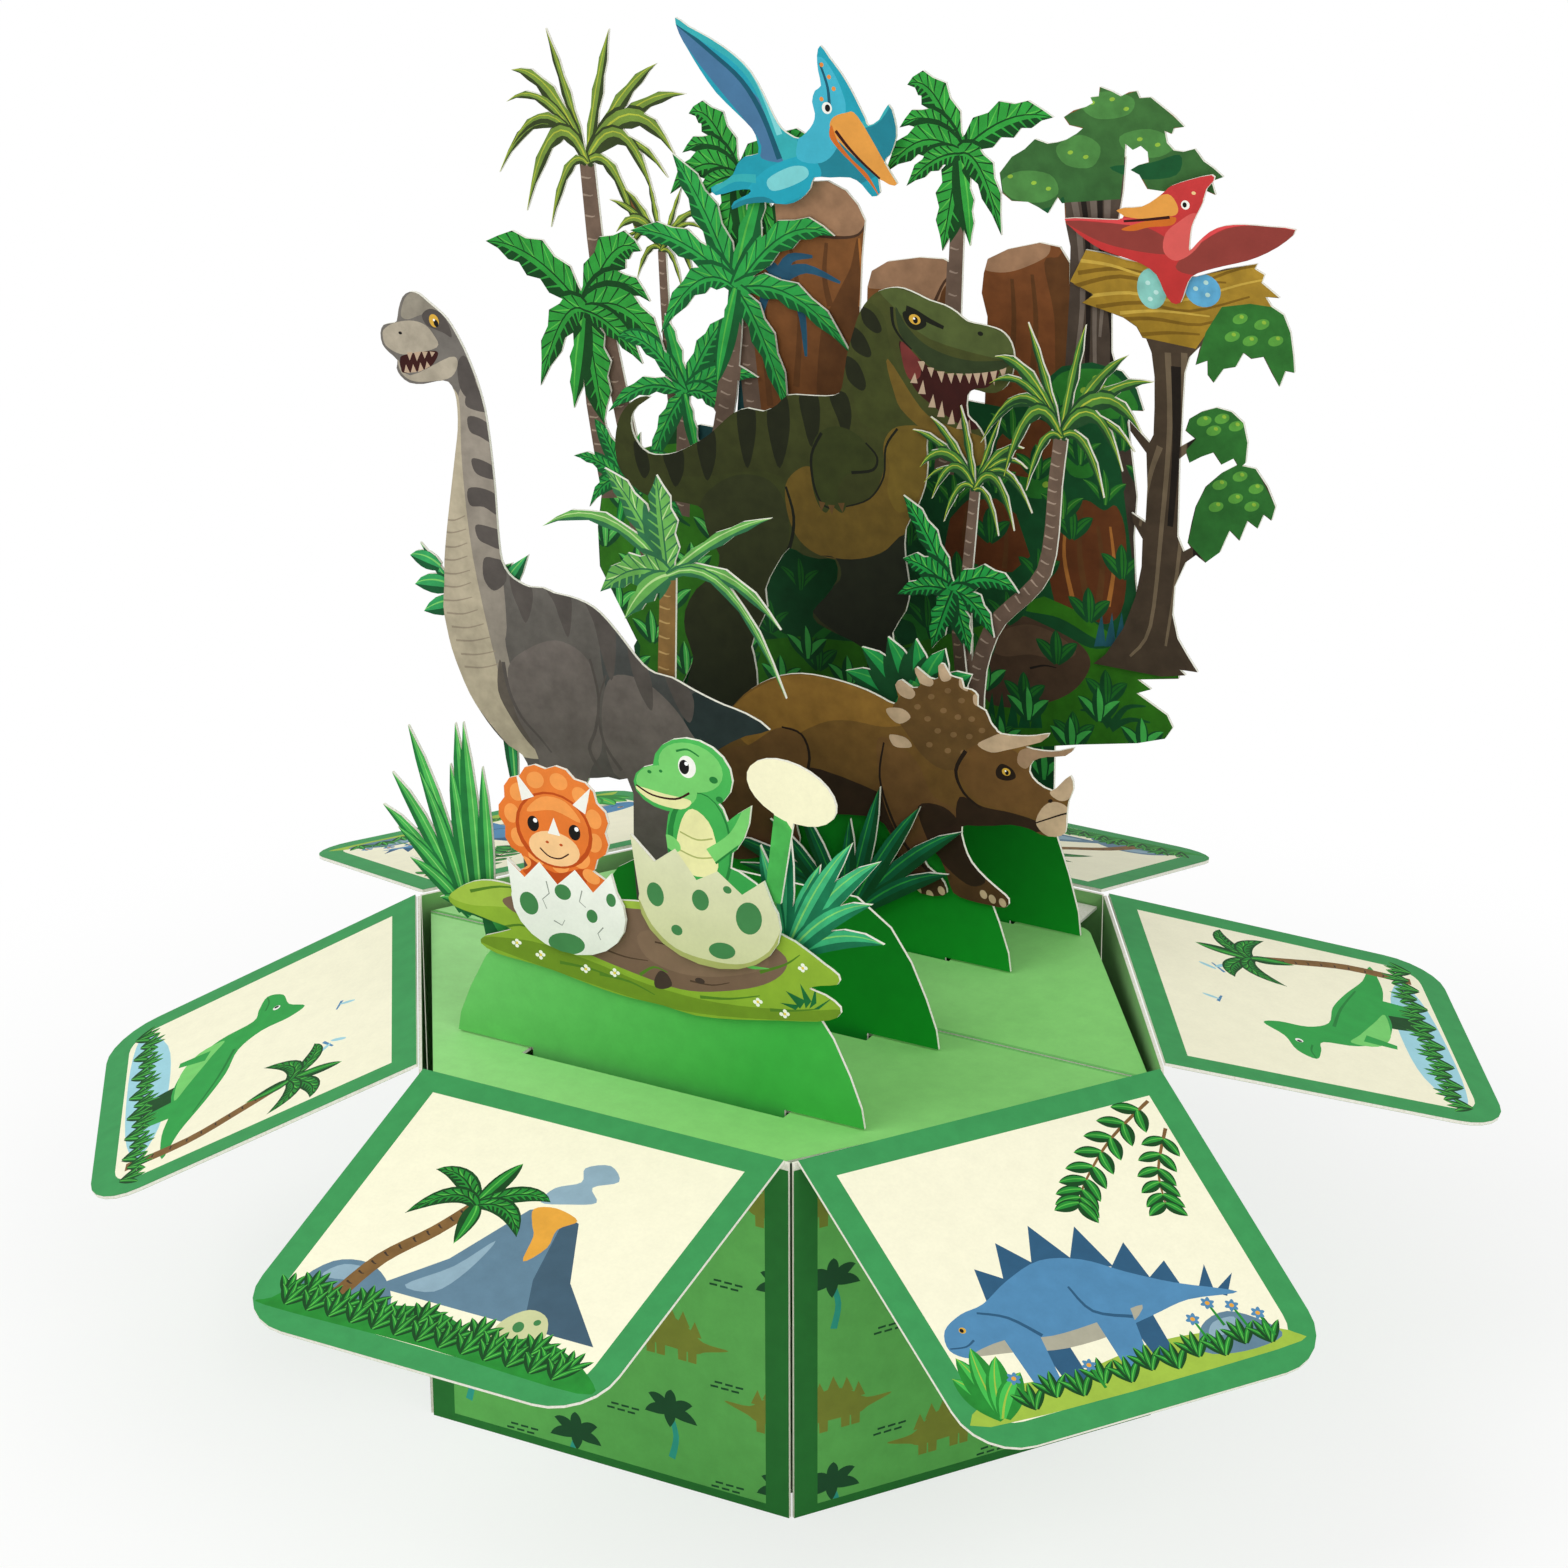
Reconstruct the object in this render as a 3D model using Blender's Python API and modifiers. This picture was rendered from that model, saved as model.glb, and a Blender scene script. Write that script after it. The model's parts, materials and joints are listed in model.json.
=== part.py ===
"""Pop-up birthday card: a six-sided paper box with hinged flaps and rows of standing dinosaur cut-outs."""

import math

import bpy
from mathutils import Vector
from mathutils.geometry import delaunay_2d_cdt

COLLECTION_NAME = "pop_up_card"

# Paper and clearances, in metres
CARD_THICKNESS = 0.00040
GLUE_GAP = 0.00030
CREASE_GAP = 0.00030
OUTLINE_GRAIN = 0.00012
SMALL_HOLE_SIDE = 0.0025

# Box of six equal walls
WALL_WIDTH = 0.0530
WALL_HEIGHT = 0.0500
CORNER_ANGLE = math.radians(57.0)

# Flaps along the rim
FLAP_LENGTH = 0.0470
FLAP_SIDE_MARGIN = 0.0006
FLAP_OUTER_MARGIN = 0.0016
FLAP_CORNER_RADIUS = 0.0075
FLAP_DROOP_FRONT = math.radians(16.0)
FLAP_DROOP_SIDE = math.radians(25.0)
FLAP_DROOP_REAR = math.radians(15.0)

# Deck and base sheets, each folded across the middle
SHEET_DIP = math.radians(2.0)
DECK_BELOW_RIM = 0.00045
BASE_ABOVE_FLOOR = 0.0026
SHEET_SIDE_GAP = 0.0012
SHEET_CORNER_RADIUS = 0.0035
REAR_CLEARANCE = 0.0090
TAB_HEIGHT = 0.0090
TAB_INSET = 0.0060
REST_WIDTH = 0.0055
REST_INSET = 0.0008

# Hills that stand through slits in the deck
HILL_HEIGHT = 0.0235
HILL_LIFT = 0.00032
LEG_WIDTH_SHARE = 0.62
LEG_FOOT_SHARE = 0.52
FOOT_CLEARANCE = 0.00060
SLIT_NARROW_SIDE = 0.00030
SLIT_WIDE_SIDE = 0.00165
SLIT_END_GAP = 0.0007
HILL_PLACE_SHARES = (0.297, 0.880, 0.418, 0.727)
HILL_WIDTH_SHARES = (1.113, 1.024, 0.957, 1.047)
HILL_HEIGHT_SHARES = (0.86, 0.86, 0.86, 1.12)
HILL_SHIFT_SHARES = (0.004, -0.004, -0.004, 0.020)

# Cut-out figures, each with its own width and height
MEADOW_WIDTH = 0.0564
MEADOW_HEIGHT = 0.0144
HORNED_HATCHLING_WIDTH = 0.0185
HORNED_HATCHLING_HEIGHT = 0.0255
GREEN_HATCHLING_WIDTH = 0.0213
GREEN_HATCHLING_HEIGHT = 0.0300
BUBBLE_WIDTH = 0.0125
BUBBLE_HEIGHT = 0.0190
TALL_GRASS_WIDTH = 0.0231
TALL_GRASS_HEIGHT = 0.0332
SHORT_GRASS_WIDTH = 0.0171
SHORT_GRASS_HEIGHT = 0.0295
SAUROPOD_WIDTH = 0.0568
SAUROPOD_HEIGHT = 0.0820
LEAFY_STEMS_WIDTH = 0.0198
LEAFY_STEMS_HEIGHT = 0.0366
FERN_PALM_HEIGHT = 0.0490
FERN_PALM_REACH = 0.0155
HORNED_DINOSAUR_WIDTH = 0.0680
HORNED_DINOSAUR_HEIGHT = 0.0341
DARK_GRASS_WIDTH = 0.0357
DARK_GRASS_HEIGHT = 0.0194
FERN_BANK_WIDTH = 0.0185
FERN_BANK_HEIGHT = 0.0342
TYRANT_WIDTH = 0.0599
TYRANT_HEIGHT = 0.0690
CURVED_PALM_HEIGHT = 0.0540
CURVED_PALM_REACH = 0.0125
SLIM_PALM_HEIGHT = 0.0300
SLIM_PALM_REACH = 0.0090
STAR_PALM_HEIGHT = 0.0280
STAR_PALM_REACH = 0.0095
JUNGLE_WIDTH = 0.0900
JUNGLE_HEIGHT = 0.0950
JUNGLE_FOOT_MARGIN = 0.0075
JUNGLE_FOOT_DEPTH = 0.0135
GROVE_WIDTH = 0.0420
GROVE_HEIGHT = 0.0640
NEST_TREE_WIDTH = 0.0320
NEST_TREE_HEIGHT = 0.0585
NEST_FLYER_WIDTH = 0.0320
NEST_FLYER_HEIGHT = 0.0175
CRESTED_FLYER_WIDTH = 0.0333
CRESTED_FLYER_HEIGHT = 0.0251

# Values worked out from the sizes above
HALF_DEPTH = WALL_WIDTH * math.sin(CORNER_ANGLE)
SIDE_SLOPE = math.cos(CORNER_ANGLE) / math.sin(CORNER_ANGLE)
LAYER_STEP = CARD_THICKNESS + GLUE_GAP
FRONT_SHEET_LENGTH = HALF_DEPTH - CREASE_GAP - CREASE_GAP / 2
REAR_SHEET_LENGTH = HALF_DEPTH - CREASE_GAP / 2 - REAR_CLEARANCE
DECK_AXIS_HEIGHT = WALL_HEIGHT - DECK_BELOW_RIM - CARD_THICKNESS / 2
BASE_AXIS_HEIGHT = BASE_ABOVE_FLOOR + CARD_THICKNESS / 2
SHEET_SPACING = DECK_AXIS_HEIGHT - BASE_AXIS_HEIGHT

WALL_NAMES = ("front", "front_right", "back_right", "back", "back_left", "front_left")
FLAP_DROOPS = {
    "front": FLAP_DROOP_FRONT,
    "front_right": FLAP_DROOP_SIDE,
    "back_right": FLAP_DROOP_REAR,
    "back": FLAP_DROOP_FRONT,
    "back_left": FLAP_DROOP_REAR,
    "front_left": FLAP_DROOP_SIDE,
}

# Outlines traced as shares of each figure's width and height; leaves as root, tip, rise and width
SAUROPOD_SHARES = (
    (0.000, 0.925), (0.009, 0.939), (0.031, 0.944), (0.045, 0.949), (0.051, 0.969), (0.063, 0.990),
    (0.082, 1.000), (0.106, 0.999), (0.129, 0.989), (0.155, 0.978), (0.178, 0.966), (0.199, 0.947),
    (0.221, 0.922), (0.241, 0.893), (0.258, 0.863), (0.272, 0.828), (0.281, 0.787), (0.287, 0.748),
    (0.293, 0.699), (0.296, 0.653), (0.300, 0.611), (0.306, 0.582), (0.324, 0.562), (0.350, 0.552),
    (0.379, 0.547), (0.414, 0.550), (0.443, 0.545), (0.485, 0.544), (0.527, 0.539), (0.564, 0.527),
    (0.605, 0.502), (0.641, 0.476), (0.674, 0.454), (0.705, 0.444), (0.749, 0.442), (0.795, 0.431),
    (0.837, 0.422), (0.883, 0.414), (0.939, 0.407), (1.000, 0.388), (0.939, 0.370), (0.866, 0.336),
    (0.824, 0.297), (0.805, 0.255), (0.802, 0.000), (0.655, 0.000), (0.645, 0.231), (0.608, 0.250),
    (0.550, 0.245), (0.509, 0.212), (0.499, 0.000), (0.353, 0.000), (0.352, 0.189), (0.367, 0.228),
    (0.349, 0.257), (0.309, 0.269), (0.272, 0.290), (0.240, 0.315), (0.209, 0.345), (0.184, 0.381),
    (0.164, 0.417), (0.152, 0.453), (0.145, 0.486), (0.150, 0.526), (0.152, 0.565), (0.160, 0.611),
    (0.170, 0.658), (0.181, 0.706), (0.191, 0.750), (0.199, 0.787), (0.200, 0.823), (0.194, 0.849),
    (0.178, 0.864), (0.149, 0.862), (0.111, 0.853), (0.074, 0.851), (0.050, 0.860), (0.040, 0.872),
    (0.043, 0.885), (0.020, 0.896), (0.004, 0.907),
)
HORNED_DINOSAUR_SHARES = (
    (0.000, 0.513), (0.016, 0.506), (0.039, 0.468), (0.071, 0.433), (0.112, 0.428), (0.158, 0.467),
    (0.197, 0.521), (0.231, 0.576), (0.256, 0.637), (0.285, 0.707), (0.321, 0.767), (0.366, 0.817),
    (0.414, 0.844), (0.463, 0.849), (0.511, 0.843), (0.555, 0.830), (0.589, 0.811), (0.616, 0.796),
    (0.626, 0.829), (0.619, 0.876), (0.632, 0.901), (0.656, 0.877), (0.673, 0.896), (0.662, 0.941),
    (0.664, 0.966), (0.692, 0.932), (0.711, 0.939), (0.711, 0.988), (0.722, 1.000), (0.737, 0.957),
    (0.760, 0.953), (0.765, 0.919), (0.782, 0.917), (0.795, 0.897), (0.795, 0.856), (0.812, 0.843),
    (0.823, 0.798), (0.834, 0.777), (0.845, 0.761), (0.885, 0.768), (0.918, 0.782), (0.947, 0.801),
    (0.931, 0.762), (0.898, 0.729), (0.936, 0.727), (0.969, 0.740), (1.000, 0.765), (0.982, 0.725),
    (0.944, 0.706), (0.915, 0.678), (0.907, 0.630), (0.924, 0.591), (0.954, 0.571), (0.971, 0.602),
    (0.993, 0.648), (1.000, 0.597), (0.990, 0.540), (0.987, 0.469), (0.985, 0.410), (0.965, 0.385),
    (0.935, 0.381), (0.910, 0.395), (0.871, 0.396), (0.833, 0.376), (0.795, 0.360), (0.765, 0.344),
    (0.770, 0.270), (0.787, 0.202), (0.818, 0.148), (0.848, 0.110), (0.868, 0.081), (0.862, 0.044),
    (0.823, 0.040), (0.780, 0.042), (0.749, 0.059), (0.736, 0.121), (0.720, 0.191), (0.696, 0.223),
    (0.679, 0.199), (0.692, 0.145), (0.719, 0.114), (0.734, 0.070), (0.728, 0.037), (0.680, 0.025),
    (0.649, 0.076), (0.627, 0.160), (0.609, 0.254), (0.582, 0.302), (0.521, 0.294), (0.443, 0.262),
    (0.401, 0.219), (0.410, 0.146), (0.396, 0.080), (0.338, 0.047), (0.301, 0.014), (0.247, 0.000),
    (0.247, 0.104), (0.238, 0.212), (0.211, 0.305), (0.175, 0.376), (0.130, 0.383), (0.080, 0.381),
    (0.043, 0.409), (0.018, 0.451),
)
TYRANT_SHARES = (
    (0.094, 0.699), (0.068, 0.696), (0.039, 0.679), (0.015, 0.651), (0.003, 0.617), (0.000, 0.583),
    (0.007, 0.547), (0.028, 0.521), (0.061, 0.501), (0.103, 0.492), (0.150, 0.493), (0.197, 0.493),
    (0.226, 0.487), (0.233, 0.457), (0.246, 0.428), (0.269, 0.398), (0.258, 0.359), (0.208, 0.317),
    (0.178, 0.266), (0.178, 0.220), (0.198, 0.172), (0.187, 0.132), (0.171, 0.000), (0.350, 0.000),
    (0.363, 0.169), (0.350, 0.218), (0.372, 0.267), (0.392, 0.308), (0.387, 0.345), (0.413, 0.395),
    (0.449, 0.440), (0.485, 0.431), (0.526, 0.429), (0.566, 0.433), (0.571, 0.394), (0.541, 0.352),
    (0.510, 0.319), (0.521, 0.295), (0.577, 0.279), (0.633, 0.263), (0.648, 0.224), (0.638, 0.000),
    (0.829, 0.000), (0.839, 0.230), (0.784, 0.250), (0.728, 0.266), (0.710, 0.304), (0.743, 0.355),
    (0.752, 0.406), (0.741, 0.461), (0.741, 0.522), (0.768, 0.569), (0.787, 0.614), (0.794, 0.659),
    (0.791, 0.695), (0.798, 0.723), (0.832, 0.704), (0.867, 0.685), (0.898, 0.674), (0.923, 0.679),
    (0.932, 0.703), (0.931, 0.734), (0.909, 0.759), (0.890, 0.772), (0.889, 0.811), (0.905, 0.825),
    (0.930, 0.823), (0.958, 0.826), (0.982, 0.842), (0.996, 0.869), (1.000, 0.900), (0.992, 0.927),
    (0.975, 0.944), (0.954, 0.951), (0.920, 0.954), (0.886, 0.956), (0.860, 0.970), (0.831, 0.980),
    (0.794, 0.985), (0.765, 0.993), (0.731, 1.000), (0.702, 0.998), (0.670, 0.987), (0.646, 0.968),
    (0.626, 0.942), (0.614, 0.913), (0.602, 0.879), (0.592, 0.843), (0.585, 0.802), (0.575, 0.773),
    (0.540, 0.762), (0.490, 0.757), (0.445, 0.751), (0.420, 0.729), (0.384, 0.710), (0.344, 0.711),
    (0.308, 0.696), (0.277, 0.671), (0.243, 0.642), (0.204, 0.618), (0.160, 0.595), (0.121, 0.584),
    (0.087, 0.583), (0.061, 0.598), (0.045, 0.623), (0.043, 0.651), (0.060, 0.676),
)
MEADOW_SHARES = (
    (0.000, 0.577), (0.025, 0.684), (0.068, 0.788), (0.116, 0.837), (0.174, 0.838), (0.294, 0.824),
    (0.423, 0.914), (0.550, 0.984), (0.701, 1.000), (0.850, 0.959), (0.914, 0.866), (0.958, 0.774),
    (0.995, 0.695), (0.993, 0.609), (0.953, 0.564), (0.924, 0.510), (0.963, 0.480), (1.000, 0.400),
    (0.993, 0.300), (0.944, 0.218), (0.849, 0.143), (0.737, 0.051), (0.638, 0.000), (0.557, 0.022),
    (0.470, 0.021), (0.403, 0.039), (0.336, 0.075), (0.268, 0.112), (0.190, 0.131), (0.126, 0.143),
    (0.084, 0.204), (0.096, 0.291), (0.165, 0.409), (0.118, 0.445), (0.066, 0.478), (0.018, 0.505),
)
CRESTED_FLYER_SHARES = (
    (0.000, 1.000), (0.059, 0.961), (0.160, 0.912), (0.264, 0.843), (0.341, 0.764), (0.399, 0.650),
    (0.444, 0.544), (0.480, 0.481), (0.521, 0.450), (0.557, 0.440), (0.593, 0.478), (0.624, 0.532),
    (0.633, 0.587), (0.620, 0.649), (0.633, 0.710), (0.660, 0.741), (0.647, 0.819), (0.642, 0.898),
    (0.656, 0.953), (0.696, 0.895), (0.749, 0.819), (0.794, 0.736), (0.825, 0.667), (0.856, 0.597),
    (0.870, 0.562), (0.919, 0.603), (0.958, 0.689), (0.985, 0.619), (0.994, 0.525), (0.968, 0.424),
    (0.942, 0.377), (1.000, 0.274), (0.965, 0.263), (0.916, 0.286), (0.925, 0.213), (0.889, 0.185),
    (0.844, 0.241), (0.791, 0.270), (0.701, 0.254), (0.629, 0.241), (0.611, 0.178), (0.566, 0.111),
    (0.502, 0.072), (0.406, 0.066), (0.314, 0.038), (0.255, 0.000), (0.264, 0.045), (0.328, 0.096),
    (0.338, 0.125), (0.269, 0.107), (0.181, 0.064), (0.158, 0.104), (0.209, 0.140), (0.260, 0.193),
    (0.279, 0.251), (0.316, 0.301), (0.375, 0.327), (0.371, 0.397), (0.348, 0.458), (0.276, 0.533),
    (0.185, 0.626), (0.112, 0.738), (0.058, 0.837), (0.018, 0.917),
)
NEST_FLYER_SHARES = (
    (0.000, 0.514), (0.111, 0.542), (0.234, 0.565), (0.260, 0.602), (0.228, 0.632), (0.263, 0.663),
    (0.337, 0.689), (0.397, 0.764), (0.439, 0.834), (0.464, 0.877), (0.541, 0.941), (0.635, 1.000),
    (0.644, 0.958), (0.615, 0.892), (0.600, 0.784), (0.576, 0.688), (0.556, 0.594), (0.550, 0.487),
    (0.551, 0.412), (0.584, 0.481), (0.635, 0.576), (0.698, 0.636), (0.783, 0.666), (0.890, 0.678),
    (1.000, 0.683), (0.960, 0.584), (0.886, 0.483), (0.802, 0.402), (0.708, 0.340), (0.623, 0.280),
    (0.563, 0.219), (0.539, 0.122), (0.519, 0.011), (0.480, 0.000), (0.444, 0.082), (0.411, 0.195),
    (0.344, 0.260), (0.256, 0.291), (0.167, 0.321), (0.091, 0.385), (0.037, 0.447),
)
PILLAR_LEFT_SHARES = (
    (-0.278, 0.942), (-0.251, 0.973), (-0.214, 0.993), (-0.177, 0.999), (-0.147, 0.989), (-0.127, 0.971),
    (-0.115, 0.950), (-0.120, 0.897), (-0.123, 0.824), (-0.125, 0.647), (-0.335, 0.600), (-0.323, 0.752),
    (-0.295, 0.888),
)
PILLAR_MIDDLE_SHARES = (
    (-0.110, 0.855), (-0.103, 0.879), (-0.077, 0.896), (-0.024, 0.909), (0.015, 0.912), (0.042, 0.902),
    (0.044, 0.847), (0.041, 0.701), (-0.115, 0.663), (-0.112, 0.767),
)
PILLAR_RIGHT_SHARES = (
    (0.081, 0.901), (0.087, 0.922), (0.119, 0.940), (0.170, 0.956), (0.202, 0.954), (0.218, 0.934),
    (0.221, 0.685), (0.085, 0.664), (0.088, 0.839), (0.078, 0.872),
)
CANOPY_SHARES = (
    (0.259, 1.184), (0.278, 1.180), (0.292, 1.175), (0.304, 1.182), (0.316, 1.185), (0.321, 1.176),
    (0.338, 1.179), (0.355, 1.169), (0.374, 1.158), (0.391, 1.145), (0.375, 1.141), (0.372, 1.133),
    (0.361, 1.136), (0.365, 1.120), (0.376, 1.111), (0.391, 1.111), (0.408, 1.117), (0.422, 1.102),
    (0.438, 1.094), (0.453, 1.084), (0.435, 1.076), (0.442, 1.058), (0.424, 1.063), (0.403, 1.049),
    (0.372, 1.053), (0.337, 1.053), (0.324, 1.071), (0.310, 1.076), (0.322, 1.084), (0.338, 1.090),
    (0.336, 1.104), (0.325, 1.111), (0.313, 1.104), (0.301, 1.111), (0.300, 1.072), (0.294, 1.034),
    (0.204, 1.016), (0.197, 1.024), (0.182, 0.999), (0.166, 1.006), (0.150, 1.011), (0.124, 1.009),
    (0.109, 1.018), (0.104, 1.046), (0.123, 1.071), (0.143, 1.084), (0.159, 1.100), (0.179, 1.096),
    (0.195, 1.100), (0.208, 1.105), (0.225, 1.116), (0.234, 1.124), (0.213, 1.126), (0.204, 1.136),
    (0.219, 1.147), (0.238, 1.154), (0.249, 1.161), (0.245, 1.168), (0.258, 1.171),
)
GREAT_TRUNK_SHARES = (
    (0.206, 1.039), (0.210, 0.991), (0.219, 0.957), (0.219, 0.907), (0.211, 0.828), (0.207, 0.726),
    (0.204, 0.609), (0.198, 0.414), (0.345, 0.428), (0.336, 0.490), (0.331, 0.556), (0.334, 0.615),
    (0.322, 0.686), (0.313, 0.742), (0.288, 0.817), (0.286, 0.881), (0.295, 0.953), (0.292, 1.001),
    (0.299, 1.044), (0.302, 1.093),
)
UNDERGROWTH_SHARES = (
    (-0.505, 0.543), (-0.454, 0.581), (-0.398, 0.608), (-0.328, 0.607), (-0.241, 0.641), (-0.139, 0.668),
    (-0.038, 0.692), (0.044, 0.713), (0.126, 0.711), (0.209, 0.784), (0.257, 0.797), (0.305, 0.792),
    (0.329, 0.770), (0.341, 0.740), (0.322, 0.738), (0.316, 0.719), (0.302, 0.682), (0.324, 0.569),
    (0.341, 0.454), (0.314, 0.389), (0.217, 0.342), (0.051, 0.251), (-0.190, 0.207), (-0.403, 0.184),
    (-0.511, 0.180), (-0.521, 0.243), (-0.480, 0.313), (-0.496, 0.405), (-0.531, 0.461),
)
GROUND_SHARES = (
    (-0.402, 0.263), (-0.225, 0.310), (-0.052, 0.325), (0.083, 0.379), (0.132, 0.418), (0.188, 0.443),
    (0.247, 0.429), (0.297, 0.404), (0.356, 0.379), (0.408, 0.376), (0.410, 0.358), (0.344, 0.345),
    (0.366, 0.334), (0.343, 0.324), (0.368, 0.312), (0.393, 0.300), (0.403, 0.283), (0.391, 0.264),
    (0.347, 0.249), (0.252, 0.229), (0.120, 0.198), (-0.120, 0.157), (-0.403, 0.136),
)
GROVE_BASE_SHARES = (
    (0.074, 0.497), (0.145, 0.555), (0.253, 0.585), (0.405, 0.610), (0.532, 0.615), (0.599, 0.554),
    (0.575, 0.438), (0.498, 0.291), (0.435, 0.144), (0.340, 0.014), (0.184, -0.005), (0.203, 0.115),
    (0.127, 0.201), (0.052, 0.286), (0.047, 0.378),
)
NEST_SHARES = (
    (0.001, 0.894), (0.043, 0.941), (0.069, 0.973), (0.149, 0.972), (0.247, 0.964), (0.352, 0.961),
    (0.423, 0.943), (0.554, 0.949), (0.682, 0.977), (0.818, 0.999), (0.807, 0.987), (0.850, 0.977),
    (0.839, 0.958), (0.883, 0.943), (0.918, 0.930), (0.858, 0.928), (0.885, 0.908), (0.792, 0.893),
    (0.680, 0.889), (0.630, 0.855), (0.589, 0.815), (0.564, 0.786), (0.494, 0.787), (0.406, 0.789),
    (0.331, 0.792), (0.303, 0.815), (0.245, 0.831), (0.155, 0.842), (0.057, 0.850), (0.109, 0.873),
)
NEST_TRUNK_SHARES = (
    (0.344, 0.795), (0.373, 0.761), (0.389, 0.707), (0.393, 0.637), (0.392, 0.572), (0.375, 0.552),
    (0.284, 0.595), (0.289, 0.572), (0.363, 0.527), (0.372, 0.448), (0.368, 0.363), (0.304, 0.380),
    (0.314, 0.357), (0.357, 0.323), (0.356, 0.256), (0.333, 0.182), (0.282, 0.100), (0.204, 0.029),
    (0.150, 0.001), (0.315, 0.001), (0.461, 0.001), (0.568, 0.015), (0.541, 0.026), (0.622, 0.028),
    (0.575, 0.062), (0.527, 0.100), (0.501, 0.155), (0.506, 0.223), (0.552, 0.285), (0.673, 0.344),
    (0.663, 0.357), (0.541, 0.310), (0.512, 0.343), (0.511, 0.437), (0.510, 0.526), (0.596, 0.571),
    (0.586, 0.584), (0.513, 0.555), (0.516, 0.648), (0.520, 0.727), (0.539, 0.765), (0.590, 0.797),
)
NEST_LEAVES_TOP_SHARES = (
    (0.671, 0.890), (0.791, 0.907), (0.885, 0.908), (0.938, 0.894), (0.971, 0.856), (0.988, 0.803),
    (0.995, 0.767), (0.956, 0.768), (0.933, 0.730), (0.897, 0.759), (0.860, 0.792), (0.808, 0.783),
    (0.773, 0.794), (0.741, 0.759), (0.689, 0.750), (0.648, 0.715), (0.621, 0.731), (0.618, 0.763),
    (0.567, 0.749), (0.582, 0.787), (0.606, 0.826), (0.629, 0.860),
)
NEST_LEAVES_MIDDLE_SHARES = (
    (0.532, 0.594), (0.548, 0.623), (0.600, 0.644), (0.665, 0.659), (0.731, 0.655), (0.784, 0.634),
    (0.805, 0.590), (0.800, 0.543), (0.774, 0.527), (0.747, 0.548), (0.695, 0.529), (0.658, 0.554),
    (0.607, 0.540), (0.555, 0.521), (0.535, 0.547), (0.577, 0.579),
)
NEST_LEAVES_LOW_SHARES = (
    (0.588, 0.421), (0.629, 0.472), (0.697, 0.510), (0.765, 0.535), (0.844, 0.533), (0.899, 0.496),
    (0.937, 0.453), (0.922, 0.419), (0.887, 0.430), (0.863, 0.395), (0.818, 0.409), (0.786, 0.359),
    (0.741, 0.379), (0.701, 0.323), (0.640, 0.293), (0.595, 0.308), (0.558, 0.333), (0.573, 0.382),
)
TALL_GRASS_SHARES = (
    (0.535, 0.213, 0.184, 0.939, 0.060, 0.104), (0.497, 0.228, 0.068, 0.730, 0.075, 0.095),
    (0.495, 0.207, 0.000, 0.587, 0.090, 0.095), (0.522, 0.211, 0.094, 0.505, 0.060, 0.087),
    (0.547, 0.194, 0.165, 0.389, 0.045, 0.087), (0.575, 0.240, 0.490, 0.989, 0.015, 0.113),
    (0.549, 0.236, 0.449, 0.816, 0.024, 0.095), (0.523, 0.232, 0.252, 0.755, 0.045, 0.087),
    (0.613, 0.225, 0.541, 1.000, 0.000, 0.104), (0.679, 0.235, 0.655, 0.832, 0.000, 0.087),
    (0.741, 0.202, 0.354, 0.249, 0.036, 0.104), (0.675, 0.241, 1.000, 0.000, 0.000, 0.303),
)
SHORT_GRASS_SHARES = (
    (0.242, 0.350, 0.964, 0.847, 0.102, 0.152), (0.225, 0.371, 0.485, 0.775, 0.017, 0.141),
    (0.242, 0.327, 1.000, 0.480, 0.102, 0.152), (0.193, 0.367, 0.204, 1.000, 0.000, 0.152),
    (0.225, 0.348, 0.741, 0.904, 0.068, 0.141), (0.176, 0.365, 0.000, 0.805, 0.020, 0.129),
    (0.225, 0.325, 0.902, 0.647, 0.102, 0.141), (0.304, 0.373, 0.100, 0.000, 0.000, 0.381),
)
DARK_GRASS_SHARES = (
    (0.536, 0.021, 0.659, 1.000, 0.000, 0.067), (0.519, 0.013, 0.535, 0.717, 0.000, 0.062),
    (0.561, 0.030, 1.000, 0.797, 0.154, 0.073), (0.511, 0.010, 0.000, 0.394, 0.154, 0.073),
    (0.493, 0.004, 0.064, 0.206, 0.103, 0.067), (0.578, 0.037, 0.945, 0.459, 0.103, 0.067),
    (0.502, 0.007, 0.323, 0.726, 0.041, 0.067), (0.544, 0.024, 0.826, 0.915, 0.077, 0.067),
    (0.485, 0.000, 0.195, 0.588, 0.077, 0.062),
)
FERN_BANK_SHARES = (
    (0.594, 0.687, 0.000, 0.813, 0.044, 0.228), (0.594, 0.687, 0.128, 0.924, 0.035, 0.238),
    (0.594, 0.687, 0.335, 0.986, 0.015, 0.249), (0.594, 0.687, 0.557, 1.000, 0.000, 0.249),
    (0.594, 0.687, 0.786, 0.982, 0.029, 0.249), (0.594, 0.687, 1.000, 0.898, 0.044, 0.228),
    (0.594, 0.745, 0.432, 0.000, 0.000, 0.542), (0.594, 0.818, 0.215, 0.146, 0.000, 0.379),
)
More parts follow.
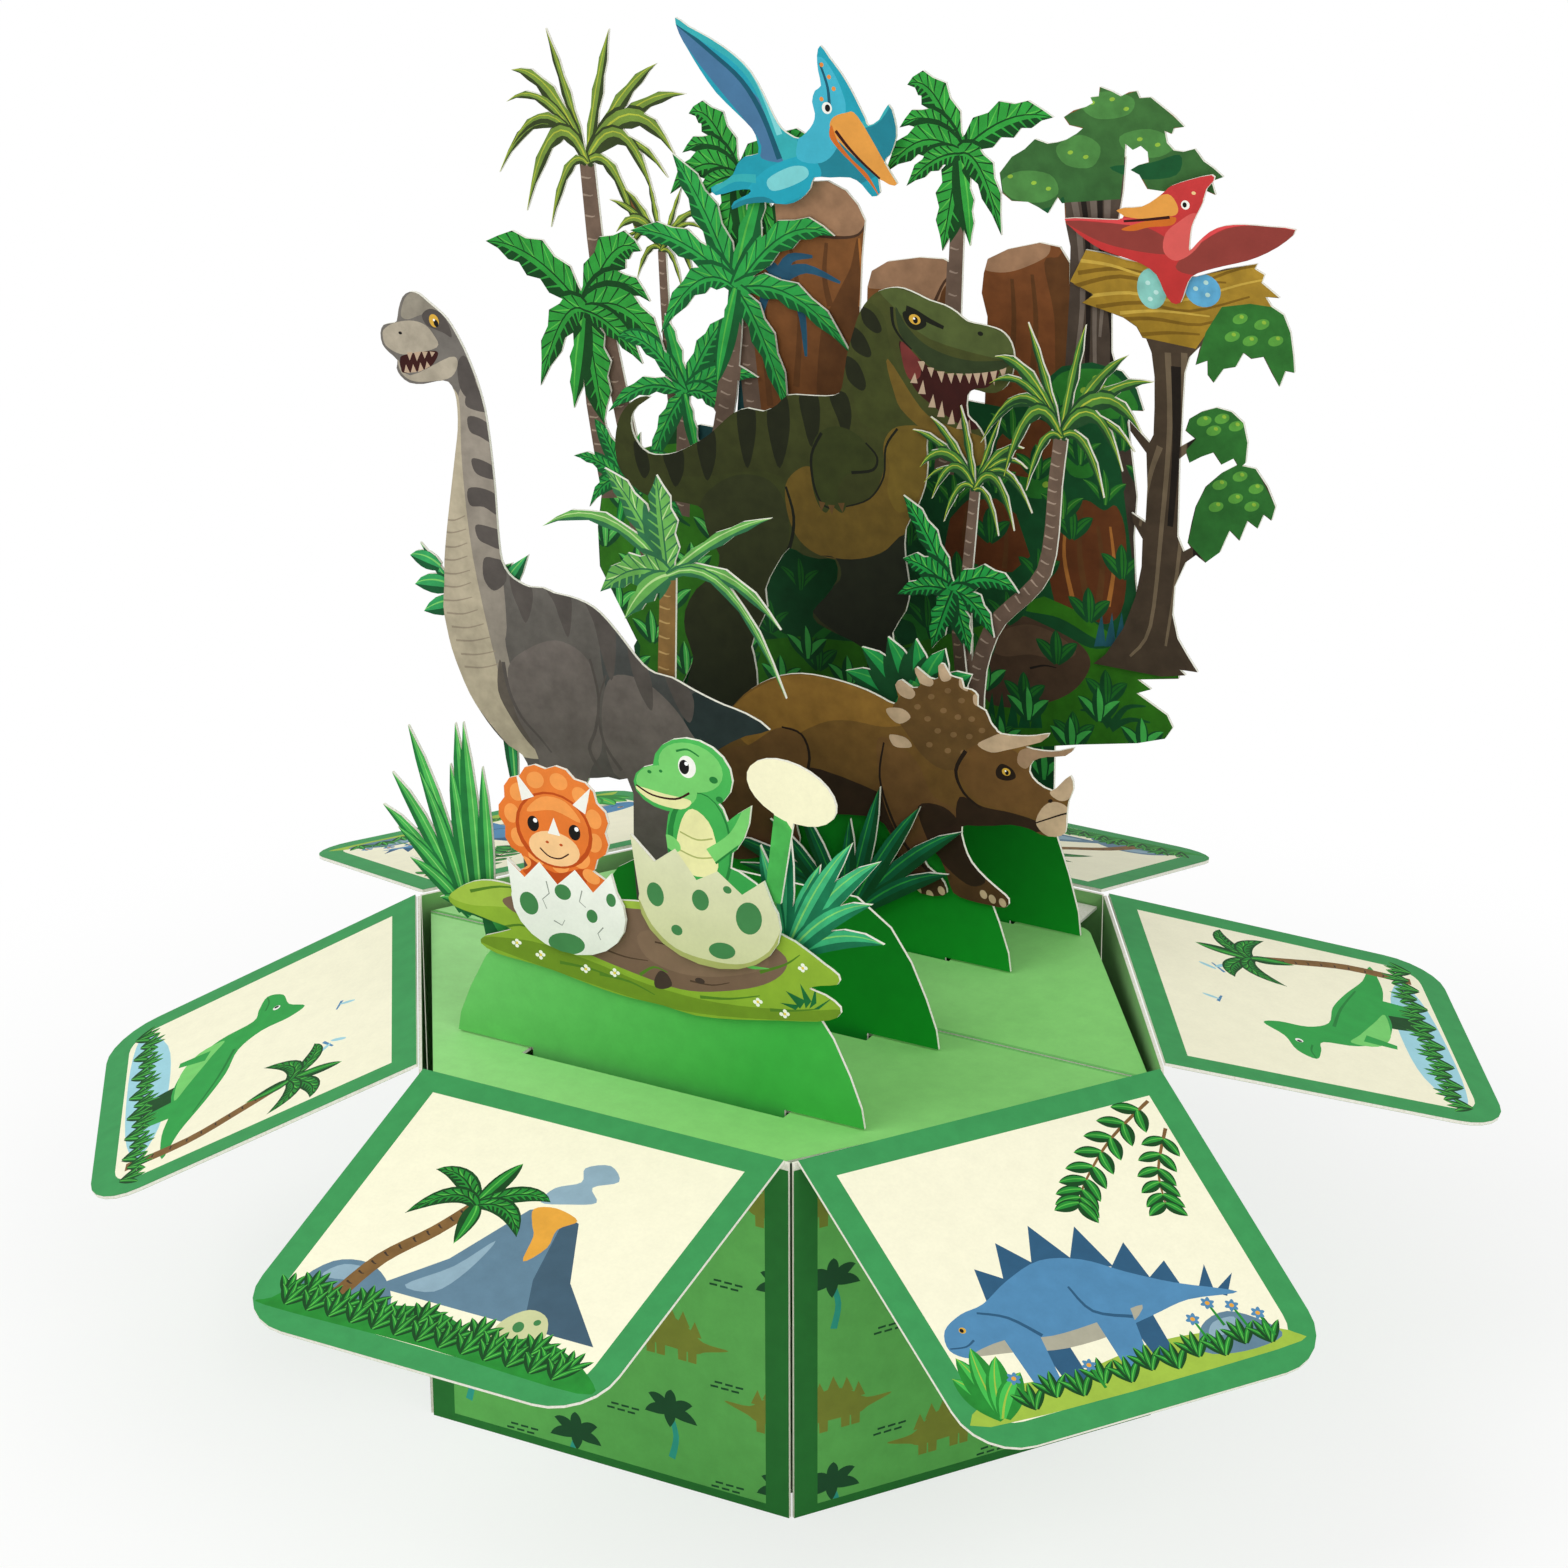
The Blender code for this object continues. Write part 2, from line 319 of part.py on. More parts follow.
LEAFY_STEMS_SHARES = (
    (0.848, 0.000, 0.362, 0.376, 0.027, 0.111), (0.512, 0.276, 0.046, 0.584, 0.014, 0.081),
    (0.852, 0.079, 0.766, 0.610, 0.000, 0.111), (0.800, 0.537, 0.166, 0.950, 0.000, 0.091),
    (0.138, 0.547, 0.000, 0.602, 0.008, 0.111), (0.198, 0.507, 0.069, 0.463, 0.008, 0.131),
    (0.274, 0.468, 0.112, 0.421, -0.008, 0.131), (0.332, 0.397, 0.162, 0.340, -0.008, 0.141),
    (0.406, 0.342, 0.245, 0.279, -0.008, 0.141), (0.230, 0.525, 0.267, 0.598, 0.000, 0.121),
    (0.322, 0.481, 0.389, 0.557, 0.000, 0.121), (0.411, 0.420, 0.494, 0.490, 0.000, 0.121),
    (0.405, 0.803, 0.115, 0.786, 0.016, 0.141), (0.480, 0.753, 0.179, 0.689, 0.008, 0.141),
    (0.317, 0.870, 0.084, 0.894, 0.014, 0.131), (0.540, 0.717, 0.876, 0.938, 0.014, 0.151),
    (0.614, 0.671, 1.000, 0.980, 0.014, 0.141), (0.392, 0.832, 0.496, 1.000, 0.000, 0.131),
)
ARCHING_CROWN_SHARES = (
    (-0.40, 1.18, 0.05, 0.10), (0.25, 1.25, 0.10, 0.12), (0.73, 1.00, 0.25, 0.14), (1.02, 0.76, 0.35, 0.15),
    (0.90, 0.20, 0.75, 0.20), (0.83, -0.02, 0.55, 0.10), (0.70, -0.25, 0.85, 0.14), (0.50, -0.57, 0.55, 0.12),
    (-0.77, 0.76, 0.45, 0.16), (-0.83, 0.46, 0.55, 0.10), (-0.92, -0.20, 0.85, 0.12), (-0.79, 0.05, 0.70, 0.10),
    (-0.64, -0.52, 0.95, 0.16), (-0.39, -0.64, 0.50, 0.10),
)
BROAD_CROWN_SHARES = (
    (-1.09, 0.53, 0.35, 0.42), (0.63, 0.67, 0.55, 0.40), (0.72, 0.19, 0.45, 0.28), (0.89, -0.33, 0.50, 0.38),
    (0.19, -1.10, 0.10, 0.38), (-0.14, -1.00, 0.00, 0.22), (-0.51, -0.83, 0.55, 0.34),
    (0.63, -0.44, 0.20, 0.25),
)
LONG_CROWN_SHARES = (
    (-0.63, 1.13, 0.20, 0.30), (0.28, 1.02, 0.06, 0.24), (-1.07, 0.38, 0.30, 0.28), (-0.77, -0.52, 0.55, 0.26),
    (0.97, 0.61, 0.50, 0.28), (1.13, -0.42, 0.45, 0.26), (0.53, -1.12, 0.30, 0.26), (-0.20, -0.90, 0.00, 0.16),
)
FERN_CROWN_SHARES = (
    (-0.59, 0.84, 0.20, 0.25), (-0.10, 0.86, 0.10, 0.30), (-1.20, 0.23, 0.55, 0.13), (-0.65, -0.25, 0.25, 0.30),
    (-0.42, -0.45, 0.10, 0.20), (0.97, 0.67, 0.15, 0.12), (1.05, -0.28, 0.45, 0.14), (1.10, -0.87, 0.80, 0.10),
)
STAR_CROWN_SHARES = (
    (-0.77, 1.28, 0.25, 0.35), (-0.77, 0.35, 0.20, 0.40), (-0.85, -0.20, 0.20, 0.30), (1.03, 0.15, 0.45, 0.38),
    (0.66, -0.57, 0.35, 0.36), (0.30, -0.88, 0.10, 0.30), (-0.30, -0.90, 0.10, 0.38),
)
CROWN_NOTCH_SHARE = 0.70
TRUNK_SHARE = 0.15
FERN_PALM_TRUNK_SHARES = ((0.10, 0.00), (-0.02, 0.35), (-0.03, 0.70), (0.00, 1.00))
CURVED_PALM_TRUNK_SHARES = (
    (0.000, 0.000), (0.000, 0.300), (0.018, 0.420), (0.060, 0.512), (0.130, 0.585), (0.178, 0.655),
    (0.196, 0.760), (0.202, 0.880), (0.215, 1.000),
)
SLIM_PALM_TRUNK_SHARES = ((0.00, 0.00), (0.00, 0.28), (-0.01, 0.52), (0.01, 0.76), (0.03, 1.00))
STAR_PALM_TRUNK_SHARES = ((0.06, 0.00), (0.06, 0.52), (0.03, 0.80), (0.00, 1.00))
HORNED_EGG_RIM_SHARES = (
    (0.10, 0.24), (0.06, 0.44), (0.20, 0.36), (0.32, 0.46), (0.46, 0.36), (0.60, 0.46), (0.74, 0.36),
    (0.88, 0.48), (0.97, 0.26),
)
GREEN_EGG_RIM_SHARES = (
    (0.06, 0.24), (0.00, 0.52), (0.16, 0.42), (0.30, 0.50), (0.44, 0.38), (0.58, 0.44), (0.74, 0.36),
    (0.88, 0.44), (0.99, 0.26),
)
BUBBLE_STEM_SHARES = ((0.20, 0.0), (0.38, 0.0), (0.54, 0.66), (0.32, 0.66))

# Rear palms: crown place and foot as shares of the rear sheet, and reach as a share of its width
REAR_PALM_SHARES = (
    (-0.590, 0.972, -0.500, 0.470, 0.170), (-0.461, 0.860, -0.430, 0.500, 0.089),
    (-0.331, 0.986, -0.300, 0.600, 0.128), (0.039, 1.065, 0.020, 0.600, 0.136),
)
GROVE_PALM_SHARES = (
    (0.012, 0.868, 0.100, 0.450, 0.345), (0.583, 0.971, 0.480, 0.500, 0.367),
    (0.386, 0.718, 0.370, 0.440, 0.257), (0.162, 0.485, 0.260, 0.300, 0.190),
)
HILL_SIDE_SHARES = ((1.000, 0.000), (0.985, 0.130), (0.930, 0.330), (0.850, 0.560), (0.740, 0.770), (0.560, 0.930))


def srgb(hex_code):
    """Turn an sRGB hex colour into the linear values that a shader takes."""
    channels = [int(hex_code[index:index + 2], 16) / 255 for index in (1, 3, 5)]
    linear = [value / 12.92 if value <= 0.04045 else ((value + 0.055) / 1.055) ** 2.4 for value in channels]
    return (*linear, 1.0)


def paper_material(name, hex_code, roughness=0.72):
    """Make the printed-card material of one piece."""
    material = bpy.data.materials.new(name + "_paper")
    material.use_nodes = True
    shader = material.node_tree.nodes["Principled BSDF"]
    shader.inputs["Base Color"].default_value = srgb(hex_code)
    shader.inputs["Roughness"].default_value = roughness
    shader.inputs["Metallic"].default_value = 0.0
    return material


def smooth_outline(points, steps=3):
    """Run a closed curve through the points, with a few steps between each pair."""
    count = len(points)
    outline = []
    for index in range(count):
        before, start, end, after = (points[(index + offset) % count] for offset in (-1, 0, 1, 2))
        for step in range(steps):
            u = step / steps
            outline.append(tuple(
                0.5 * (2 * b + (c - a) * u + (2 * a - 5 * b + 4 * c - d) * u * u
                       + (3 * b - a - 3 * c + d) * u ** 3)
                for a, b, c, d in zip(before, start, end, after)
            ))
    return outline


def scaled(shares, width, height, left=0.0, foot=0.0):
    """Turn shares of a figure into its outline, from its left side and its foot."""
    return [(left + x * width, foot + y * height) for x, y in shares]


def ellipse(centre, half_width, half_height, steps=20, turn=0.0):
    """Give the points of an ellipse, turned about its centre."""
    points = []
    for step in range(steps):
        angle = math.tau * step / steps
        x = half_width * math.cos(angle)
        y = half_height * math.sin(angle)
        points.append((centre[0] + x * math.cos(turn) - y * math.sin(turn),
                       centre[1] + x * math.sin(turn) + y * math.cos(turn)))
    return points


def scalloped(centre, half_width, half_height, lobes, depth_share=0.12, steps_per_lobe=4):
    """Give an ellipse whose edge swells in round lobes, as a neck frill does."""
    points = []
    steps = lobes * steps_per_lobe
    for step in range(steps):
        angle = math.tau * step / steps
        swell = 1 + depth_share * abs(math.sin(lobes * angle / 2))
        points.append((centre[0] + half_width * swell * math.cos(angle),
                       centre[1] + half_height * swell * math.sin(angle)))
    return points


def beside(points, halves):
    """Give the outline of a strip that follows the points, with half a width at each."""
    left_side = []
    right_side = []
    last = len(points) - 1
    for index, ((x, y), half) in enumerate(zip(points, halves)):
        before = points[max(index - 1, 0)]
        after = points[min(index + 1, last)]
        heading = math.atan2(after[1] - before[1], after[0] - before[0])
        left_side.append((x - half * math.sin(heading), y + half * math.cos(heading)))
        right_side.append((x + half * math.sin(heading), y - half * math.cos(heading)))
    return left_side + right_side[::-1]


def limb(points, foot_width, top_width):
    """Give a tapered trunk that follows the points from its foot."""
    last = len(points) - 1
    return beside(points, [(foot_width + (top_width - foot_width) * index / last) / 2 for index in range(last + 1)])


def leaf(root, tip, rise, width, notch_share=1.0, steps=5):
    """Give a pointed leaf whose rib bows upward on the way, with notched edges for a frond."""
    bend = ((root[0] + tip[0]) / 2, (root[1] + tip[1]) / 2 + rise)
    points = []
    halves = []
    for step in range(steps + 1):
        u = step / steps
        points.append(tuple((1 - u) ** 2 * a + 2 * u * (1 - u) * b + u ** 2 * c for a, b, c in zip(root, bend, tip)))
        fullness = math.sin(math.pi * (0.12 + 0.88 * u)) ** 0.8 if step < steps else 0.0
        halves.append(width / 2 * fullness * (notch_share if step % 2 else 1.0))
    outline = beside(points, halves)
    del outline[steps]
    return outline


def crown(centre, reach, shares, mirrored=False):
    """Give the fronds of a palm crown from rows of tip place, rise and width in shares of the reach."""
    side = -1 if mirrored else 1
    return [leaf(centre, (centre[0] + side * across * reach, centre[1] + up * reach), rise * reach,
                 width * reach, CROWN_NOTCH_SHARE, 8) for across, up, rise, width in shares]


def palm(path, reach, shares, mirrored=False):
    """Give the outlines of a palm tree: a trunk along its path, and the crown at its end."""
    trunk = limb(path, reach * TRUNK_SHARE * 1.3, reach * TRUNK_SHARE)
    return [trunk] + crown(path[-1], reach, shares, mirrored)


def tuft(shares, width, height):
    """Give the leaves of a tuft from rows of root, tip, rise and width in shares of its size."""
    return [leaf((x0 * width, y0 * height), (x1 * width, y1 * height), rise * height, breadth * width)
            for x0, y0, x1, y1, rise, breadth in shares]


def moved(parts, across, up):
    """Shift every outline of a figure."""
    return [[(x + across, y + up) for x, y in outline] for outline in parts]


def area_of(loop):
    """Give the signed area inside a closed outline."""
    return sum(a[0] * b[1] - b[0] * a[1] for a, b in zip(loop, loop[1:] + loop[:1])) / 2


def boundary_loops(vertices, faces):
    """Trace the outer and inner edges of a patch of faces."""
    ahead = {}
    for face in faces:
        for start, end in zip(face, face[1:] + face[:1]):
            if (end, start) in ahead:
                del ahead[(end, start)]
            else:
                ahead[(start, end)] = True
    following = {}
    for start, end in ahead:
        following.setdefault(start, []).append(end)
    shared = {start for start, ends in following.items() if len(ends) > 1}
    loops = []
    while following:
        first = next((start for start in following if start not in shared), next(iter(following)))
        corners = [first]
        back = None
        while True:
            here = corners[-1]
            end = next_corner(vertices, following[here], here, back)
            following[here].remove(end)
            if not following[here]:
                del following[here]
            if end == first:
                break
            back = math.atan2(vertices[here][1] - vertices[end][1], vertices[here][0] - vertices[end][0])
            corners.append(end)
        loops.append([parted(vertices, corners, place, shared) for place in range(len(corners))])
    return loops


def next_corner(vertices, ends, here, back):
    """Choose the edge that stays with the same paper where two corners meet in a point."""
    if back is None or len(ends) == 1:
        return ends[0]
    start = vertices[here]
    return min(ends, key=lambda end: (back - math.atan2(vertices[end][1] - start[1], vertices[end][0] - start[0]))
               % math.tau)


def parted(vertices, corners, place, shared):
    """Pull a corner that touches another corner back into its own paper."""
    here = vertices[corners[place]]
    if corners[place] not in shared:
        return tuple(here)
    before = vertices[corners[place - 1]]
    after = vertices[corners[(place + 1) % len(corners)]]
    back = math.atan2(before[1] - here[1], before[0] - here[0])
    ahead = math.atan2(after[1] - here[1], after[0] - here[0])
    inward = ahead + ((back - ahead) % math.tau) / 2
    return here[0] + OUTLINE_GRAIN * math.cos(inward), here[1] + OUTLINE_GRAIN * math.sin(inward)


def holds_point(loop, point):
    """Tell whether a point lies inside a closed outline."""
    inside = False
    for (x0, y0), (x1, y1) in zip(loop, loop[1:] + loop[:1]):
        if (y0 > point[1]) != (y1 > point[1]) and point[0] < x0 + (x1 - x0) * (point[1] - y0) / (y1 - y0):
            inside = not inside
    return inside


def without_close_points(loop):
    """Drop points that lie closer together than the grain of the cut."""
    kept = []
    for point in loop:
        if not kept or math.dist(point, kept[-1]) > OUTLINE_GRAIN:
            kept.append(point)
    while len(kept) > 3 and math.dist(kept[0], kept[-1]) <= OUTLINE_GRAIN:
        kept.pop()
    return kept


def as_faces(outlines):
    """List the points of all outlines, and one face of point numbers for each, all turning the same way."""
    vertices = []
    faces = []
    for outline in outlines:
        if area_of(outline) < 0:
            outline = outline[::-1]
        faces.append(list(range(len(vertices), len(vertices) + len(outline))))
        vertices.extend(Vector(point) for point in outline)
    return vertices, faces


def middle_of(vertices, patch):
    """Give the middle of a patch's corners."""
    return (sum(vertices[index][0] for index in patch) / len(patch),
            sum(vertices[index][1] for index in patch) / len(patch))


def boxed(outline):
    """Give an outline with its left, right, lower and upper limits, for quick tests."""
    across = [x for x, _ in outline]
    up = [y for _, y in outline]
    return min(across), max(across), min(up), max(up), outline


def covered(boxes, point):
    """Tell whether any of the boxed outlines holds a point."""
    x, y = point
    return any(left < x < right and foot < y < top and holds_point(outline, point)
               for left, right, foot, top, outline in boxes)


def joined(outlines):
    """Merge overlapping outlines into one sheet: its outer edge and any real hole."""
    vertices, faces = as_faces(outlines)
    merged, _, patches, _, _, _ = delaunay_2d_cdt(vertices, [], faces, 0, OUTLINE_GRAIN / 10)
    boxes = [boxed(outline) for outline in outlines]
    kept = [list(patch) for patch in patches if covered(boxes, middle_of(merged, patch))]
    kept = [patch if area_of([tuple(merged[index]) for index in patch]) > 0 else patch[::-1] for patch in kept]
    loops = [without_close_points(loop) for loop in boundary_loops(merged, kept)]
    loops = [loop for loop in loops if len(loop) > 2]
    outer = max(loops, key=area_of)
    holes = [loop for loop in loops if area_of(loop) < -SMALL_HOLE_SIDE ** 2]
    return [outer] + [hole for hole in holes if holds_point(outer, hole[0])]


def sheet_curve(name, loops, thickness=CARD_THICKNESS):
    """Make a flat cut sheet: a filled 2D curve with half its thickness either side."""
    curve = bpy.data.curves.new(name, "CURVE")
    curve.dimensions = "2D"
    curve.fill_mode = "BOTH"
    curve.extrude = thickness / 2
    for loop in loops:
        spline = curve.splines.new("POLY")
        spline.points.add(len(loop) - 1)
        for point, (x, y) in zip(spline.points, loop):
            point.co = (x, y, 0.0, 1.0)
        spline.use_cyclic_u = True
    return bpy.data.objects.new(name, curve)


def pierced_sheet(name, loops, thickness=CARD_THICKNESS):
    """Make a flat cut sheet with openings: an open surface that a modifier thickens both ways."""
    vertices, faces = as_faces(loops)
    merged, _, patches, _, _, origins = delaunay_2d_cdt(vertices, [], faces, 1, OUTLINE_GRAIN / 100)
    kept = [patch for patch, origin in zip(patches, origins) if list(origin) == [0]]
    mesh = bpy.data.meshes.new(name)
    mesh.from_pydata([(point.x, point.y, 0.0) for point in merged], [], kept)
    sheet = bpy.data.objects.new(name, mesh)
    thicken = sheet.modifiers.new("Thickness", "SOLIDIFY")
    thicken.thickness = thickness
    thicken.offset = 0.0
    return sheet


class Card:
    """Builds the pieces in one collection and keeps the parent empties on the joint axes."""

    def __init__(self):
        self.collection = bpy.data.collections.new(COLLECTION_NAME)
        bpy.context.scene.collection.children.link(self.collection)
        self.axes = {}

    def axis(self, name, parent=None, location=(0.0, 0.0, 0.0), rotation=(0.0, 0.0, 0.0)):
        """Add an empty whose origin lies on a joint axis."""
        empty = bpy.data.objects.new("axis_" + name, None)
        empty.empty_display_size = WALL_WIDTH / 10
        empty.location = location
        empty.rotation_euler = rotation
        empty.parent = self.axes[parent] if parent else None
        self.collection.objects.link(empty)
        self.axes[name] = empty

    def piece(self, name, loops, parent, location=(0.0, 0.0, 0.0), rotation=(0.0, 0.0, 0.0), colour="#FFFFFF"):
        """Add one cut sheet on its parent axis."""
        sheet = pierced_sheet(name, loops) if len(loops) > 1 else sheet_curve(name, loops)
        sheet.location = location
        sheet.rotation_euler = rotation
        sheet.parent = self.axes[parent]
        sheet.data.materials.append(paper_material(name, colour))
        self.collection.objects.link(sheet)

    def standing(self, name, outlines, parent, across, up, layer, colour):
        """Add an upright figure in a layer in front of its carrier, or behind it if negative."""
        self.piece(name, joined(moved(outlines, across, up)), parent,
                   (0.0, -layer * LAYER_STEP, 0.0), (math.pi / 2, 0.0, 0.0), colour)


def rectangle(left, foot, right, top):
    """Give the four corners of a rectangle."""
    return [(left, foot), (right, foot), (right, top), (left, top)]


def arc(centre, radius, start, end, steps=6):
    """Give points along a circular arc."""
    return [(centre[0] + radius * math.cos(start + (end - start) * step / steps),
             centre[1] + radius * math.sin(start + (end - start) * step / steps)) for step in range(steps + 1)]


def flap_outline():
    """Give a flap: full width at its hinge, a little narrower outside, with round corners."""
    left = FLAP_SIDE_MARGIN
    right = WALL_WIDTH - FLAP_SIDE_MARGIN
    outer_left = FLAP_OUTER_MARGIN
    outer_right = WALL_WIDTH - FLAP_OUTER_MARGIN
    radius = FLAP_CORNER_RADIUS
    start = -FLAP_LENGTH
    points = [(left, -CREASE_GAP / 2)]
    points += arc((outer_left + radius, start + radius), radius, math.pi, math.pi * 1.5)
    points += arc((outer_right - radius, start + radius), radius, math.pi * 1.5, math.pi * 2)
    points += [(right, -CREASE_GAP / 2)]
    return points


def build_box(card):
    """Build the six walls and the seam tab, each wall's empty on its corner crease."""
    turns = (0.0, CORNER_ANGLE, math.pi - 2 * CORNER_ANGLE, CORNER_ANGLE)
    outline = rectangle(CREASE_GAP / 2, 0.0, WALL_WIDTH - CREASE_GAP / 2, WALL_HEIGHT)
    card.axis("front", None, (-WALL_WIDTH / 2, -HALF_DEPTH, 0.0))
    for name, parent, turn in zip(WALL_NAMES[1:4], WALL_NAMES[:3], turns[1:]):
        card.axis(name, parent, (WALL_WIDTH, 0.0, 0.0), (0.0, 0.0, turn))
    card.axis("front_left", "front", (0.0, 0.0, 0.0), (0.0, 0.0, math.pi - CORNER_ANGLE))
    card.axis("back_left", "front_left", (WALL_WIDTH, 0.0, 0.0), (0.0, 0.0, 2 * CORNER_ANGLE - math.pi))
    for name in WALL_NAMES:
        mirrored = name in ("front_left", "back_left")
        side = CARD_THICKNESS / 2 if mirrored else -CARD_THICKNESS / 2
        card.piece("wall_" + name, [outline], name, (0.0, side, 0.0), (math.pi / 2, 0.0, 0.0), "#5CA653")
    tab = rectangle(WALL_WIDTH - JUNGLE_FOOT_MARGIN + GLUE_GAP, BASE_ABOVE_FLOOR, WALL_WIDTH - CREASE_GAP,
                    WALL_HEIGHT - TAB_HEIGHT)
    card.piece("seam_tab", [tab], "back", (0.0, GLUE_GAP + CARD_THICKNESS / 2, 0.0), (math.pi / 2, 0.0, 0.0), "#F4F1E6")


def build_flaps(card):
    """Hang a flap on the outer edge of each rim, its empty on the rim crease."""
    outline = flap_outline()
    height = WALL_HEIGHT + CREASE_GAP / 2
    for name in WALL_NAMES:
        mirrored = name in ("front_left", "back_left")
        side = CARD_THICKNESS if mirrored else -CARD_THICKNESS
        location = (WALL_WIDTH, side, height) if mirrored else (0.0, side, height)
        turn = math.pi if mirrored else 0.0
        card.axis("flap_" + name, name, location, (FLAP_DROOPS[name], 0.0, turn))
        card.piece("flap_" + name, [outline], "flap_" + name, (0.0, 0.0, CARD_THICKNESS / 2), colour="#F5F4D3")


def sheet_side(distance, corner_gap=SHEET_SIDE_GAP):
    """Give how far a sheet may reach sideways at a distance from the front wall."""
    return WALL_WIDTH / 2 + distance * SIDE_SLOPE - corner_gap / math.sin(CORNER_ANGLE)


def hill_seat(index):
    """Give a hill's distance from the hinge of its half sheet, in the sheet."""
    length = FRONT_SHEET_LENGTH if index < 2 else REAR_SHEET_LENGTH + REAR_CLEARANCE
    return HILL_PLACE_SHARES[index] * length


def hill_width(index):
    """Give the width of a hill at the deck."""
    return WALL_WIDTH * HILL_WIDTH_SHARES[index]


def leg_sides(index):
    """Give the left and right sides of a hill's leg where it passes the deck."""
    half = hill_width(index) * LEG_WIDTH_SHARE / 2
    shift = hill_width(index) * HILL_SHIFT_SHARES[index]
    return shift - half, shift + half


def slit(index):
    """Give the slit that a hill's leg passes through, wider on the side that tips towards it."""
    left, right = leg_sides(index)
    seat = hill_seat(index)
    if index < 2:
        near = seat - CARD_THICKNESS - SLIT_WIDE_SIDE
        far = seat + SLIT_NARROW_SIDE
    else:
        near = seat - SLIT_NARROW_SIDE
        far = seat + CARD_THICKNESS + SLIT_WIDE_SIDE
    return rectangle(left - SLIT_END_GAP, near, right + SLIT_END_GAP, far)


def front_sheet_outline():
    """Give the front half of the deck or base, widening from the front wall to the crease."""
    narrow = sheet_side(0.0)
    wide = sheet_side(FRONT_SHEET_LENGTH)
    return [(-narrow, 0.0), (narrow, 0.0), (wide, FRONT_SHEET_LENGTH), (-wide, FRONT_SHEET_LENGTH)]


def rear_sheet_outline(narrow):
    """Give the rear half, narrowing from the crease to two round corners."""
    start = CREASE_GAP / 2
    wide = sheet_side(HALF_DEPTH - start)
    radius = SHEET_CORNER_RADIUS
    end = REAR_SHEET_LENGTH
    turn = CORNER_ANGLE
    inset = radius * math.tan((math.pi - turn) / 4) * 2
    right = [(wide, start)]
    right += arc((narrow - inset, end - radius), radius, math.pi / 2 - turn, math.pi / 2)
    left = [(-x, y) for x, y in reversed(right)]
    return right + left


def build_sheets(card):
    """Build the folded deck and base, which rise about the front wall and bend at the crease."""
    heights = {"deck": DECK_AXIS_HEIGHT, "base": BASE_AXIS_HEIGHT}
    rear_sides = {"deck": sheet_side(HALF_DEPTH - REAR_SHEET_LENGTH), "base": WALL_WIDTH / 2 - GLUE_GAP}
    colours = {"deck": "#93CE80", "base": "#E9E6DA"}
    for kind, height in heights.items():
        front_loops = [front_sheet_outline()]
        rear_loops = [rear_sheet_outline(rear_sides[kind])]
        if kind == "deck":
            front_loops += [slit(index) for index in (0, 1)]
            rear_loops += [slit(index) for index in (2, 3)]
        front_axis = kind + "_front"
        rear_axis = kind + "_rear"
        card.axis(front_axis, "front", (WALL_WIDTH / 2, CREASE_GAP, height), (-SHEET_DIP, 0.0, 0.0))
        card.axis(rear_axis, front_axis, (0.0, FRONT_SHEET_LENGTH + CREASE_GAP / 2, -CARD_THICKNESS / 2),
                  (2 * SHEET_DIP, 0.0, 0.0))
        card.piece(kind + "_front", front_loops, front_axis, colour=colours[kind])
        card.piece(kind + "_rear", rear_loops, rear_axis, (0.0, 0.0, CARD_THICKNESS / 2), colour=colours[kind])
        tab_top = height - CARD_THICKNESS / 2 - GLUE_GAP
        tab_foot = max(tab_top - TAB_HEIGHT, 0.0)
        tab = rectangle(TAB_INSET, tab_foot, WALL_WIDTH - TAB_INSET, tab_top)
        card.piece(kind + "_front_tab", [tab], "front", (0.0, GLUE_GAP + CARD_THICKNESS / 2, 0.0),
                   (math.pi / 2, 0.0, 0.0), colours[kind])


def build_deck_rests(card):
    """Build the two ledges on the back wall that the rear edge of the deck rests on."""
    edge_height = DECK_AXIS_HEIGHT - CARD_THICKNESS / 2 - FRONT_SHEET_LENGTH * math.sin(SHEET_DIP)
    edge_height += REAR_SHEET_LENGTH * math.sin(SHEET_DIP)
    top = edge_height - 2 * GLUE_GAP
    reach = REAR_CLEARANCE + TAB_INSET / 2
    for side, start in (("right", REST_INSET), ("left", WALL_WIDTH - REST_INSET - REST_WIDTH)):
        ledge = rectangle(start, GLUE_GAP, start + REST_WIDTH, reach)
        card.piece("deck_rest_" + side, [ledge], "back", (0.0, 0.0, top - CARD_THICKNESS / 2), colour="#F4F1E6")


def hill_outline(index):
    """Give a hill: a rounded mound whose shoulders sit on the deck and whose leg reaches the base."""
    half = hill_width(index) / 2
    height = HILL_HEIGHT * HILL_HEIGHT_SHARES[index]
    shift = hill_width(index) * HILL_SHIFT_SHARES[index]
    left, right = leg_sides(index)
    foot = -SHEET_SPACING + FOOT_CLEARANCE
    foot_half = (right - left) / 2 * LEG_FOOT_SHARE / LEG_WIDTH_SHARE
    side = [(shift + half * x, HILL_LIFT + height * y) for x, y in HILL_SIDE_SHARES]
    far_side = [(2 * shift - x, y) for x, y in reversed(side)]
    leg = [(left, HILL_LIFT), (left, -TAB_HEIGHT), (shift - foot_half, foot),
           (shift + foot_half, foot), (right, -TAB_HEIGHT), (right, HILL_LIFT)]
    return leg + side + far_side


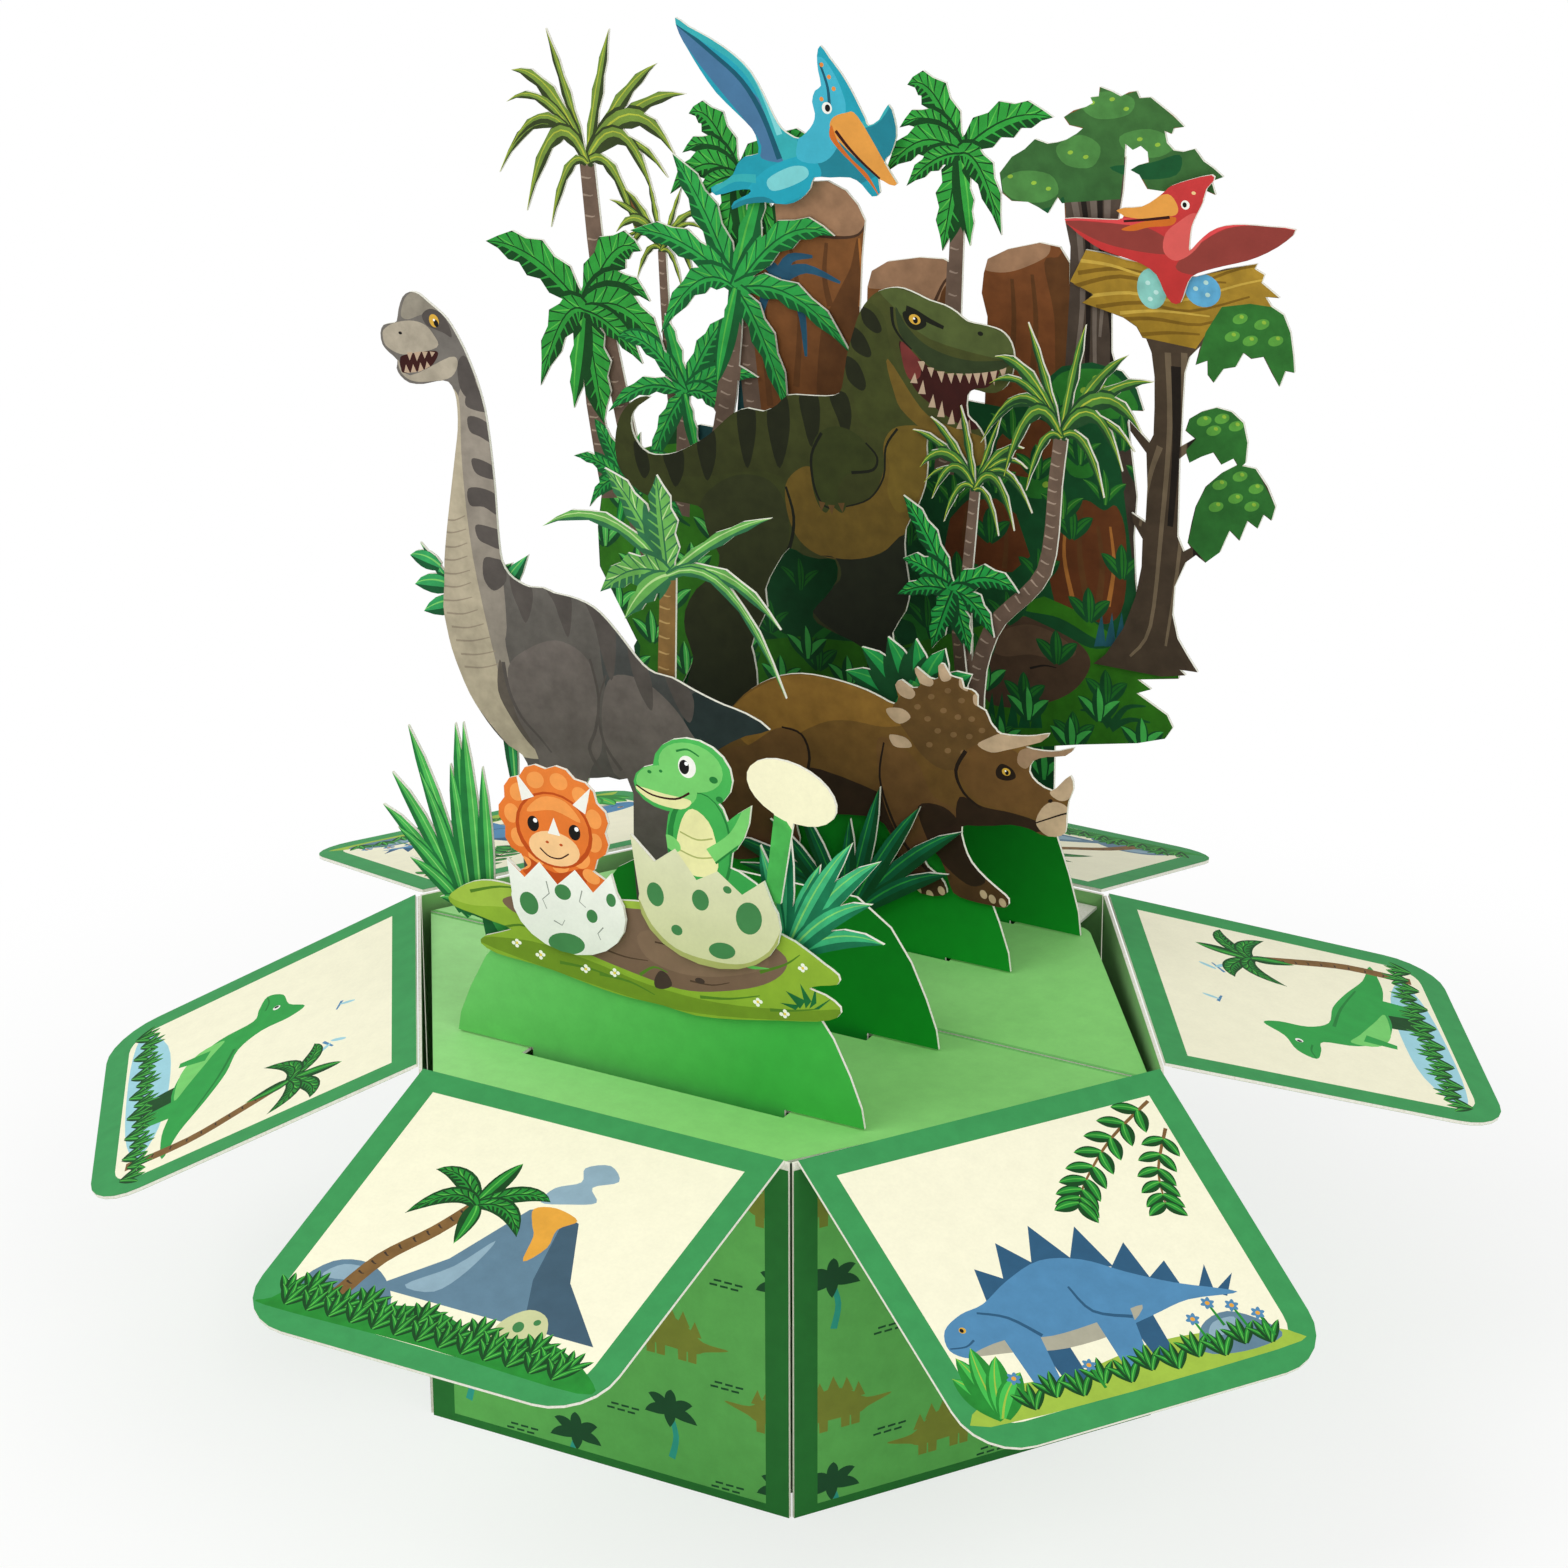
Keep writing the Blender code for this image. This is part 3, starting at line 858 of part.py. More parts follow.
def build_hills(card):
    """Stand the four hills on the deck, each on its own crease at the face that the deck rises to."""
    for index in range(4):
        front_half = index < 2
        parent = "deck_front" if front_half else "deck_rear"
        tilt = SHEET_DIP if front_half else -SHEET_DIP
        surface = CARD_THICKNESS / 2 if front_half else CARD_THICKNESS
        name = "hill_" + str(index + 1)
        card.axis(name, parent, (0.0, hill_seat(index), surface), (tilt, 0.0, 0.0))
        offset = -CARD_THICKNESS / 2 if front_half else CARD_THICKNESS / 2
        colour = "#5DB357" if index == 0 else "#0A8A22"
        card.piece(name, [hill_outline(index)], name, (0.0, offset, 0.0), (math.pi / 2, 0.0, 0.0), colour)
        card.axis(name + "_face", name, (0.0, offset, 0.0))


def horned_hatchling():
    """Give a hatchling with a scalloped neck frill, sitting in a broken egg."""
    width = HORNED_HATCHLING_WIDTH
    height = HORNED_HATCHLING_HEIGHT
    frill = scalloped((width * 0.44, height * 0.69), width * 0.40, height * 0.275, 11, 0.10, 3)
    egg = ellipse((width * 0.54, height * 0.25), width * 0.45, height * 0.25, 22)
    rim = scaled(HORNED_EGG_RIM_SHARES, width, height)
    return [frill, egg, rim]


def green_hatchling():
    """Give a hatchling with a round snout, waving over the edge of a broken egg."""
    width = GREEN_HATCHLING_WIDTH
    height = GREEN_HATCHLING_HEIGHT
    head = ellipse((width * 0.42, height * 0.85), width * 0.26, height * 0.15, 18)
    snout = ellipse((width * 0.25, height * 0.76), width * 0.22, height * 0.10, 16)
    body = ellipse((width * 0.46, height * 0.55), width * 0.22, height * 0.24, 16)
    arm = leaf((width * 0.54, height * 0.50), (width * 0.80, height * 0.76), -height * 0.04, width * 0.15)
    egg = ellipse((width * 0.52, height * 0.24), width * 0.47, height * 0.24, 22)
    rim = scaled(GREEN_EGG_RIM_SHARES, width, height)
    return [head, snout, body, arm, egg, rim]


def bubble():
    """Give a bare bubble on a stem."""
    width = BUBBLE_WIDTH
    height = BUBBLE_HEIGHT
    oval = ellipse((width * 0.5, height * 0.79), width * 0.5, height * 0.20, 24, math.radians(-14.0))
    return [oval, scaled(BUBBLE_STEM_SHARES, width, height)]


def traced(shares, width, height, steps=2):
    """Give one figure cut along its traced outline."""
    return [smooth_outline(scaled(shares, width, height), steps)]


def build_front_figures(card):
    """Glue the meadow, hatchlings and grass to the first hill."""
    hill = HILL_HEIGHT * HILL_HEIGHT_SHARES[0]
    width = hill_width(0)
    face = "hill_1_face"
    meadow = traced(MEADOW_SHARES, MEADOW_WIDTH, MEADOW_HEIGHT)
    card.standing("meadow", meadow, face, -0.504 * width, 0.534 * hill, 1, "#7FA52A")
    card.standing("horned_hatchling", horned_hatchling(), face, -0.364 * width, 0.772 * hill, 2, "#E0782F")
    green_up = 0.905 * hill
    card.standing("green_hatchling", green_hatchling(), face, -0.039 * width, green_up, 2, "#43B04F")
    bubble_place = -0.039 * width + 0.75 * GREEN_HATCHLING_WIDTH
    card.standing("bubble", bubble(), face, bubble_place, green_up + 0.345 * GREEN_HATCHLING_HEIGHT, 1, "#F3EFCB")
    tall = tuft(TALL_GRASS_SHARES, TALL_GRASS_WIDTH, TALL_GRASS_HEIGHT)
    card.standing("grass_left", tall, face, -0.680 * width, 0.490 * hill, -1, "#2E8F35")
    short = tuft(SHORT_GRASS_SHARES, SHORT_GRASS_WIDTH, SHORT_GRASS_HEIGHT)
    card.standing("grass_right", short, face, 0.251 * width, 0.564 * hill, -1, "#1F8A5A")


def build_middle_figures(card):
    """Glue the long-necked dinosaur and its plants to the second hill."""
    hill = HILL_HEIGHT * HILL_HEIGHT_SHARES[1]
    width = hill_width(0)
    face = "hill_2_face"
    sauropod = traced(SAUROPOD_SHARES, SAUROPOD_WIDTH, SAUROPOD_HEIGHT)
    card.standing("sauropod", sauropod, face, -0.916 * width, 0.406 * hill, 1, "#6E6A68")
    stems = tuft(LEAFY_STEMS_SHARES, LEAFY_STEMS_WIDTH, LEAFY_STEMS_HEIGHT)
    card.standing("leafy_stems", stems, face, -0.896 * width, 1.052 * hill, 0, "#1E8E3A")
    path = scaled(FERN_PALM_TRUNK_SHARES, FERN_PALM_REACH, FERN_PALM_HEIGHT)
    fern_palm = palm(path, FERN_PALM_REACH, FERN_CROWN_SHARES)
    card.standing("fern_palm", fern_palm, face, -0.214 * width, 0.426 * hill, -1, "#2F8B3A")


def build_horned_figures(card):
    """Glue the three-horned dinosaur, its grass and the ferns behind to the third hill."""
    hill = HILL_HEIGHT * HILL_HEIGHT_SHARES[2]
    width = hill_width(0)
    face = "hill_3_face"
    dinosaur = traced(HORNED_DINOSAUR_SHARES, HORNED_DINOSAUR_WIDTH, HORNED_DINOSAUR_HEIGHT)
    card.standing("horned_dinosaur", dinosaur, face, -0.576 * width, 0.412 * hill, 1, "#6A4A26")
    dark = tuft(DARK_GRASS_SHARES, DARK_GRASS_WIDTH, DARK_GRASS_HEIGHT)
    card.standing("dark_grass", dark, face, -0.292 * width, 0.207 * hill, 2, "#0F5E2C")
    ferns = tuft(FERN_BANK_SHARES, FERN_BANK_WIDTH, FERN_BANK_HEIGHT)
    card.standing("fern_bank", ferns, face, 0.0005 * width, 0.512 * hill, -1, "#1C7F36")


def build_rear_figures(card):
    """Glue the tyrant dinosaur and the palms beside it to the fourth hill."""
    hill = HILL_HEIGHT * HILL_HEIGHT_SHARES[3]
    width = hill_width(0)
    face = "hill_4_face"
    tyrant = traced(TYRANT_SHARES, TYRANT_WIDTH, TYRANT_HEIGHT)
    card.standing("tyrant_dinosaur", tyrant, face, -0.712 * width, 0.679 * hill, 1, "#4B4A1D")
    height = CURVED_PALM_HEIGHT
    path = scaled(CURVED_PALM_TRUNK_SHARES, height, height)
    palms = palm(smooth_path(path), CURVED_PALM_REACH, ARCHING_CROWN_SHARES)
    slim = scaled(SLIM_PALM_TRUNK_SHARES, SLIM_PALM_HEIGHT, SLIM_PALM_HEIGHT, -0.028 * height, 0.275 * height)
    palms += palm(slim, SLIM_PALM_REACH, ARCHING_CROWN_SHARES, True)
    card.standing("palm_pair", palms, face, 0.228 * width, 0.626 * hill, 2, "#3F8A3B")
    path = scaled(STAR_PALM_TRUNK_SHARES, STAR_PALM_HEIGHT, STAR_PALM_HEIGHT)
    star = palm(path, STAR_PALM_REACH, STAR_CROWN_SHARES)
    card.standing("star_palm", star, face, 0.170 * width, 0.721 * hill, 3, "#1C9440")


def smooth_path(points, steps=2):
    """Run an open curve through the points, with a few steps between each pair."""
    reach = [points[0]] + points + [points[-1]]
    path = []
    for before, start, end, after in zip(reach, reach[1:], reach[2:], reach[3:]):
        for step in range(steps):
            u = step / steps
            path.append(tuple(
                0.5 * (2 * b + (c - a) * u + (2 * a - 5 * b + 4 * c - d) * u * u
                       + (3 * b - a - 3 * c + d) * u ** 3)
                for a, b, c, d in zip(before, start, end, after)
            ))
    return path + [points[-1]]


def rear_palms(shares, width, height, crowns):
    """Give palms from rows of crown place, foot place and reach in shares of their sheet."""
    parts = []
    for (across, up, foot_across, foot_up, reach), (crown_shares, mirrored) in zip(shares, crowns):
        foot = (foot_across * width, foot_up * height)
        top = (across * width, up * height)
        middle = ((foot[0] + top[0] * 2) / 3, (foot[1] + top[1]) / 2)
        parts += palm(smooth_path([foot, middle, top]), reach * width, crown_shares, mirrored)
    return parts


def jungle():
    """Give the rear scenery: ground, undergrowth, rock pillars, palms and a spreading tree on one sheet."""
    half_foot = WALL_WIDTH / 2 - JUNGLE_FOOT_MARGIN
    parts = [rectangle(-half_foot, -JUNGLE_FOOT_DEPTH, half_foot, JUNGLE_HEIGHT * 0.22)]
    tables = (GROUND_SHARES, UNDERGROWTH_SHARES, PILLAR_LEFT_SHARES, PILLAR_MIDDLE_SHARES, PILLAR_RIGHT_SHARES,
              GREAT_TRUNK_SHARES, CANOPY_SHARES)
    parts += [scaled(shares, JUNGLE_WIDTH, JUNGLE_HEIGHT) for shares in tables]
    crowns = ((ARCHING_CROWN_SHARES, False), (ARCHING_CROWN_SHARES, True), (BROAD_CROWN_SHARES, True),
              (BROAD_CROWN_SHARES, True))
    return parts + rear_palms(REAR_PALM_SHARES, JUNGLE_WIDTH, JUNGLE_HEIGHT, crowns)


def palm_grove():
    """Give the bright palms that stand before the rocks on the left."""
    parts = [scaled(GROVE_BASE_SHARES, GROVE_WIDTH, GROVE_HEIGHT)]
    crowns = ((BROAD_CROWN_SHARES, False), (LONG_CROWN_SHARES, False), (LONG_CROWN_SHARES, True),
              (LONG_CROWN_SHARES, False))
    return parts + rear_palms(GROVE_PALM_SHARES, GROVE_WIDTH, GROVE_HEIGHT, crowns)


def nest_tree():
    """Give the tree on the right: a forked trunk, a nest on top and hanging leaf bunches."""
    tables = (NEST_TRUNK_SHARES, NEST_SHARES, NEST_LEAVES_TOP_SHARES, NEST_LEAVES_MIDDLE_SHARES,
              NEST_LEAVES_LOW_SHARES)
    return [scaled(shares, NEST_TREE_WIDTH, NEST_TREE_HEIGHT) for shares in tables]


def build_scenery(card):
    """Glue the rear scenery to the inside of the back wall, in three layers."""
    card.axis("scenery", "back", (WALL_WIDTH / 2, CARD_THICKNESS / 2, WALL_HEIGHT), (0.0, 0.0, -math.pi))
    card.axis("scenery_face", "scenery", (0.0, CARD_THICKNESS, 0.0))
    face = "scenery_face"
    card.standing("jungle_board", jungle(), face, 0.0, 0.0, 1, "#7A4A2E")
    card.standing("palm_grove", palm_grove(), face, -0.60 * JUNGLE_WIDTH, 0.170 * JUNGLE_HEIGHT, 2, "#2FA344")
    card.standing("nest_tree", nest_tree(), face, 0.222 * JUNGLE_WIDTH, 0.359 * JUNGLE_HEIGHT, 2, "#4A3323")
    nest_flyer = traced(NEST_FLYER_SHARES, NEST_FLYER_WIDTH, NEST_FLYER_HEIGHT)
    card.standing("nest_flyer", nest_flyer, face, 0.216 * JUNGLE_WIDTH, 0.905 * JUNGLE_HEIGHT, 3, "#C8323A")
    crested_flyer = traced(CRESTED_FLYER_SHARES, CRESTED_FLYER_WIDTH, CRESTED_FLYER_HEIGHT)
    card.standing("crested_flyer", crested_flyer, face, -0.424 * JUNGLE_WIDTH, 0.942 * JUNGLE_HEIGHT, 3, "#2C9CB8")


def main():
    """Build the whole card."""
    for leftover in list(bpy.data.objects):
        bpy.data.objects.remove(leftover, do_unlink=True)
    card = Card()
    build_box(card)
    build_flaps(card)
    build_sheets(card)
    build_deck_rests(card)
    build_hills(card)
    build_front_figures(card)
    build_middle_figures(card)
    build_horned_figures(card)
    build_rear_figures(card)
    build_scenery(card)
    bpy.context.view_layer.update()


main()
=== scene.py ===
"""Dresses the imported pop-up birthday card in printed paper and sets it in a plain studio.

The card is a six-sided folding box of printed board. Each flat sheet of the frame keeps its shape and
shows its bare paper core at the cut edges. Its printed faces are thin sheets of ink laid on the front and
back, cut from the sheet's own outline and divided into inks.
"""

import json
import logging
import math
from dataclasses import dataclass, field
from enum import Enum
from itertools import accumulate
from typing import Iterable, Sequence

import bpy
import numpy as np
from mathutils import Matrix, Vector
from mathutils.geometry import delaunay_2d_cdt


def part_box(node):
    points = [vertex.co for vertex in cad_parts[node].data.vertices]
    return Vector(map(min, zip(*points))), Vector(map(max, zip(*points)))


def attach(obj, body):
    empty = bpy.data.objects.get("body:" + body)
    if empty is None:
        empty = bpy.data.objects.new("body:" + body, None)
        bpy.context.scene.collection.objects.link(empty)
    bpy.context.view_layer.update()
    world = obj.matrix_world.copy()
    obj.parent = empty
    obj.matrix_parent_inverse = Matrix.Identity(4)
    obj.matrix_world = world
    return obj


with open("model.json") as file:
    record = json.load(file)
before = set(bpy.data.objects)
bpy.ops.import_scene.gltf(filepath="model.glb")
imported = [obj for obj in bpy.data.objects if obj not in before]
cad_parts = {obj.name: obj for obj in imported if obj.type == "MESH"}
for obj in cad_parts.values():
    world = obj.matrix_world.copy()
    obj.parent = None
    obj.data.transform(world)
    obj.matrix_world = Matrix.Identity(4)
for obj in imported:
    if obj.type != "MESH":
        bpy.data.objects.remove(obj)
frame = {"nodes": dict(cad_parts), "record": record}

LOG = logging.getLogger("pop_up_card")
MM = 0.001
# How far the ink lies off the paper, in metres
INK_LIFT = 0.03 * MM
# How far shapes run past a sheet's edge, in millimetres
OVERSHOOT = 1.0
# The first millimetre beside a rim crease is worn to bare paper, which also leaves a lowered flap its room
FOLD_BARE = 1.0
# How many pieces a curve has between two of its points, and how many points an oval has
CURVE_STEPS = 4
OVAL_STEPS = 24
# Points nearer than this, in millimetres, become one when a sheet is cut
MERGE = 1e-4
# A face that looks this much along a side's own way, as a cosine, belongs to that side
FACING = 0.99
# The height of the box's rim, in metres
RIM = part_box("wall_front")[1].z
WALLS = ("front", "front_right", "back_right", "back", "back_left", "front_left")
BODY_OF = {node: body for body, nodes in frame["record"]["behaviour"]["bodies"].items() for node in nodes}
SLOT_OF = {part["node"]: part["material_slot"] for part in frame["record"]["subparts"]}

Point = tuple[float, float]
Loop = list[Point]
Division = tuple[np.ndarray, np.ndarray, np.ndarray]


class Lay(Enum):
    """Which way a sheet's printed face looks at rest."""

    FORWARD = (0.0, -1.0, 0.0)
    UPWARD = (0.0, 0.0, 1.0)
    OUTWARD = None


class Side(Enum):
    """The faces of a sheet that carry ink."""

    FRONT = 1
    BACK = -1


def linear(hex_code: str) -> tuple[float, float, float, float]:
    """Turn an sRGB hex colour into the linear colour that a shader takes.

    Args:
        hex_code: The colour as #RRGGBB.

    Returns:
        Linear red, green and blue, with an alpha of one.
    """
    channels = [int(hex_code[index:index + 2], 16) / 255 for index in (1, 3, 5)]
    red, green, blue = (c / 12.92 if c <= 0.04045 else ((c + 0.055) / 1.055) ** 2.4 for c in channels)
    return red, green, blue, 1.0


def add_node(tree: bpy.types.NodeTree, kind: str, inputs: dict | None = None, **settings) -> bpy.types.Node:
    """Add a shader node with its settings, values and links.

    Args:
        tree: The tree that takes the node.
        kind: The node's type name.
        inputs: Values by socket name or number; an output socket is linked instead.
        **settings: Properties of the node itself.

    Returns:
        The new node.
    """
    node = tree.nodes.new(kind)
    for key, value in settings.items():
        setattr(node, key, value)
    for key, value in (inputs or {}).items():
        if isinstance(value, bpy.types.NodeSocket):
            tree.links.new(value, node.inputs[key])
        else:
            node.inputs[key].default_value = value
    return node


def new_surface(name: str) -> tuple[bpy.types.Material, bpy.types.NodeTree, bpy.types.Node]:
    """Make a material, and give it with its node tree and its shader."""
    material = bpy.data.materials.new(name)
    material.use_nodes = True
    return material, material.node_tree, material.node_tree.nodes["Principled BSDF"]


@dataclass(frozen=True)
class PrintedBoard:
    """Matt coated board printed by offset litho: flat ink with a faint mottle over the tooth of the paper."""

    name: str
    ink: str
    shade: str | None = None
    start: tuple[float, float, float] = (0.0, 0.0, 50.0)
    end: tuple[float, float, float] = (0.0, 0.0, 60.0)
    mottle_mm: float = 2.6
    mottle: float = 0.07
    fibre_mm: float = 0.45
    roughness: float = 0.7
    gloss: float = 0.18

    def build(self) -> bpy.types.Material:
        """Make the material.

        Returns:
            A material whose ink may run from one colour to another between two places given in millimetres.
        """
        material, tree, shader = new_surface(self.name)
        place = add_node(tree, "ShaderNodeTexCoord").outputs["Object"]
        mottle = add_node(tree, "ShaderNodeTexNoise", {
            "Vector": place, "Scale": 1 / (self.mottle_mm * MM), "Detail": 3.0, "Roughness": 0.55})
        # Paper fibres are about 0.03 mm wide, too fine to show, so they are drawn 0.45 mm apart
        fibre = add_node(tree, "ShaderNodeTexNoise", {
            "Vector": place, "Scale": 1 / (self.fibre_mm * MM), "Detail": 2.0, "Roughness": 0.6})
        if self.shade:
            run = Vector(self.end) - Vector(self.start)
            along = add_node(tree, "ShaderNodeVectorMath", {
                0: place, 1: run.normalized()}, operation="DOT_PRODUCT")
            low = Vector(self.start).dot(run.normalized()) * MM
            blend = add_node(tree, "ShaderNodeMapRange", {
                "Value": along.outputs["Value"], "From Min": low, "From Max": low + run.length * MM})
            base = add_node(tree, "ShaderNodeMix", {
                0: blend.outputs["Result"], 6: linear(self.ink), 7: linear(self.shade)},
                data_type="RGBA").outputs[2]
        else:
            base = linear(self.ink)
        uneven = add_node(tree, "ShaderNodeMapRange", {
            "Value": mottle.outputs["Fac"], "From Min": 0.3, "From Max": 0.7,
            "To Min": 1 - self.mottle, "To Max": 1 + self.mottle})
        speckle = add_node(tree, "ShaderNodeMapRange", {
            "Value": fibre.outputs["Fac"], "From Min": 0.3, "From Max": 0.7, "To Min": 0.98, "To Max": 1.02})
        value = add_node(tree, "ShaderNodeMath", {
            0: uneven.outputs["Result"], 1: speckle.outputs["Result"]}, operation="MULTIPLY")
        inked = add_node(tree, "ShaderNodeHueSaturation", {"Value": value.outputs[0], "Color": base})
        tree.links.new(inked.outputs["Color"], shader.inputs["Base Color"])
        sheen = add_node(tree, "ShaderNodeMapRange", {
            "Value": fibre.outputs["Fac"], "To Min": self.roughness - 0.05, "To Max": self.roughness + 0.07})
        tree.links.new(sheen.outputs["Result"], shader.inputs["Roughness"])
        tooth = add_node(tree, "ShaderNodeBump", {
            "Strength": 0.25, "Distance": 0.02 * MM, "Height": fibre.outputs["Fac"]})
        tree.links.new(tooth.outputs["Normal"], shader.inputs["Normal"])
        shader.inputs["IOR"].default_value = 1.48
        shader.inputs["Specular IOR Level"].default_value = self.gloss
        return material


@dataclass(frozen=True)
class PaperCore:
    """Bare paperboard as it shows at a die-cut edge: off-white, dull and slightly furry."""

    name: str = "bare_paperboard_core"
    colour: str = "#EFEEE2"
    fleck: str = "#D9D6C3"
    fibre_mm: float = 0.30
    roughness: float = 0.85

    def build(self) -> bpy.types.Material:
        """Make the material.

        Returns:
            A material with pale fibres running through it.
        """
        material, tree, shader = new_surface(self.name)
        place = add_node(tree, "ShaderNodeTexCoord").outputs["Object"]
        # Ground wood pulp: fibres are 1 to 3 mm long, drawn as 0.3 mm flecks so that they show
        fibre = add_node(tree, "ShaderNodeTexNoise", {
            "Vector": place, "Scale": 1 / (self.fibre_mm * MM), "Detail": 4.0, "Roughness": 0.7})
        amount = add_node(tree, "ShaderNodeMapRange", {
            "Value": fibre.outputs["Fac"], "From Min": 0.42, "From Max": 0.72})
        colour = add_node(tree, "ShaderNodeMix", {
            0: amount.outputs["Result"], 6: linear(self.colour), 7: linear(self.fleck)}, data_type="RGBA")
        tree.links.new(colour.outputs[2], shader.inputs["Base Color"])
        fur = add_node(tree, "ShaderNodeBump", {
            "Strength": 0.4, "Distance": 0.04 * MM, "Height": fibre.outputs["Fac"]})
        tree.links.new(fur.outputs["Normal"], shader.inputs["Normal"])
        shader.inputs["Roughness"].default_value = self.roughness
        shader.inputs["IOR"].default_value = 1.46
        return material


class InkBook:
    """Keeps one material for each finish, built when it is first used."""

    def __init__(self) -> None:
        """Start with no inks mixed."""
        self.materials: dict[str, bpy.types.Material] = {}

    def take(self, finish: PrintedBoard | PaperCore) -> bpy.types.Material:
        """Give the material of a finish."""
        if finish.name not in self.materials:
            self.materials[finish.name] = finish.build()
        return self.materials[finish.name]


@dataclass
class Artwork:
    """Flat shapes in millimetres, each in one ink and laid over the shapes before it."""

    shapes: list[tuple[PrintedBoard, Loop]] = field(default_factory=list)

    def fill(self, ink: PrintedBoard, points: Iterable[Point]) -> None:
        """Lay down a shape with straight sides."""
        self.shapes.append((ink, [tuple(point) for point in points]))

    def panel(self, ink: PrintedBoard, left: float, foot: float, right: float, top: float) -> None:
        """Lay down a rectangle."""
        self.fill(ink, [(left, foot), (right, foot), (right, top), (left, top)])

    def blob(self, ink: PrintedBoard, points: Sequence[Point]) -> None:
        """Lay down a shape whose edge runs smoothly through its points."""
        self.fill(ink, smooth(points, CURVE_STEPS))

    def oval(self, ink: PrintedBoard, centre: Point, wide: float, high: float, turn: float = 0.0) -> None:
        """Lay down an oval.

        Args:
            ink: Its ink.
            centre: Its middle.
            wide: Its full width.
            high: Its full height.
            turn: How far it is turned, in degrees.
        """
        cosine = math.cos(math.radians(turn))
        sine = math.sin(math.radians(turn))
        points = []
        for step in range(OVAL_STEPS):
            angle = math.tau * step / OVAL_STEPS
            x = wide / 2 * math.cos(angle)
            y = high / 2 * math.sin(angle)
            points.append((centre[0] + x * cosine - y * sine, centre[1] + x * sine + y * cosine))
        self.fill(ink, points)

    def stroke(self, ink: PrintedBoard, points: Sequence[Point], start: float, end: float | None = None,
               steps: int = CURVE_STEPS) -> None:
        """Lay down a brush stroke along a smooth line.

        Args:
            ink: Its ink.
            points: The line that it follows.
            start: Its width at the first point.
            end: Its width at the last point, the same as the first if left out.
            steps: How many pieces each span is cut into.
        """
        line = smooth_line(points, steps)
        last = start if end is None else end
        halves = [(start + (last - start) * index / (len(line) - 1)) / 2 for index in range(len(line))]
        left = [beside(line, index, half) for index, half in enumerate(halves)]
        right = [beside(line, index, -half) for index, half in enumerate(halves)]
        self.fill(ink, left + right[::-1])

    def placed(self, across: float, up: float, size: float, flip: bool) -> "Artwork":
        """Give a copy moved to a place, grown by a size and perhaps mirrored left to right."""
        side = -size if flip else size
        return Artwork([(ink, [(across + x * side, up + y * size) for x, y in loop])
                        for ink, loop in self.shapes])

    def add(self, other: "Artwork") -> None:
        """Lay another artwork over this one."""
        self.shapes.extend(other.shapes)


def smooth(points: Sequence[Point], steps: int) -> Loop:
    """Run a closed curve through points.

    Args:
        points: Places that it passes.
        steps: Pieces between each pair.

    Returns:
        The closed curve's points.
    """
    count = len(points)
    loop = []
    for index in range(count):
        corners = [points[(index + offset) % count] for offset in (-1, 0, 1, 2)]
        loop.extend(span(corners, step / steps) for step in range(steps))
    return loop


def smooth_line(points: Sequence[Point], steps: int) -> Loop:
    """Run an open curve through points.

    Args:
        points: Places that it passes.
        steps: Pieces between each pair.

    Returns:
        The curve's points.
    """
    if len(points) < 3:
        return list(points)
    padded = [points[0], *points, points[-1]]
    line = []
    for index in range(len(points) - 1):
        line.extend(span(padded[index:index + 4], step / steps) for step in range(steps))
    return line + [tuple(points[-1])]


def beside(line: Loop, index: int, distance: float) -> Point:
    """Give the place at a distance to the left of a line's point."""
    x, y = line[index]
    before = line[max(index - 1, 0)]
    after = line[min(index + 1, len(line) - 1)]
    length = math.dist(before, after) or 1.0
    return x - (after[1] - before[1]) / length * distance, y + (after[0] - before[0]) / length * distance


def span(corners: Sequence[Point], u: float) -> Point:
    """Give a place on a Catmull-Rom span.

    Args:
        corners: The place before, the two ends and the place after.
        u: How far along it is, from zero to one.

    Returns:
        The place.
    """
    return tuple(0.5 * (2 * b + (c - a) * u + (2 * a - 5 * b + 4 * c - d) * u * u
                        + (3 * b - a - 3 * c + d) * u ** 3) for a, b, c, d in zip(*corners))


@dataclass(frozen=True)
class Plane:
    """The plane of a sheet's printed face, with its own millimetre axes."""

    origin: Vector
    across: Vector
    up: Vector

    def normal(self) -> Vector:
        """Give the way that the face looks."""
        return self.across.cross(self.up)

    def flat(self, place: Vector) -> Point:
        """Give a place's millimetres across and up."""
        offset = place - self.origin
        return offset.dot(self.across) / MM, offset.dot(self.up) / MM

    def lifted(self, point: Point, height: float) -> Vector:
        """Give the place of a flat point at a height above the face."""
        return (self.origin + self.across * (point[0] * MM) + self.up * (point[1] * MM)
                + self.normal() * height)


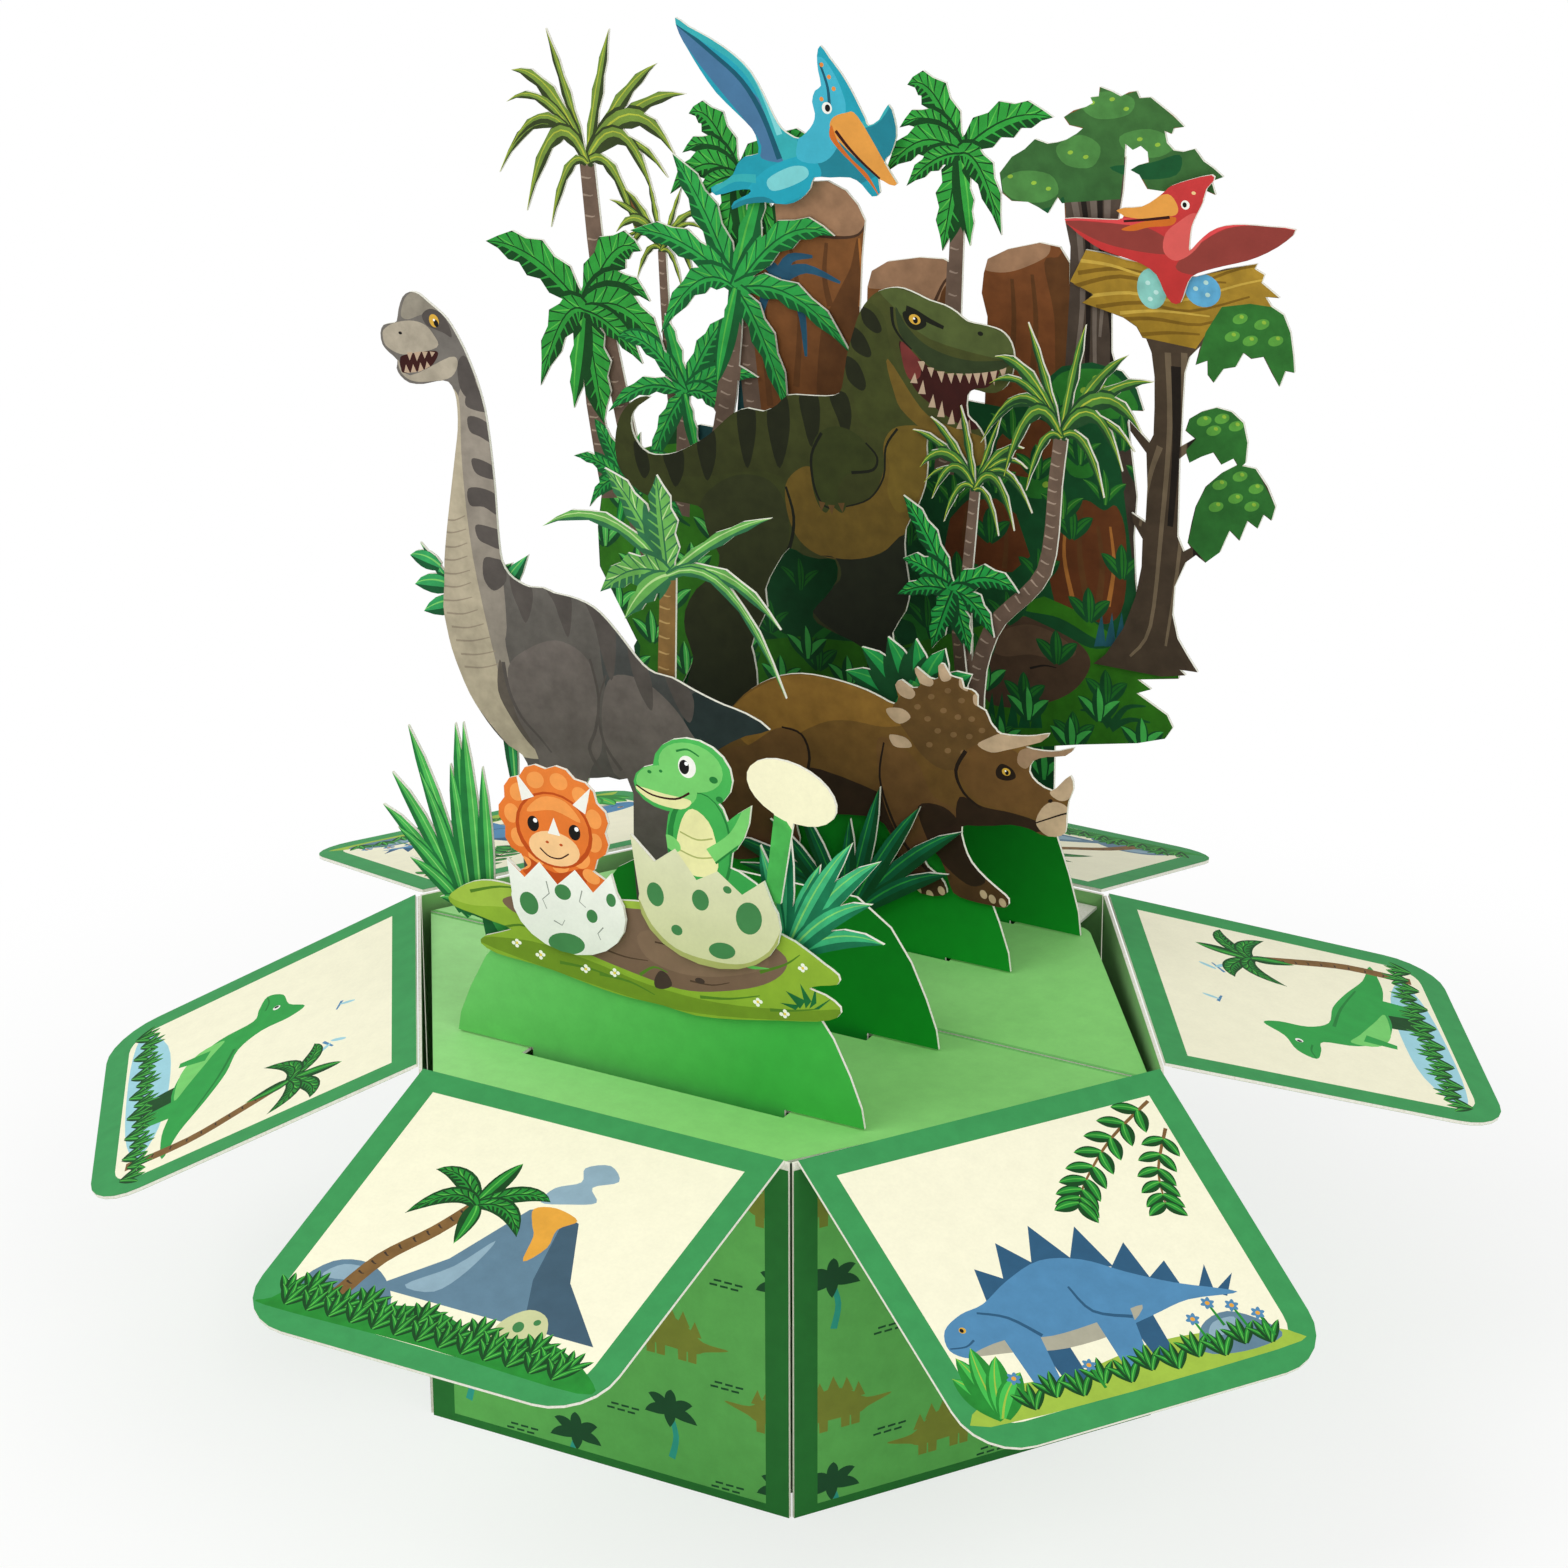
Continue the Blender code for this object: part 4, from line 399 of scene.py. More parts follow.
def face_plane(node: str, lay: Lay) -> Plane:
    """Find the printed face of a sheet.

    Args:
        node: The sheet's node.
        lay: Which way its printed face looks.

    Returns:
        The plane. A standing sheet's origin lies on the box's middle line at the rim; a wall's or flap's
        origin is the left end of its lower or outer edge, as seen from in front of it.
    """
    mesh = frame["nodes"][node].data
    low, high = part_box(node)
    middle = (low + high) / 2
    hint = Vector(lay.value) if lay.value else Vector((middle.x, middle.y, 0.0)).normalized()
    best = max(mesh.polygons, key=lambda face: (round(face.normal.dot(hint), 2), face.area))
    normal = best.normal.copy()
    corner = mesh.vertices[best.vertices[0]].co
    if lay is Lay.FORWARD:
        return Plane(Vector((0.0, corner.y, RIM)), Vector((1.0, 0.0, 0.0)), Vector((0.0, 0.0, 1.0)))
    creased = node.startswith(("deck_", "base_"))
    outward = Vector((0.0, -1.0, 0.0)) if creased else Vector((normal.x, normal.y, 0.0))
    across = Vector((0.0, 0.0, 1.0)).cross(outward).normalized()
    up = normal.cross(across).normalized()
    face = [vertex.co for vertex in mesh.vertices if abs((vertex.co - corner).dot(normal)) < INK_LIFT]
    left = 0.0 if creased else min(place.dot(across) for place in face)
    foot = min(place.dot(up) for place in face)
    return Plane(across * left + up * foot + normal * corner.dot(normal), across, up)


def sheet_outline(node: str, plane: Plane, side: Side) -> list[Loop]:
    """Trace a face of a sheet.

    Args:
        node: The sheet's node.
        plane: The plane of its printed face.
        side: Which face is traced.

    Returns:
        Its outer edge and then its holes, in millimetres.
    """
    mesh = frame["nodes"][node].data
    normal = plane.normal() * side.value
    # A side that two faces share is left out, so the sides of the outline remain
    ahead: dict[tuple[Point, Point], bool] = {}
    for face in mesh.polygons:
        if face.normal.dot(normal) < FACING:
            continue
        corners = [plane.flat(mesh.vertices[index].co) for index in face.vertices]
        corners = [(round(x, 4), round(y, 4)) for x, y in corners]
        for start, end in zip(corners, corners[1:] + corners[:1]):
            if (end, start) in ahead:
                del ahead[(end, start)]
            else:
                ahead[(start, end)] = True
    following: dict[Point, list[Point]] = {}
    for start, end in ahead:
        following.setdefault(start, []).append(end)
    loops = []
    while following:
        first = next(iter(following))
        loop = [first]
        here = following[first].pop()
        if not following[first]:
            del following[first]
        while here != first and here in following:
            loop.append(here)
            after = following[here].pop()
            if not following[here]:
                del following[here]
            here = after
        loops.append(loop)
    loops.sort(key=lambda loop: -abs(signed_area(loop)))
    return loops


def signed_area(loop: Loop) -> float:
    """Give the signed area inside a closed outline."""
    return sum(a[0] * b[1] - b[0] * a[1] for a, b in zip(loop, loop[1:] + loop[:1])) / 2


def counter_clockwise(loop: Loop) -> Loop:
    """Give an outline turning to the left."""
    return loop if signed_area(loop) > 0 else loop[::-1]


def inside(loop: Loop, places: np.ndarray) -> np.ndarray:
    """Tell which places lie inside a closed outline, by how often it winds round them.

    Args:
        loop: The outline, which may cross itself.
        places: One place a row.

    Returns:
        True for each place inside.
    """
    starts = np.array(loop)
    ends = np.roll(starts, -1, axis=0)
    near = ((places > starts.min(axis=0)) & (places < starts.max(axis=0))).all(axis=1)
    x, y = places[near, :1], places[near, 1:]
    turn = (ends[:, 0] - starts[:, 0]) * (y - starts[:, 1]) - (x - starts[:, 0]) * (ends[:, 1] - starts[:, 1])
    rising = (starts[:, 1] <= y) & (ends[:, 1] > y) & (turn > 0)
    falling = (starts[:, 1] > y) & (ends[:, 1] <= y) & (turn < 0)
    near[near] = rising.sum(axis=1) != falling.sum(axis=1)
    return near


@dataclass
class PrintedSheet:
    """One card sheet of the frame with its printed faces.

    Attributes:
        node: The frame's node, which stays as the paper core.
        lay: Which way its front looks.
        ground: The ink that covers the whole front.
        artwork: Shapes printed over the ground.
        back_ground: The ink of the back, the front's if left out.
        back_artwork: Shapes on the back; the front's show there too if left out.
    """

    node: str
    lay: Lay
    ground: PrintedBoard
    artwork: Artwork = field(default_factory=Artwork)
    back_ground: PrintedBoard | None = None
    back_artwork: Artwork | None = None

    def build(self, book: InkBook, core: PaperCore) -> None:
        """Lay the inks on the sheet and give its cut edges their bare paper.

        Args:
            book: The inks in use.
            core: The finish of the cut edges.
        """
        card = frame["nodes"][self.node]
        card.data.materials.clear()
        card.data.materials.append(book.take(core))
        plane = face_plane(self.node, self.lay)
        through = max(-(vertex.co - plane.origin).dot(plane.normal()) for vertex in card.data.vertices)
        divided = self.divide(plane, self.artwork)
        self.lay_ink(book, plane, Side.FRONT, self.ground, self.artwork, divided, INK_LIFT)
        artwork = self.artwork if self.back_artwork is None else self.back_artwork
        if artwork is not self.artwork:
            divided = self.divide(plane, artwork)
        self.lay_ink(book, plane, Side.BACK, self.back_ground or self.ground, artwork, divided,
                     -through - INK_LIFT)
        LOG.info("printed %s with %d shapes", self.node, len(self.artwork.shapes))

    @property
    def slot(self) -> str:
        """Give the record's material slot."""
        return SLOT_OF[self.node]

    def divide(self, plane: Plane, artwork: Artwork) -> Division:
        """Cut the sheet's outline along the edges of its artwork.

        Args:
            plane: The plane of the front face.
            artwork: The shapes.

        Returns:
            The corners, the triangles on paper, and the number of each triangle's topmost shape.
        """
        loops = sheet_outline(self.node, plane, Side.FRONT)
        vertices: list[Vector] = []
        edges: list[tuple[int, int]] = []
        for loop in loops + [shape for _, shape in artwork.shapes]:
            first = len(vertices)
            edges.extend((first + index, first + (index + 1) % len(loop)) for index in range(len(loop)))
            vertices.extend(Vector(point) for point in loop)
        merged, _, patches, *_ = delaunay_2d_cdt(vertices, edges, [], 0, MERGE)
        corners = np.array([point[:] for point in merged])
        triangles = np.array(patches)
        middles = corners[triangles].mean(axis=1)
        paper = inside(loops[0], middles)
        for hole in loops[1:]:
            paper &= ~inside(hole, middles)
        triangles = triangles[paper]
        middles = middles[paper]
        layers = np.full(len(triangles), -1)
        for layer, (_, shape) in enumerate(artwork.shapes):
            layers[inside(shape, middles)] = layer
        return corners, triangles, layers

    def lay_ink(self, book: InkBook, plane: Plane, side: Side, ground: PrintedBoard, artwork: Artwork,
                divided: Division, height: float) -> None:
        """Make one printed face.

        Args:
            book: The inks in use.
            plane: The plane of the front face.
            side: Which face is printed.
            ground: The ink under all others.
            artwork: The shapes over it.
            divided: The sheet cut along the shapes.
            height: How far the ink lies before the front face, in metres.
        """
        corners, triangles, layers = divided
        inked = [layer < 0 or artwork.shapes[layer][0] is not BARE for layer in layers]
        triangles = triangles[inked]
        layers = layers[inked]
        used, numbered = np.unique(triangles, return_inverse=True)
        numbered = numbered.reshape(-1, 3)[:, ::side.value]
        name = f"{self.node}_{side.name.lower()}_print"
        mesh = bpy.data.meshes.new(name)
        mesh.from_pydata([plane.lifted(corners[index], height) for index in used], [], numbered.tolist())
        inks = [ground if layer < 0 else artwork.shapes[layer][0] for layer in layers]
        numbers: dict[str, int] = {}
        for ink in inks:
            if ink.name not in numbers:
                numbers[ink.name] = len(numbers)
                mesh.materials.append(book.take(ink))
        mesh.polygons.foreach_set("material_index", [numbers[ink.name] for ink in inks])
        mesh.update()
        sheet = bpy.data.objects.new(name, mesh)
        bpy.context.scene.collection.objects.link(sheet)
        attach(sheet, BODY_OF[self.node])


def litho(name: str, ink: str, shade: str | None = None, low: float = 50.0, high: float = 140.0,
          mottle: float = 0.06) -> PrintedBoard:
    """Mix an offset ink, which may run to a second colour between two heights in millimetres."""
    return PrintedBoard(name + "_litho", ink, shade, (0.0, 0.0, low), (0.0, 0.0, high), mottle=mottle)


def brushed(name: str, ink: str, shade: str | None = None, low: float = 50.0,
            high: float = 140.0) -> PrintedBoard:
    """Mix an offset ink that prints uneven brushwork, as on the painted plants, rocks and animals."""
    return litho(name, ink, shade, low, high, 0.17)


# Stands for no ink: paper left bare
BARE = PrintedBoard("bare_paper", "#FFFFFF")

# Offset litho inks on coated board. All lie matt and faintly mottled; the comments say what each group shows.
# Box, flaps and deck: flat greens with a hardly visible mottle, and an unbleached cream that looks soft
WALL_GREEN = litho("wall_green", "#5FAC55", "#68B45D", 0, 50)
BORDER_GREEN = litho("border_green", "#26702F")
FLAP_GREEN = litho("flap_border_green", "#3B9453")
FLAP_CREAM = litho("flap_cream", "#F3F0D4", mottle=0.02)
LINING_GREEN = litho("lining_green", "#8CC77B", mottle=0.04)
# The deck's plain green runs to a paler green toward the left and back; the paleness is painted light
DECK_GREEN_LIT_LEFT = PrintedBoard("deck_green_lit_left_litho", "#85CF72", "#A3E092", (30.0, 0.0, 0.0), (-50.0, 20.0, 0.0),
                          mottle=0.04)
# Painted shade: a darker green laid along the deck's crease
DECK_CREASE_SHADE = litho("deck_crease_shade_green", "#6DB862")
HILL_LIGHT = PrintedBoard("near_hill_green_litho", "#3BAA40", "#6DC366", (15.0, 0.0, 52.0),
                          (-28.0, 0.0, 68.0), mottle=0.05)
HILL_DARK = litho("far_hill_green", "#0B8F22", "#027016", 50, 72, 0.05)
PATTERN_OLIVE = litho("pattern_olive", "#7E8433")
PATTERN_DARK = litho("pattern_dark_green", "#1A4A2A")
PATTERN_TEAL = litho("pattern_teal", "#2F9C8C")
# Meadow and hatchlings: fresh yellow greens, dry earth, and eggshell whites with leaf-green spots
MEADOW = litho("meadow_olive", "#7FA52A", "#8DAF33", 60, 72)
MEADOW_PALE = litho("meadow_pale", "#9CBB42")
MEADOW_DEEP = litho("meadow_deep", "#6A8C1F")
MEADOW_BLADE = litho("meadow_blade", "#4E7A1E")
EARTH = litho("bare_earth", "#6B5340", "#77604C", 60, 70)
EARTH_PALE = litho("dry_earth", "#7E6650")
EARTH_DARK = litho("damp_earth", "#4A3828")
STONE_DARK = litho("pebble_brown", "#3E3128")
DAISY = litho("daisy_white", "#EFF3E2", mottle=0.02)
DAISY_HEART = litho("daisy_yellow", "#E3C94A")
FRESH_LEAF = litho("fresh_leaf_green", "#43B84C", "#6CCB5C", 64, 70)
ORANGE = litho("hatchling_orange", "#D9661F", "#E57E33", 70, 90)
ORANGE_LIT = litho("hatchling_light_orange", "#F09A4E")
ORANGE_DEEP = litho("hatchling_deep_orange", "#B8480F")
MUZZLE_CREAM = litho("hatchling_cream", "#F2C48C")
YOUNG_GREEN = litho("hatchling_green", "#2E9A45", "#4BB655", 76, 98)
YOUNG_LIT = litho("hatchling_light_green", "#74C96A")
YOUNG_DEEP = litho("hatchling_deep_green", "#1F7A34")
YOUNG_BELLY = litho("hatchling_belly_cream", "#E4E2A4")
SHELL_WHITE = litho("eggshell_white", "#DDE3D6", "#EEF1E8", 64, 76, 0.03)
SHELL_CREAM = litho("eggshell_cream", "#C6CB98", "#D8DAB4", 66, 82, 0.03)
SHELL_SHADE = litho("eggshell_shade", "#A3AB62")
SHELL_SPOT = litho("eggshell_green_spot", "#3F8048")
SHELL_CRACK = litho("eggshell_crack_grey", "#8B9388")
BUBBLE_CREAM = litho("bubble_cream", "#F3EFCB", mottle=0.02)
# Grass and leaves: each blade has a dark half, a lit half and a pale rib
GRASS_DEEP = brushed("grass_deep", "#125C2C", "#1D7A38", 58, 90)
GRASS_LIT = brushed("grass_lit", "#2B9440", "#4DB352", 58, 92)
GRASS_RIB = brushed("grass_rib", "#7CCB6A")
REED_DEEP = brushed("reed_deep_teal", "#0C5B3C", "#147A50", 58, 88)
REED_LIT = brushed("reed_lit_teal", "#1F9460", "#44B97C", 58, 88)
GLOOM_GREEN = brushed("undergrowth_dark_green", "#0F4220", "#14522B")
GRASS_DARK = brushed("grass_dark", "#0A4A26")
FERN_LIT = brushed("fern_lit", "#14743A", "#249A4C", 58, 96)
STEM_LIT = brushed("stem_lit", "#23894A", "#35A15C", 66, 108)
STEM_DEEP = brushed("stem_deep", "#12552F")
# Palms: fronds run from a lit upper edge to a dark lower one, and grey-brown bark has paler rings
FROND_OLIVE = brushed("frond_olive", "#63802F", "#728F3A")
FROND_OLIVE_DEEP = brushed("frond_olive_shadow", "#33401F")
FROND_YELLOW = brushed("frond_yellow_rib", "#AEB83E")
FROND_GREEN = brushed("frond_green", "#23862F", "#2F9A3A")
FROND_GREEN_DEEP = brushed("frond_green_shadow", "#0E4319")
FROND_GREEN_RIB = brushed("frond_green_rib", "#58B848")
FROND_BANANA = brushed("frond_blue_green", "#1F8F3C", "#2DA047")
FROND_BANANA_DEEP = brushed("frond_blue_green_shadow", "#115A2C")
FROND_PALE = brushed("frond_pale", "#5A9E49", "#6CB055")
FROND_PALE_DEEP = brushed("frond_pale_shadow", "#2E6B45")
FROND_PALE_RIB = brushed("frond_pale_rib", "#B5D790")
FROND_NEAR = brushed("frond_near", "#3D6F2A", "#4E8233")
FROND_NEAR_DEEP = brushed("frond_near_shadow", "#1D4322")
FROND_STAR = brushed("frond_star", "#17853A", "#249A42")
FROND_STAR_DEEP = brushed("frond_star_shadow", "#0A4420")
BARK_GREY = brushed("bark_grey_brown", "#5E4B40", "#6E5A4C")
BARK_RING = brushed("bark_ring", "#9C8878")
BARK_TAN = brushed("bark_tan", "#7C5C32", "#8A6A3A")
BARK_TAN_RING = brushed("bark_tan_ring", "#B0905A")
BARK_DARK = brushed("bark_dark", "#3A2E24", "#4C3E30")
BARK_LIGHT = brushed("bark_light", "#6E5E4A")
# Animals: body, lit and shaded planes, stripes and fine lines as separate inks
SAUROPOD = brushed("sauropod_grey", "#413E3B", "#6E6963", 60, 120)
SAUROPOD_PALE = brushed("sauropod_pale", "#A89C86", "#B6AB93", 70, 130)
SAUROPOD_MID = brushed("sauropod_mid", "#857D72", "#948B7F", 70, 130)
SAUROPOD_BAND = brushed("sauropod_band", "#918572")
SAUROPOD_FOLD = brushed("sauropod_fold", "#5A524A")
SAUROPOD_SHADE = brushed("sauropod_shade", "#3C3F3E", "#4A4B49", 70, 100)
SAUROPOD_TAIL = brushed("sauropod_tail", "#243030")
SAUROPOD_FLANK = brushed("sauropod_flank", "#544E4A", "#6C645F", 60, 96)
SAUROPOD_STRIPE = brushed("sauropod_stripe", "#524C48")
SAUROPOD_MUZZLE = brushed("sauropod_muzzle", "#A99F8D")
SAUROPOD_CROWN = brushed("sauropod_crown", "#8E8779")
# Tyrant: its inks are set dark, and its body runs darker toward its feet. This is partly its own print and
# partly painted shade, as the whole figure stands in shade
TYRANT_OLIVE_AND_SHADE = brushed("tyrant_olive_and_painted_shade", "#1B1D0D", "#43481F", 74, 132)
TYRANT_FLANK = brushed("tyrant_flank", "#2C3014", "#3D431C", 80, 120)
TYRANT_BELLY = brushed("tyrant_belly", "#54411A", "#644F1D", 80, 106)
TYRANT_CHEST = brushed("tyrant_chest", "#6A561F")
TYRANT_THROAT = brushed("tyrant_throat", "#6B5520")
TYRANT_SNOUT = brushed("tyrant_snout", "#46512A", "#4E5A2C", 118, 136)
TYRANT_CHEEK = brushed("tyrant_cheek", "#2E3A1E")
TYRANT_LINE = brushed("tyrant_line", "#15170C")
TYRANT_STRIPE = brushed("tyrant_stripe", "#1F2210")
TYRANT_LEG = brushed("tyrant_leg", "#13150A", "#31351A", 66, 100)
TYRANT_FAR = brushed("tyrant_far_leg", "#0D0F08", "#1A1D10", 66, 96)
TYRANT_ARM = brushed("tyrant_arm", "#333A17")
TYRANT_CLAW = brushed("tyrant_claw", "#5E4424")
HORNED = brushed("horned_brown", "#3F2A18", "#85602C", 60, 88)
HORNED_BACK = brushed("horned_back", "#8A6229", "#9A7132", 74, 92)
HORNED_SHADE = brushed("horned_shade", "#2C1C11")
HORNED_THIGH = brushed("horned_thigh", "#4A301B", "#72502A", 58, 80)
HORNED_FRILL = brushed("horned_frill", "#5C4222", "#6B4D29", 70, 88)
HORNED_BUMP = brushed("horned_bump", "#82623F")
HORNED_FACE = brushed("horned_face", "#6B4A26")
HORNED_LINE = brushed("horned_line", "#22150D")
HORN = brushed("horn_ivory", "#C6A88A")
HORN_SHADE = brushed("horn_shade", "#A08064")
TOOTH = litho("tooth_ivory", "#B79E85", mottle=0.03)
MOUTH_RED = brushed("mouth_dark_red", "#35110E")
TONGUE_RED = brushed("tongue_red", "#70302C")
EYE_GOLD = litho("eye_gold", "#D3A63E", mottle=0.02)
EYE_WHITE = litho("eye_white", "#F1F0E8", mottle=0.02)
EYE_GLINT = litho("eye_glint", "#FFFFFF", mottle=0.01)
PUPIL = litho("pupil_black", "#0E0B0A", mottle=0.02)
# Cliffs, trunks and undergrowth of the rear board: warm rock between dark greens
CLIFF = brushed("cliff_brown", "#5A3216", "#84552C", 90, 150)
CLIFF_RED = brushed("cliff_red_brown", "#5A2E14", "#7C4A26", 90, 145)
CLIFF_TOP = brushed("cliff_top_tan", "#9C7759")
CLIFF_SHADE = brushed("cliff_shade", "#5E3A1C")
CLIFF_LINE = brushed("cliff_line", "#4A3222")
CLIFF_RIM = brushed("cliff_rim_orange", "#A5682F")
TRUNK_DARK = brushed("great_trunk_grey", "#3A2E26", "#54483E", 90, 165)
TRUNK_LIGHT = brushed("great_trunk_light", "#70645A")
GLOOM = brushed("shadow_brown", "#1E1712")
CANOPY = brushed("canopy_green", "#2C5A2E", "#3C6B34", 130, 165)
CANOPY_LIGHT = brushed("canopy_light_green", "#4A8340")
LEAF_GLOW = brushed("leaf_yellow_dot", "#8DB53C")
BUSH = brushed("bush_green", "#1F6A24", "#2E7F2C", 80, 130)
TEAL_GLOOM = brushed("undergrowth_teal", "#173E40")
TEAL_LEAF = brushed("fern_teal", "#1F5560", "#24526E", 80, 140)
JUNGLE_GRASS = brushed("forest_floor_green", "#235C10", "#2F7014", 62, 90)
ROCK = brushed("rock_brown", "#3E2E22", "#4E3A2B", 60, 90)
ROCK_LIGHT = brushed("rock_light_brown", "#5C4634")
TREE_LEAF = brushed("tree_leaf_green", "#27622A", "#2F6F2C", 80, 140)
TREE_LEAF_LIT = brushed("tree_leaf_lit", "#579A3C")
NEST_STRAW = brushed("nest_straw", "#9C7A24", "#AE8A30", 130, 150)
NEST_TWIG = brushed("nest_twig", "#7C5D18")
NEST_PALE = brushed("nest_pale_straw", "#C6A444")
EGG_TEAL = brushed("egg_teal", "#84C2B8")
EGG_BLUE = brushed("egg_blue", "#5FA8D0")
EGG_SPOT = brushed("egg_pale_spot", "#B5DAD4")
# Flyers: clear blues and reds with darker webs between the wing fingers
FLYER = litho("flyer_teal", "#1C93A6", "#239FB4", 130, 165)
FLYER_BODY = litho("flyer_body_teal", "#22A2B8")
FLYER_WEB = litho("flyer_web_blue", "#47749A")
FLYER_WEB_FAR = litho("flyer_far_web", "#1F7F90")
FLYER_LINE = litho("flyer_line", "#17566A")
FLYER_EDGE = litho("flyer_edge", "#35AAB0")
FLYER_SHINE = litho("flyer_shine", "#7CCFD2")
FLYER_HEAD = litho("flyer_head_blue", "#40AFC6")
FLYER_DOT = litho("flyer_orange_dot", "#E38B3C")
FLYER_BEAK = litho("beak_orange", "#E09A45")
FLYER_BEAK_LOW = litho("beak_deep_orange", "#CC6A22")
RED_FLYER = litho("flyer_red", "#B52F2C", "#C5393A", 130, 155)
RED_WEB = litho("flyer_red_web", "#8C3A33")
RED_EDGE = litho("flyer_red_edge", "#D9474A")
RED_LIGHT = litho("flyer_light_red", "#D55A55")
RED_DOT = litho("flyer_pale_dot", "#E8C48A")
# Flap pictures: lighter inks that stand on the cream
ROCK_BLUE = litho("picture_rock_blue", "#5F7F93")
ROCK_BLUE_LIT = litho("picture_rock_light_blue", "#8CA9B8")
ROCK_BLUE_DEEP = litho("picture_rock_deep_blue", "#3F5A6C")
PLATED_BLUE = litho("picture_plated_blue", "#4F86AE")
PLATED_LIGHT = litho("picture_plated_light", "#A9A692")
PLATED_DEEP = litho("picture_plated_deep_blue", "#2C5878")
LAVA = litho("picture_ochre", "#E0A23C")
POND = litho("picture_pond_blue", "#9CCFDA", mottle=0.03)
CORE = PaperCore()


class Mark(Enum):
    """How a row of an artwork table is drawn."""

    FILL = "fill"
    BLOB = "blob"
    STROKE = "stroke"
    OVAL = "oval"


FILL, BLOB, STROKE, OVAL = Mark


def drawn(marks: Iterable[tuple]) -> Artwork:
    """Draw a table of marks.

    Args:
        marks: Rows of mark, ink, one or more shapes, and then the shapes' widths or sizes in millimetres and
            their turn in degrees. A shape is (across, up) for its first place and (step across, step up)
            from each place to the next, all in one tuple and in tenths of a millimetre.

    Returns:
        The artwork.
    """
    art = Artwork()
    for mark, ink, *rest in marks:
        sizes = [item for item in rest if not isinstance(item, tuple)]
        for steps in rest[:len(rest) - len(sizes)]:
            points = [(across / 10, up / 10)
                      for across, up in zip(accumulate(steps[::2]), accumulate(steps[1::2]))]
            if mark is FILL:
                art.fill(ink, points)
            elif mark is BLOB:
                art.blob(ink, points)
            elif mark is STROKE:
                art.stroke(ink, points, *sizes)
            else:
                art.oval(ink, points[0], *sizes)
    return art


# Leaves of the tufts: root, tip, rise and width, in thousandths of the tuft's size
TALL_GRASS_SHARES = (
    (535, 213, 184, 939, 60, 104), (497, 228, 68, 730, 75, 95), (495, 207, 0, 587, 90, 95),
    (522, 211, 94, 505, 60, 87), (547, 194, 165, 389, 45, 87), (575, 240, 490, 989, 15, 113),
    (549, 236, 449, 816, 24, 95), (523, 232, 252, 755, 45, 87), (613, 225, 541, 1000, 0, 104),
    (679, 235, 655, 832, 0, 87), (741, 202, 354, 249, 36, 104), (675, 241, 1000, 0, 0, 303),
)
SHORT_GRASS_SHARES = (
    (242, 350, 964, 847, 102, 152), (225, 371, 485, 775, 17, 141), (242, 327, 1000, 480, 102, 152),
    (193, 367, 204, 1000, 0, 152), (225, 348, 741, 904, 68, 141), (176, 365, 0, 805, 20, 129),
    (225, 325, 902, 647, 102, 141), (304, 373, 100, 0, 0, 381),
)
DARK_GRASS_SHARES = (
    (536, 21, 659, 1000, 0, 67), (519, 13, 535, 717, 0, 62), (561, 30, 1000, 797, 154, 73),
    (511, 10, 0, 394, 154, 73), (493, 4, 64, 206, 103, 67), (578, 37, 945, 459, 103, 67),
    (502, 7, 323, 726, 41, 67), (544, 24, 826, 915, 77, 67), (485, 0, 195, 588, 77, 62),
)
FERN_BANK_SHARES = (
    (594, 687, 0, 813, 44, 228), (594, 687, 128, 924, 35, 238), (594, 687, 335, 986, 15, 249),
    (594, 687, 557, 1000, 0, 249), (594, 687, 786, 982, 29, 249), (594, 687, 1000, 898, 44, 228),
    (594, 745, 432, 0, 0, 542), (594, 818, 215, 146, 0, 379),
)
LEAFY_STEMS_SHARES = (
    (852, 79, 766, 610, 0, 111), (800, 537, 166, 950, 0, 91), (405, 803, 115, 786, 16, 141),
    (480, 753, 179, 689, 8, 141), (317, 870, 84, 894, 14, 131), (540, 717, 876, 938, 14, 151),
    (614, 671, 1000, 980, 14, 141), (392, 832, 496, 1000, 0, 131),
)
# Fronds of the crowns: tip, rise and width, in hundredths of the crown's reach
ARCHING_CROWN_SHARES = (
    (-40, 118, 5, 10), (25, 125, 10, 12), (73, 100, 25, 14), (102, 76, 35, 15), (90, 20, 75, 20),
    (83, -2, 55, 10), (70, -25, 85, 14), (50, -57, 55, 12), (-77, 76, 45, 16), (-83, 46, 55, 10),
    (-92, -20, 85, 12), (-79, 5, 70, 10), (-64, -52, 95, 16), (-39, -64, 50, 10),
)
BROAD_CROWN_SHARES = (
    (-109, 53, 35, 42), (63, 67, 55, 40), (72, 19, 45, 28), (89, -33, 50, 38), (19, -110, 10, 38),
    (-14, -100, 0, 22), (-51, -83, 55, 34), (63, -44, 20, 25),
)
LONG_CROWN_SHARES = (
    (-63, 113, 20, 30), (28, 102, 6, 24), (-107, 38, 30, 28), (-77, -52, 55, 26), (97, 61, 50, 28),
    (113, -42, 45, 26), (53, -112, 30, 26), (-20, -90, 0, 16),
)
FERN_CROWN_SHARES = (
    (-59, 84, 20, 25), (-10, 86, 10, 30), (-120, 23, 55, 13), (-65, -25, 25, 30), (-42, -45, 10, 20),
    (97, 67, 15, 12), (105, -28, 45, 14), (110, -87, 80, 10),
)
STAR_CROWN_SHARES = (
    (-77, 128, 25, 35), (-77, 35, 20, 40), (-85, -20, 20, 30), (103, 15, 45, 38), (66, -57, 35, 36),
    (30, -88, 10, 30), (-30, -90, 10, 38),
)
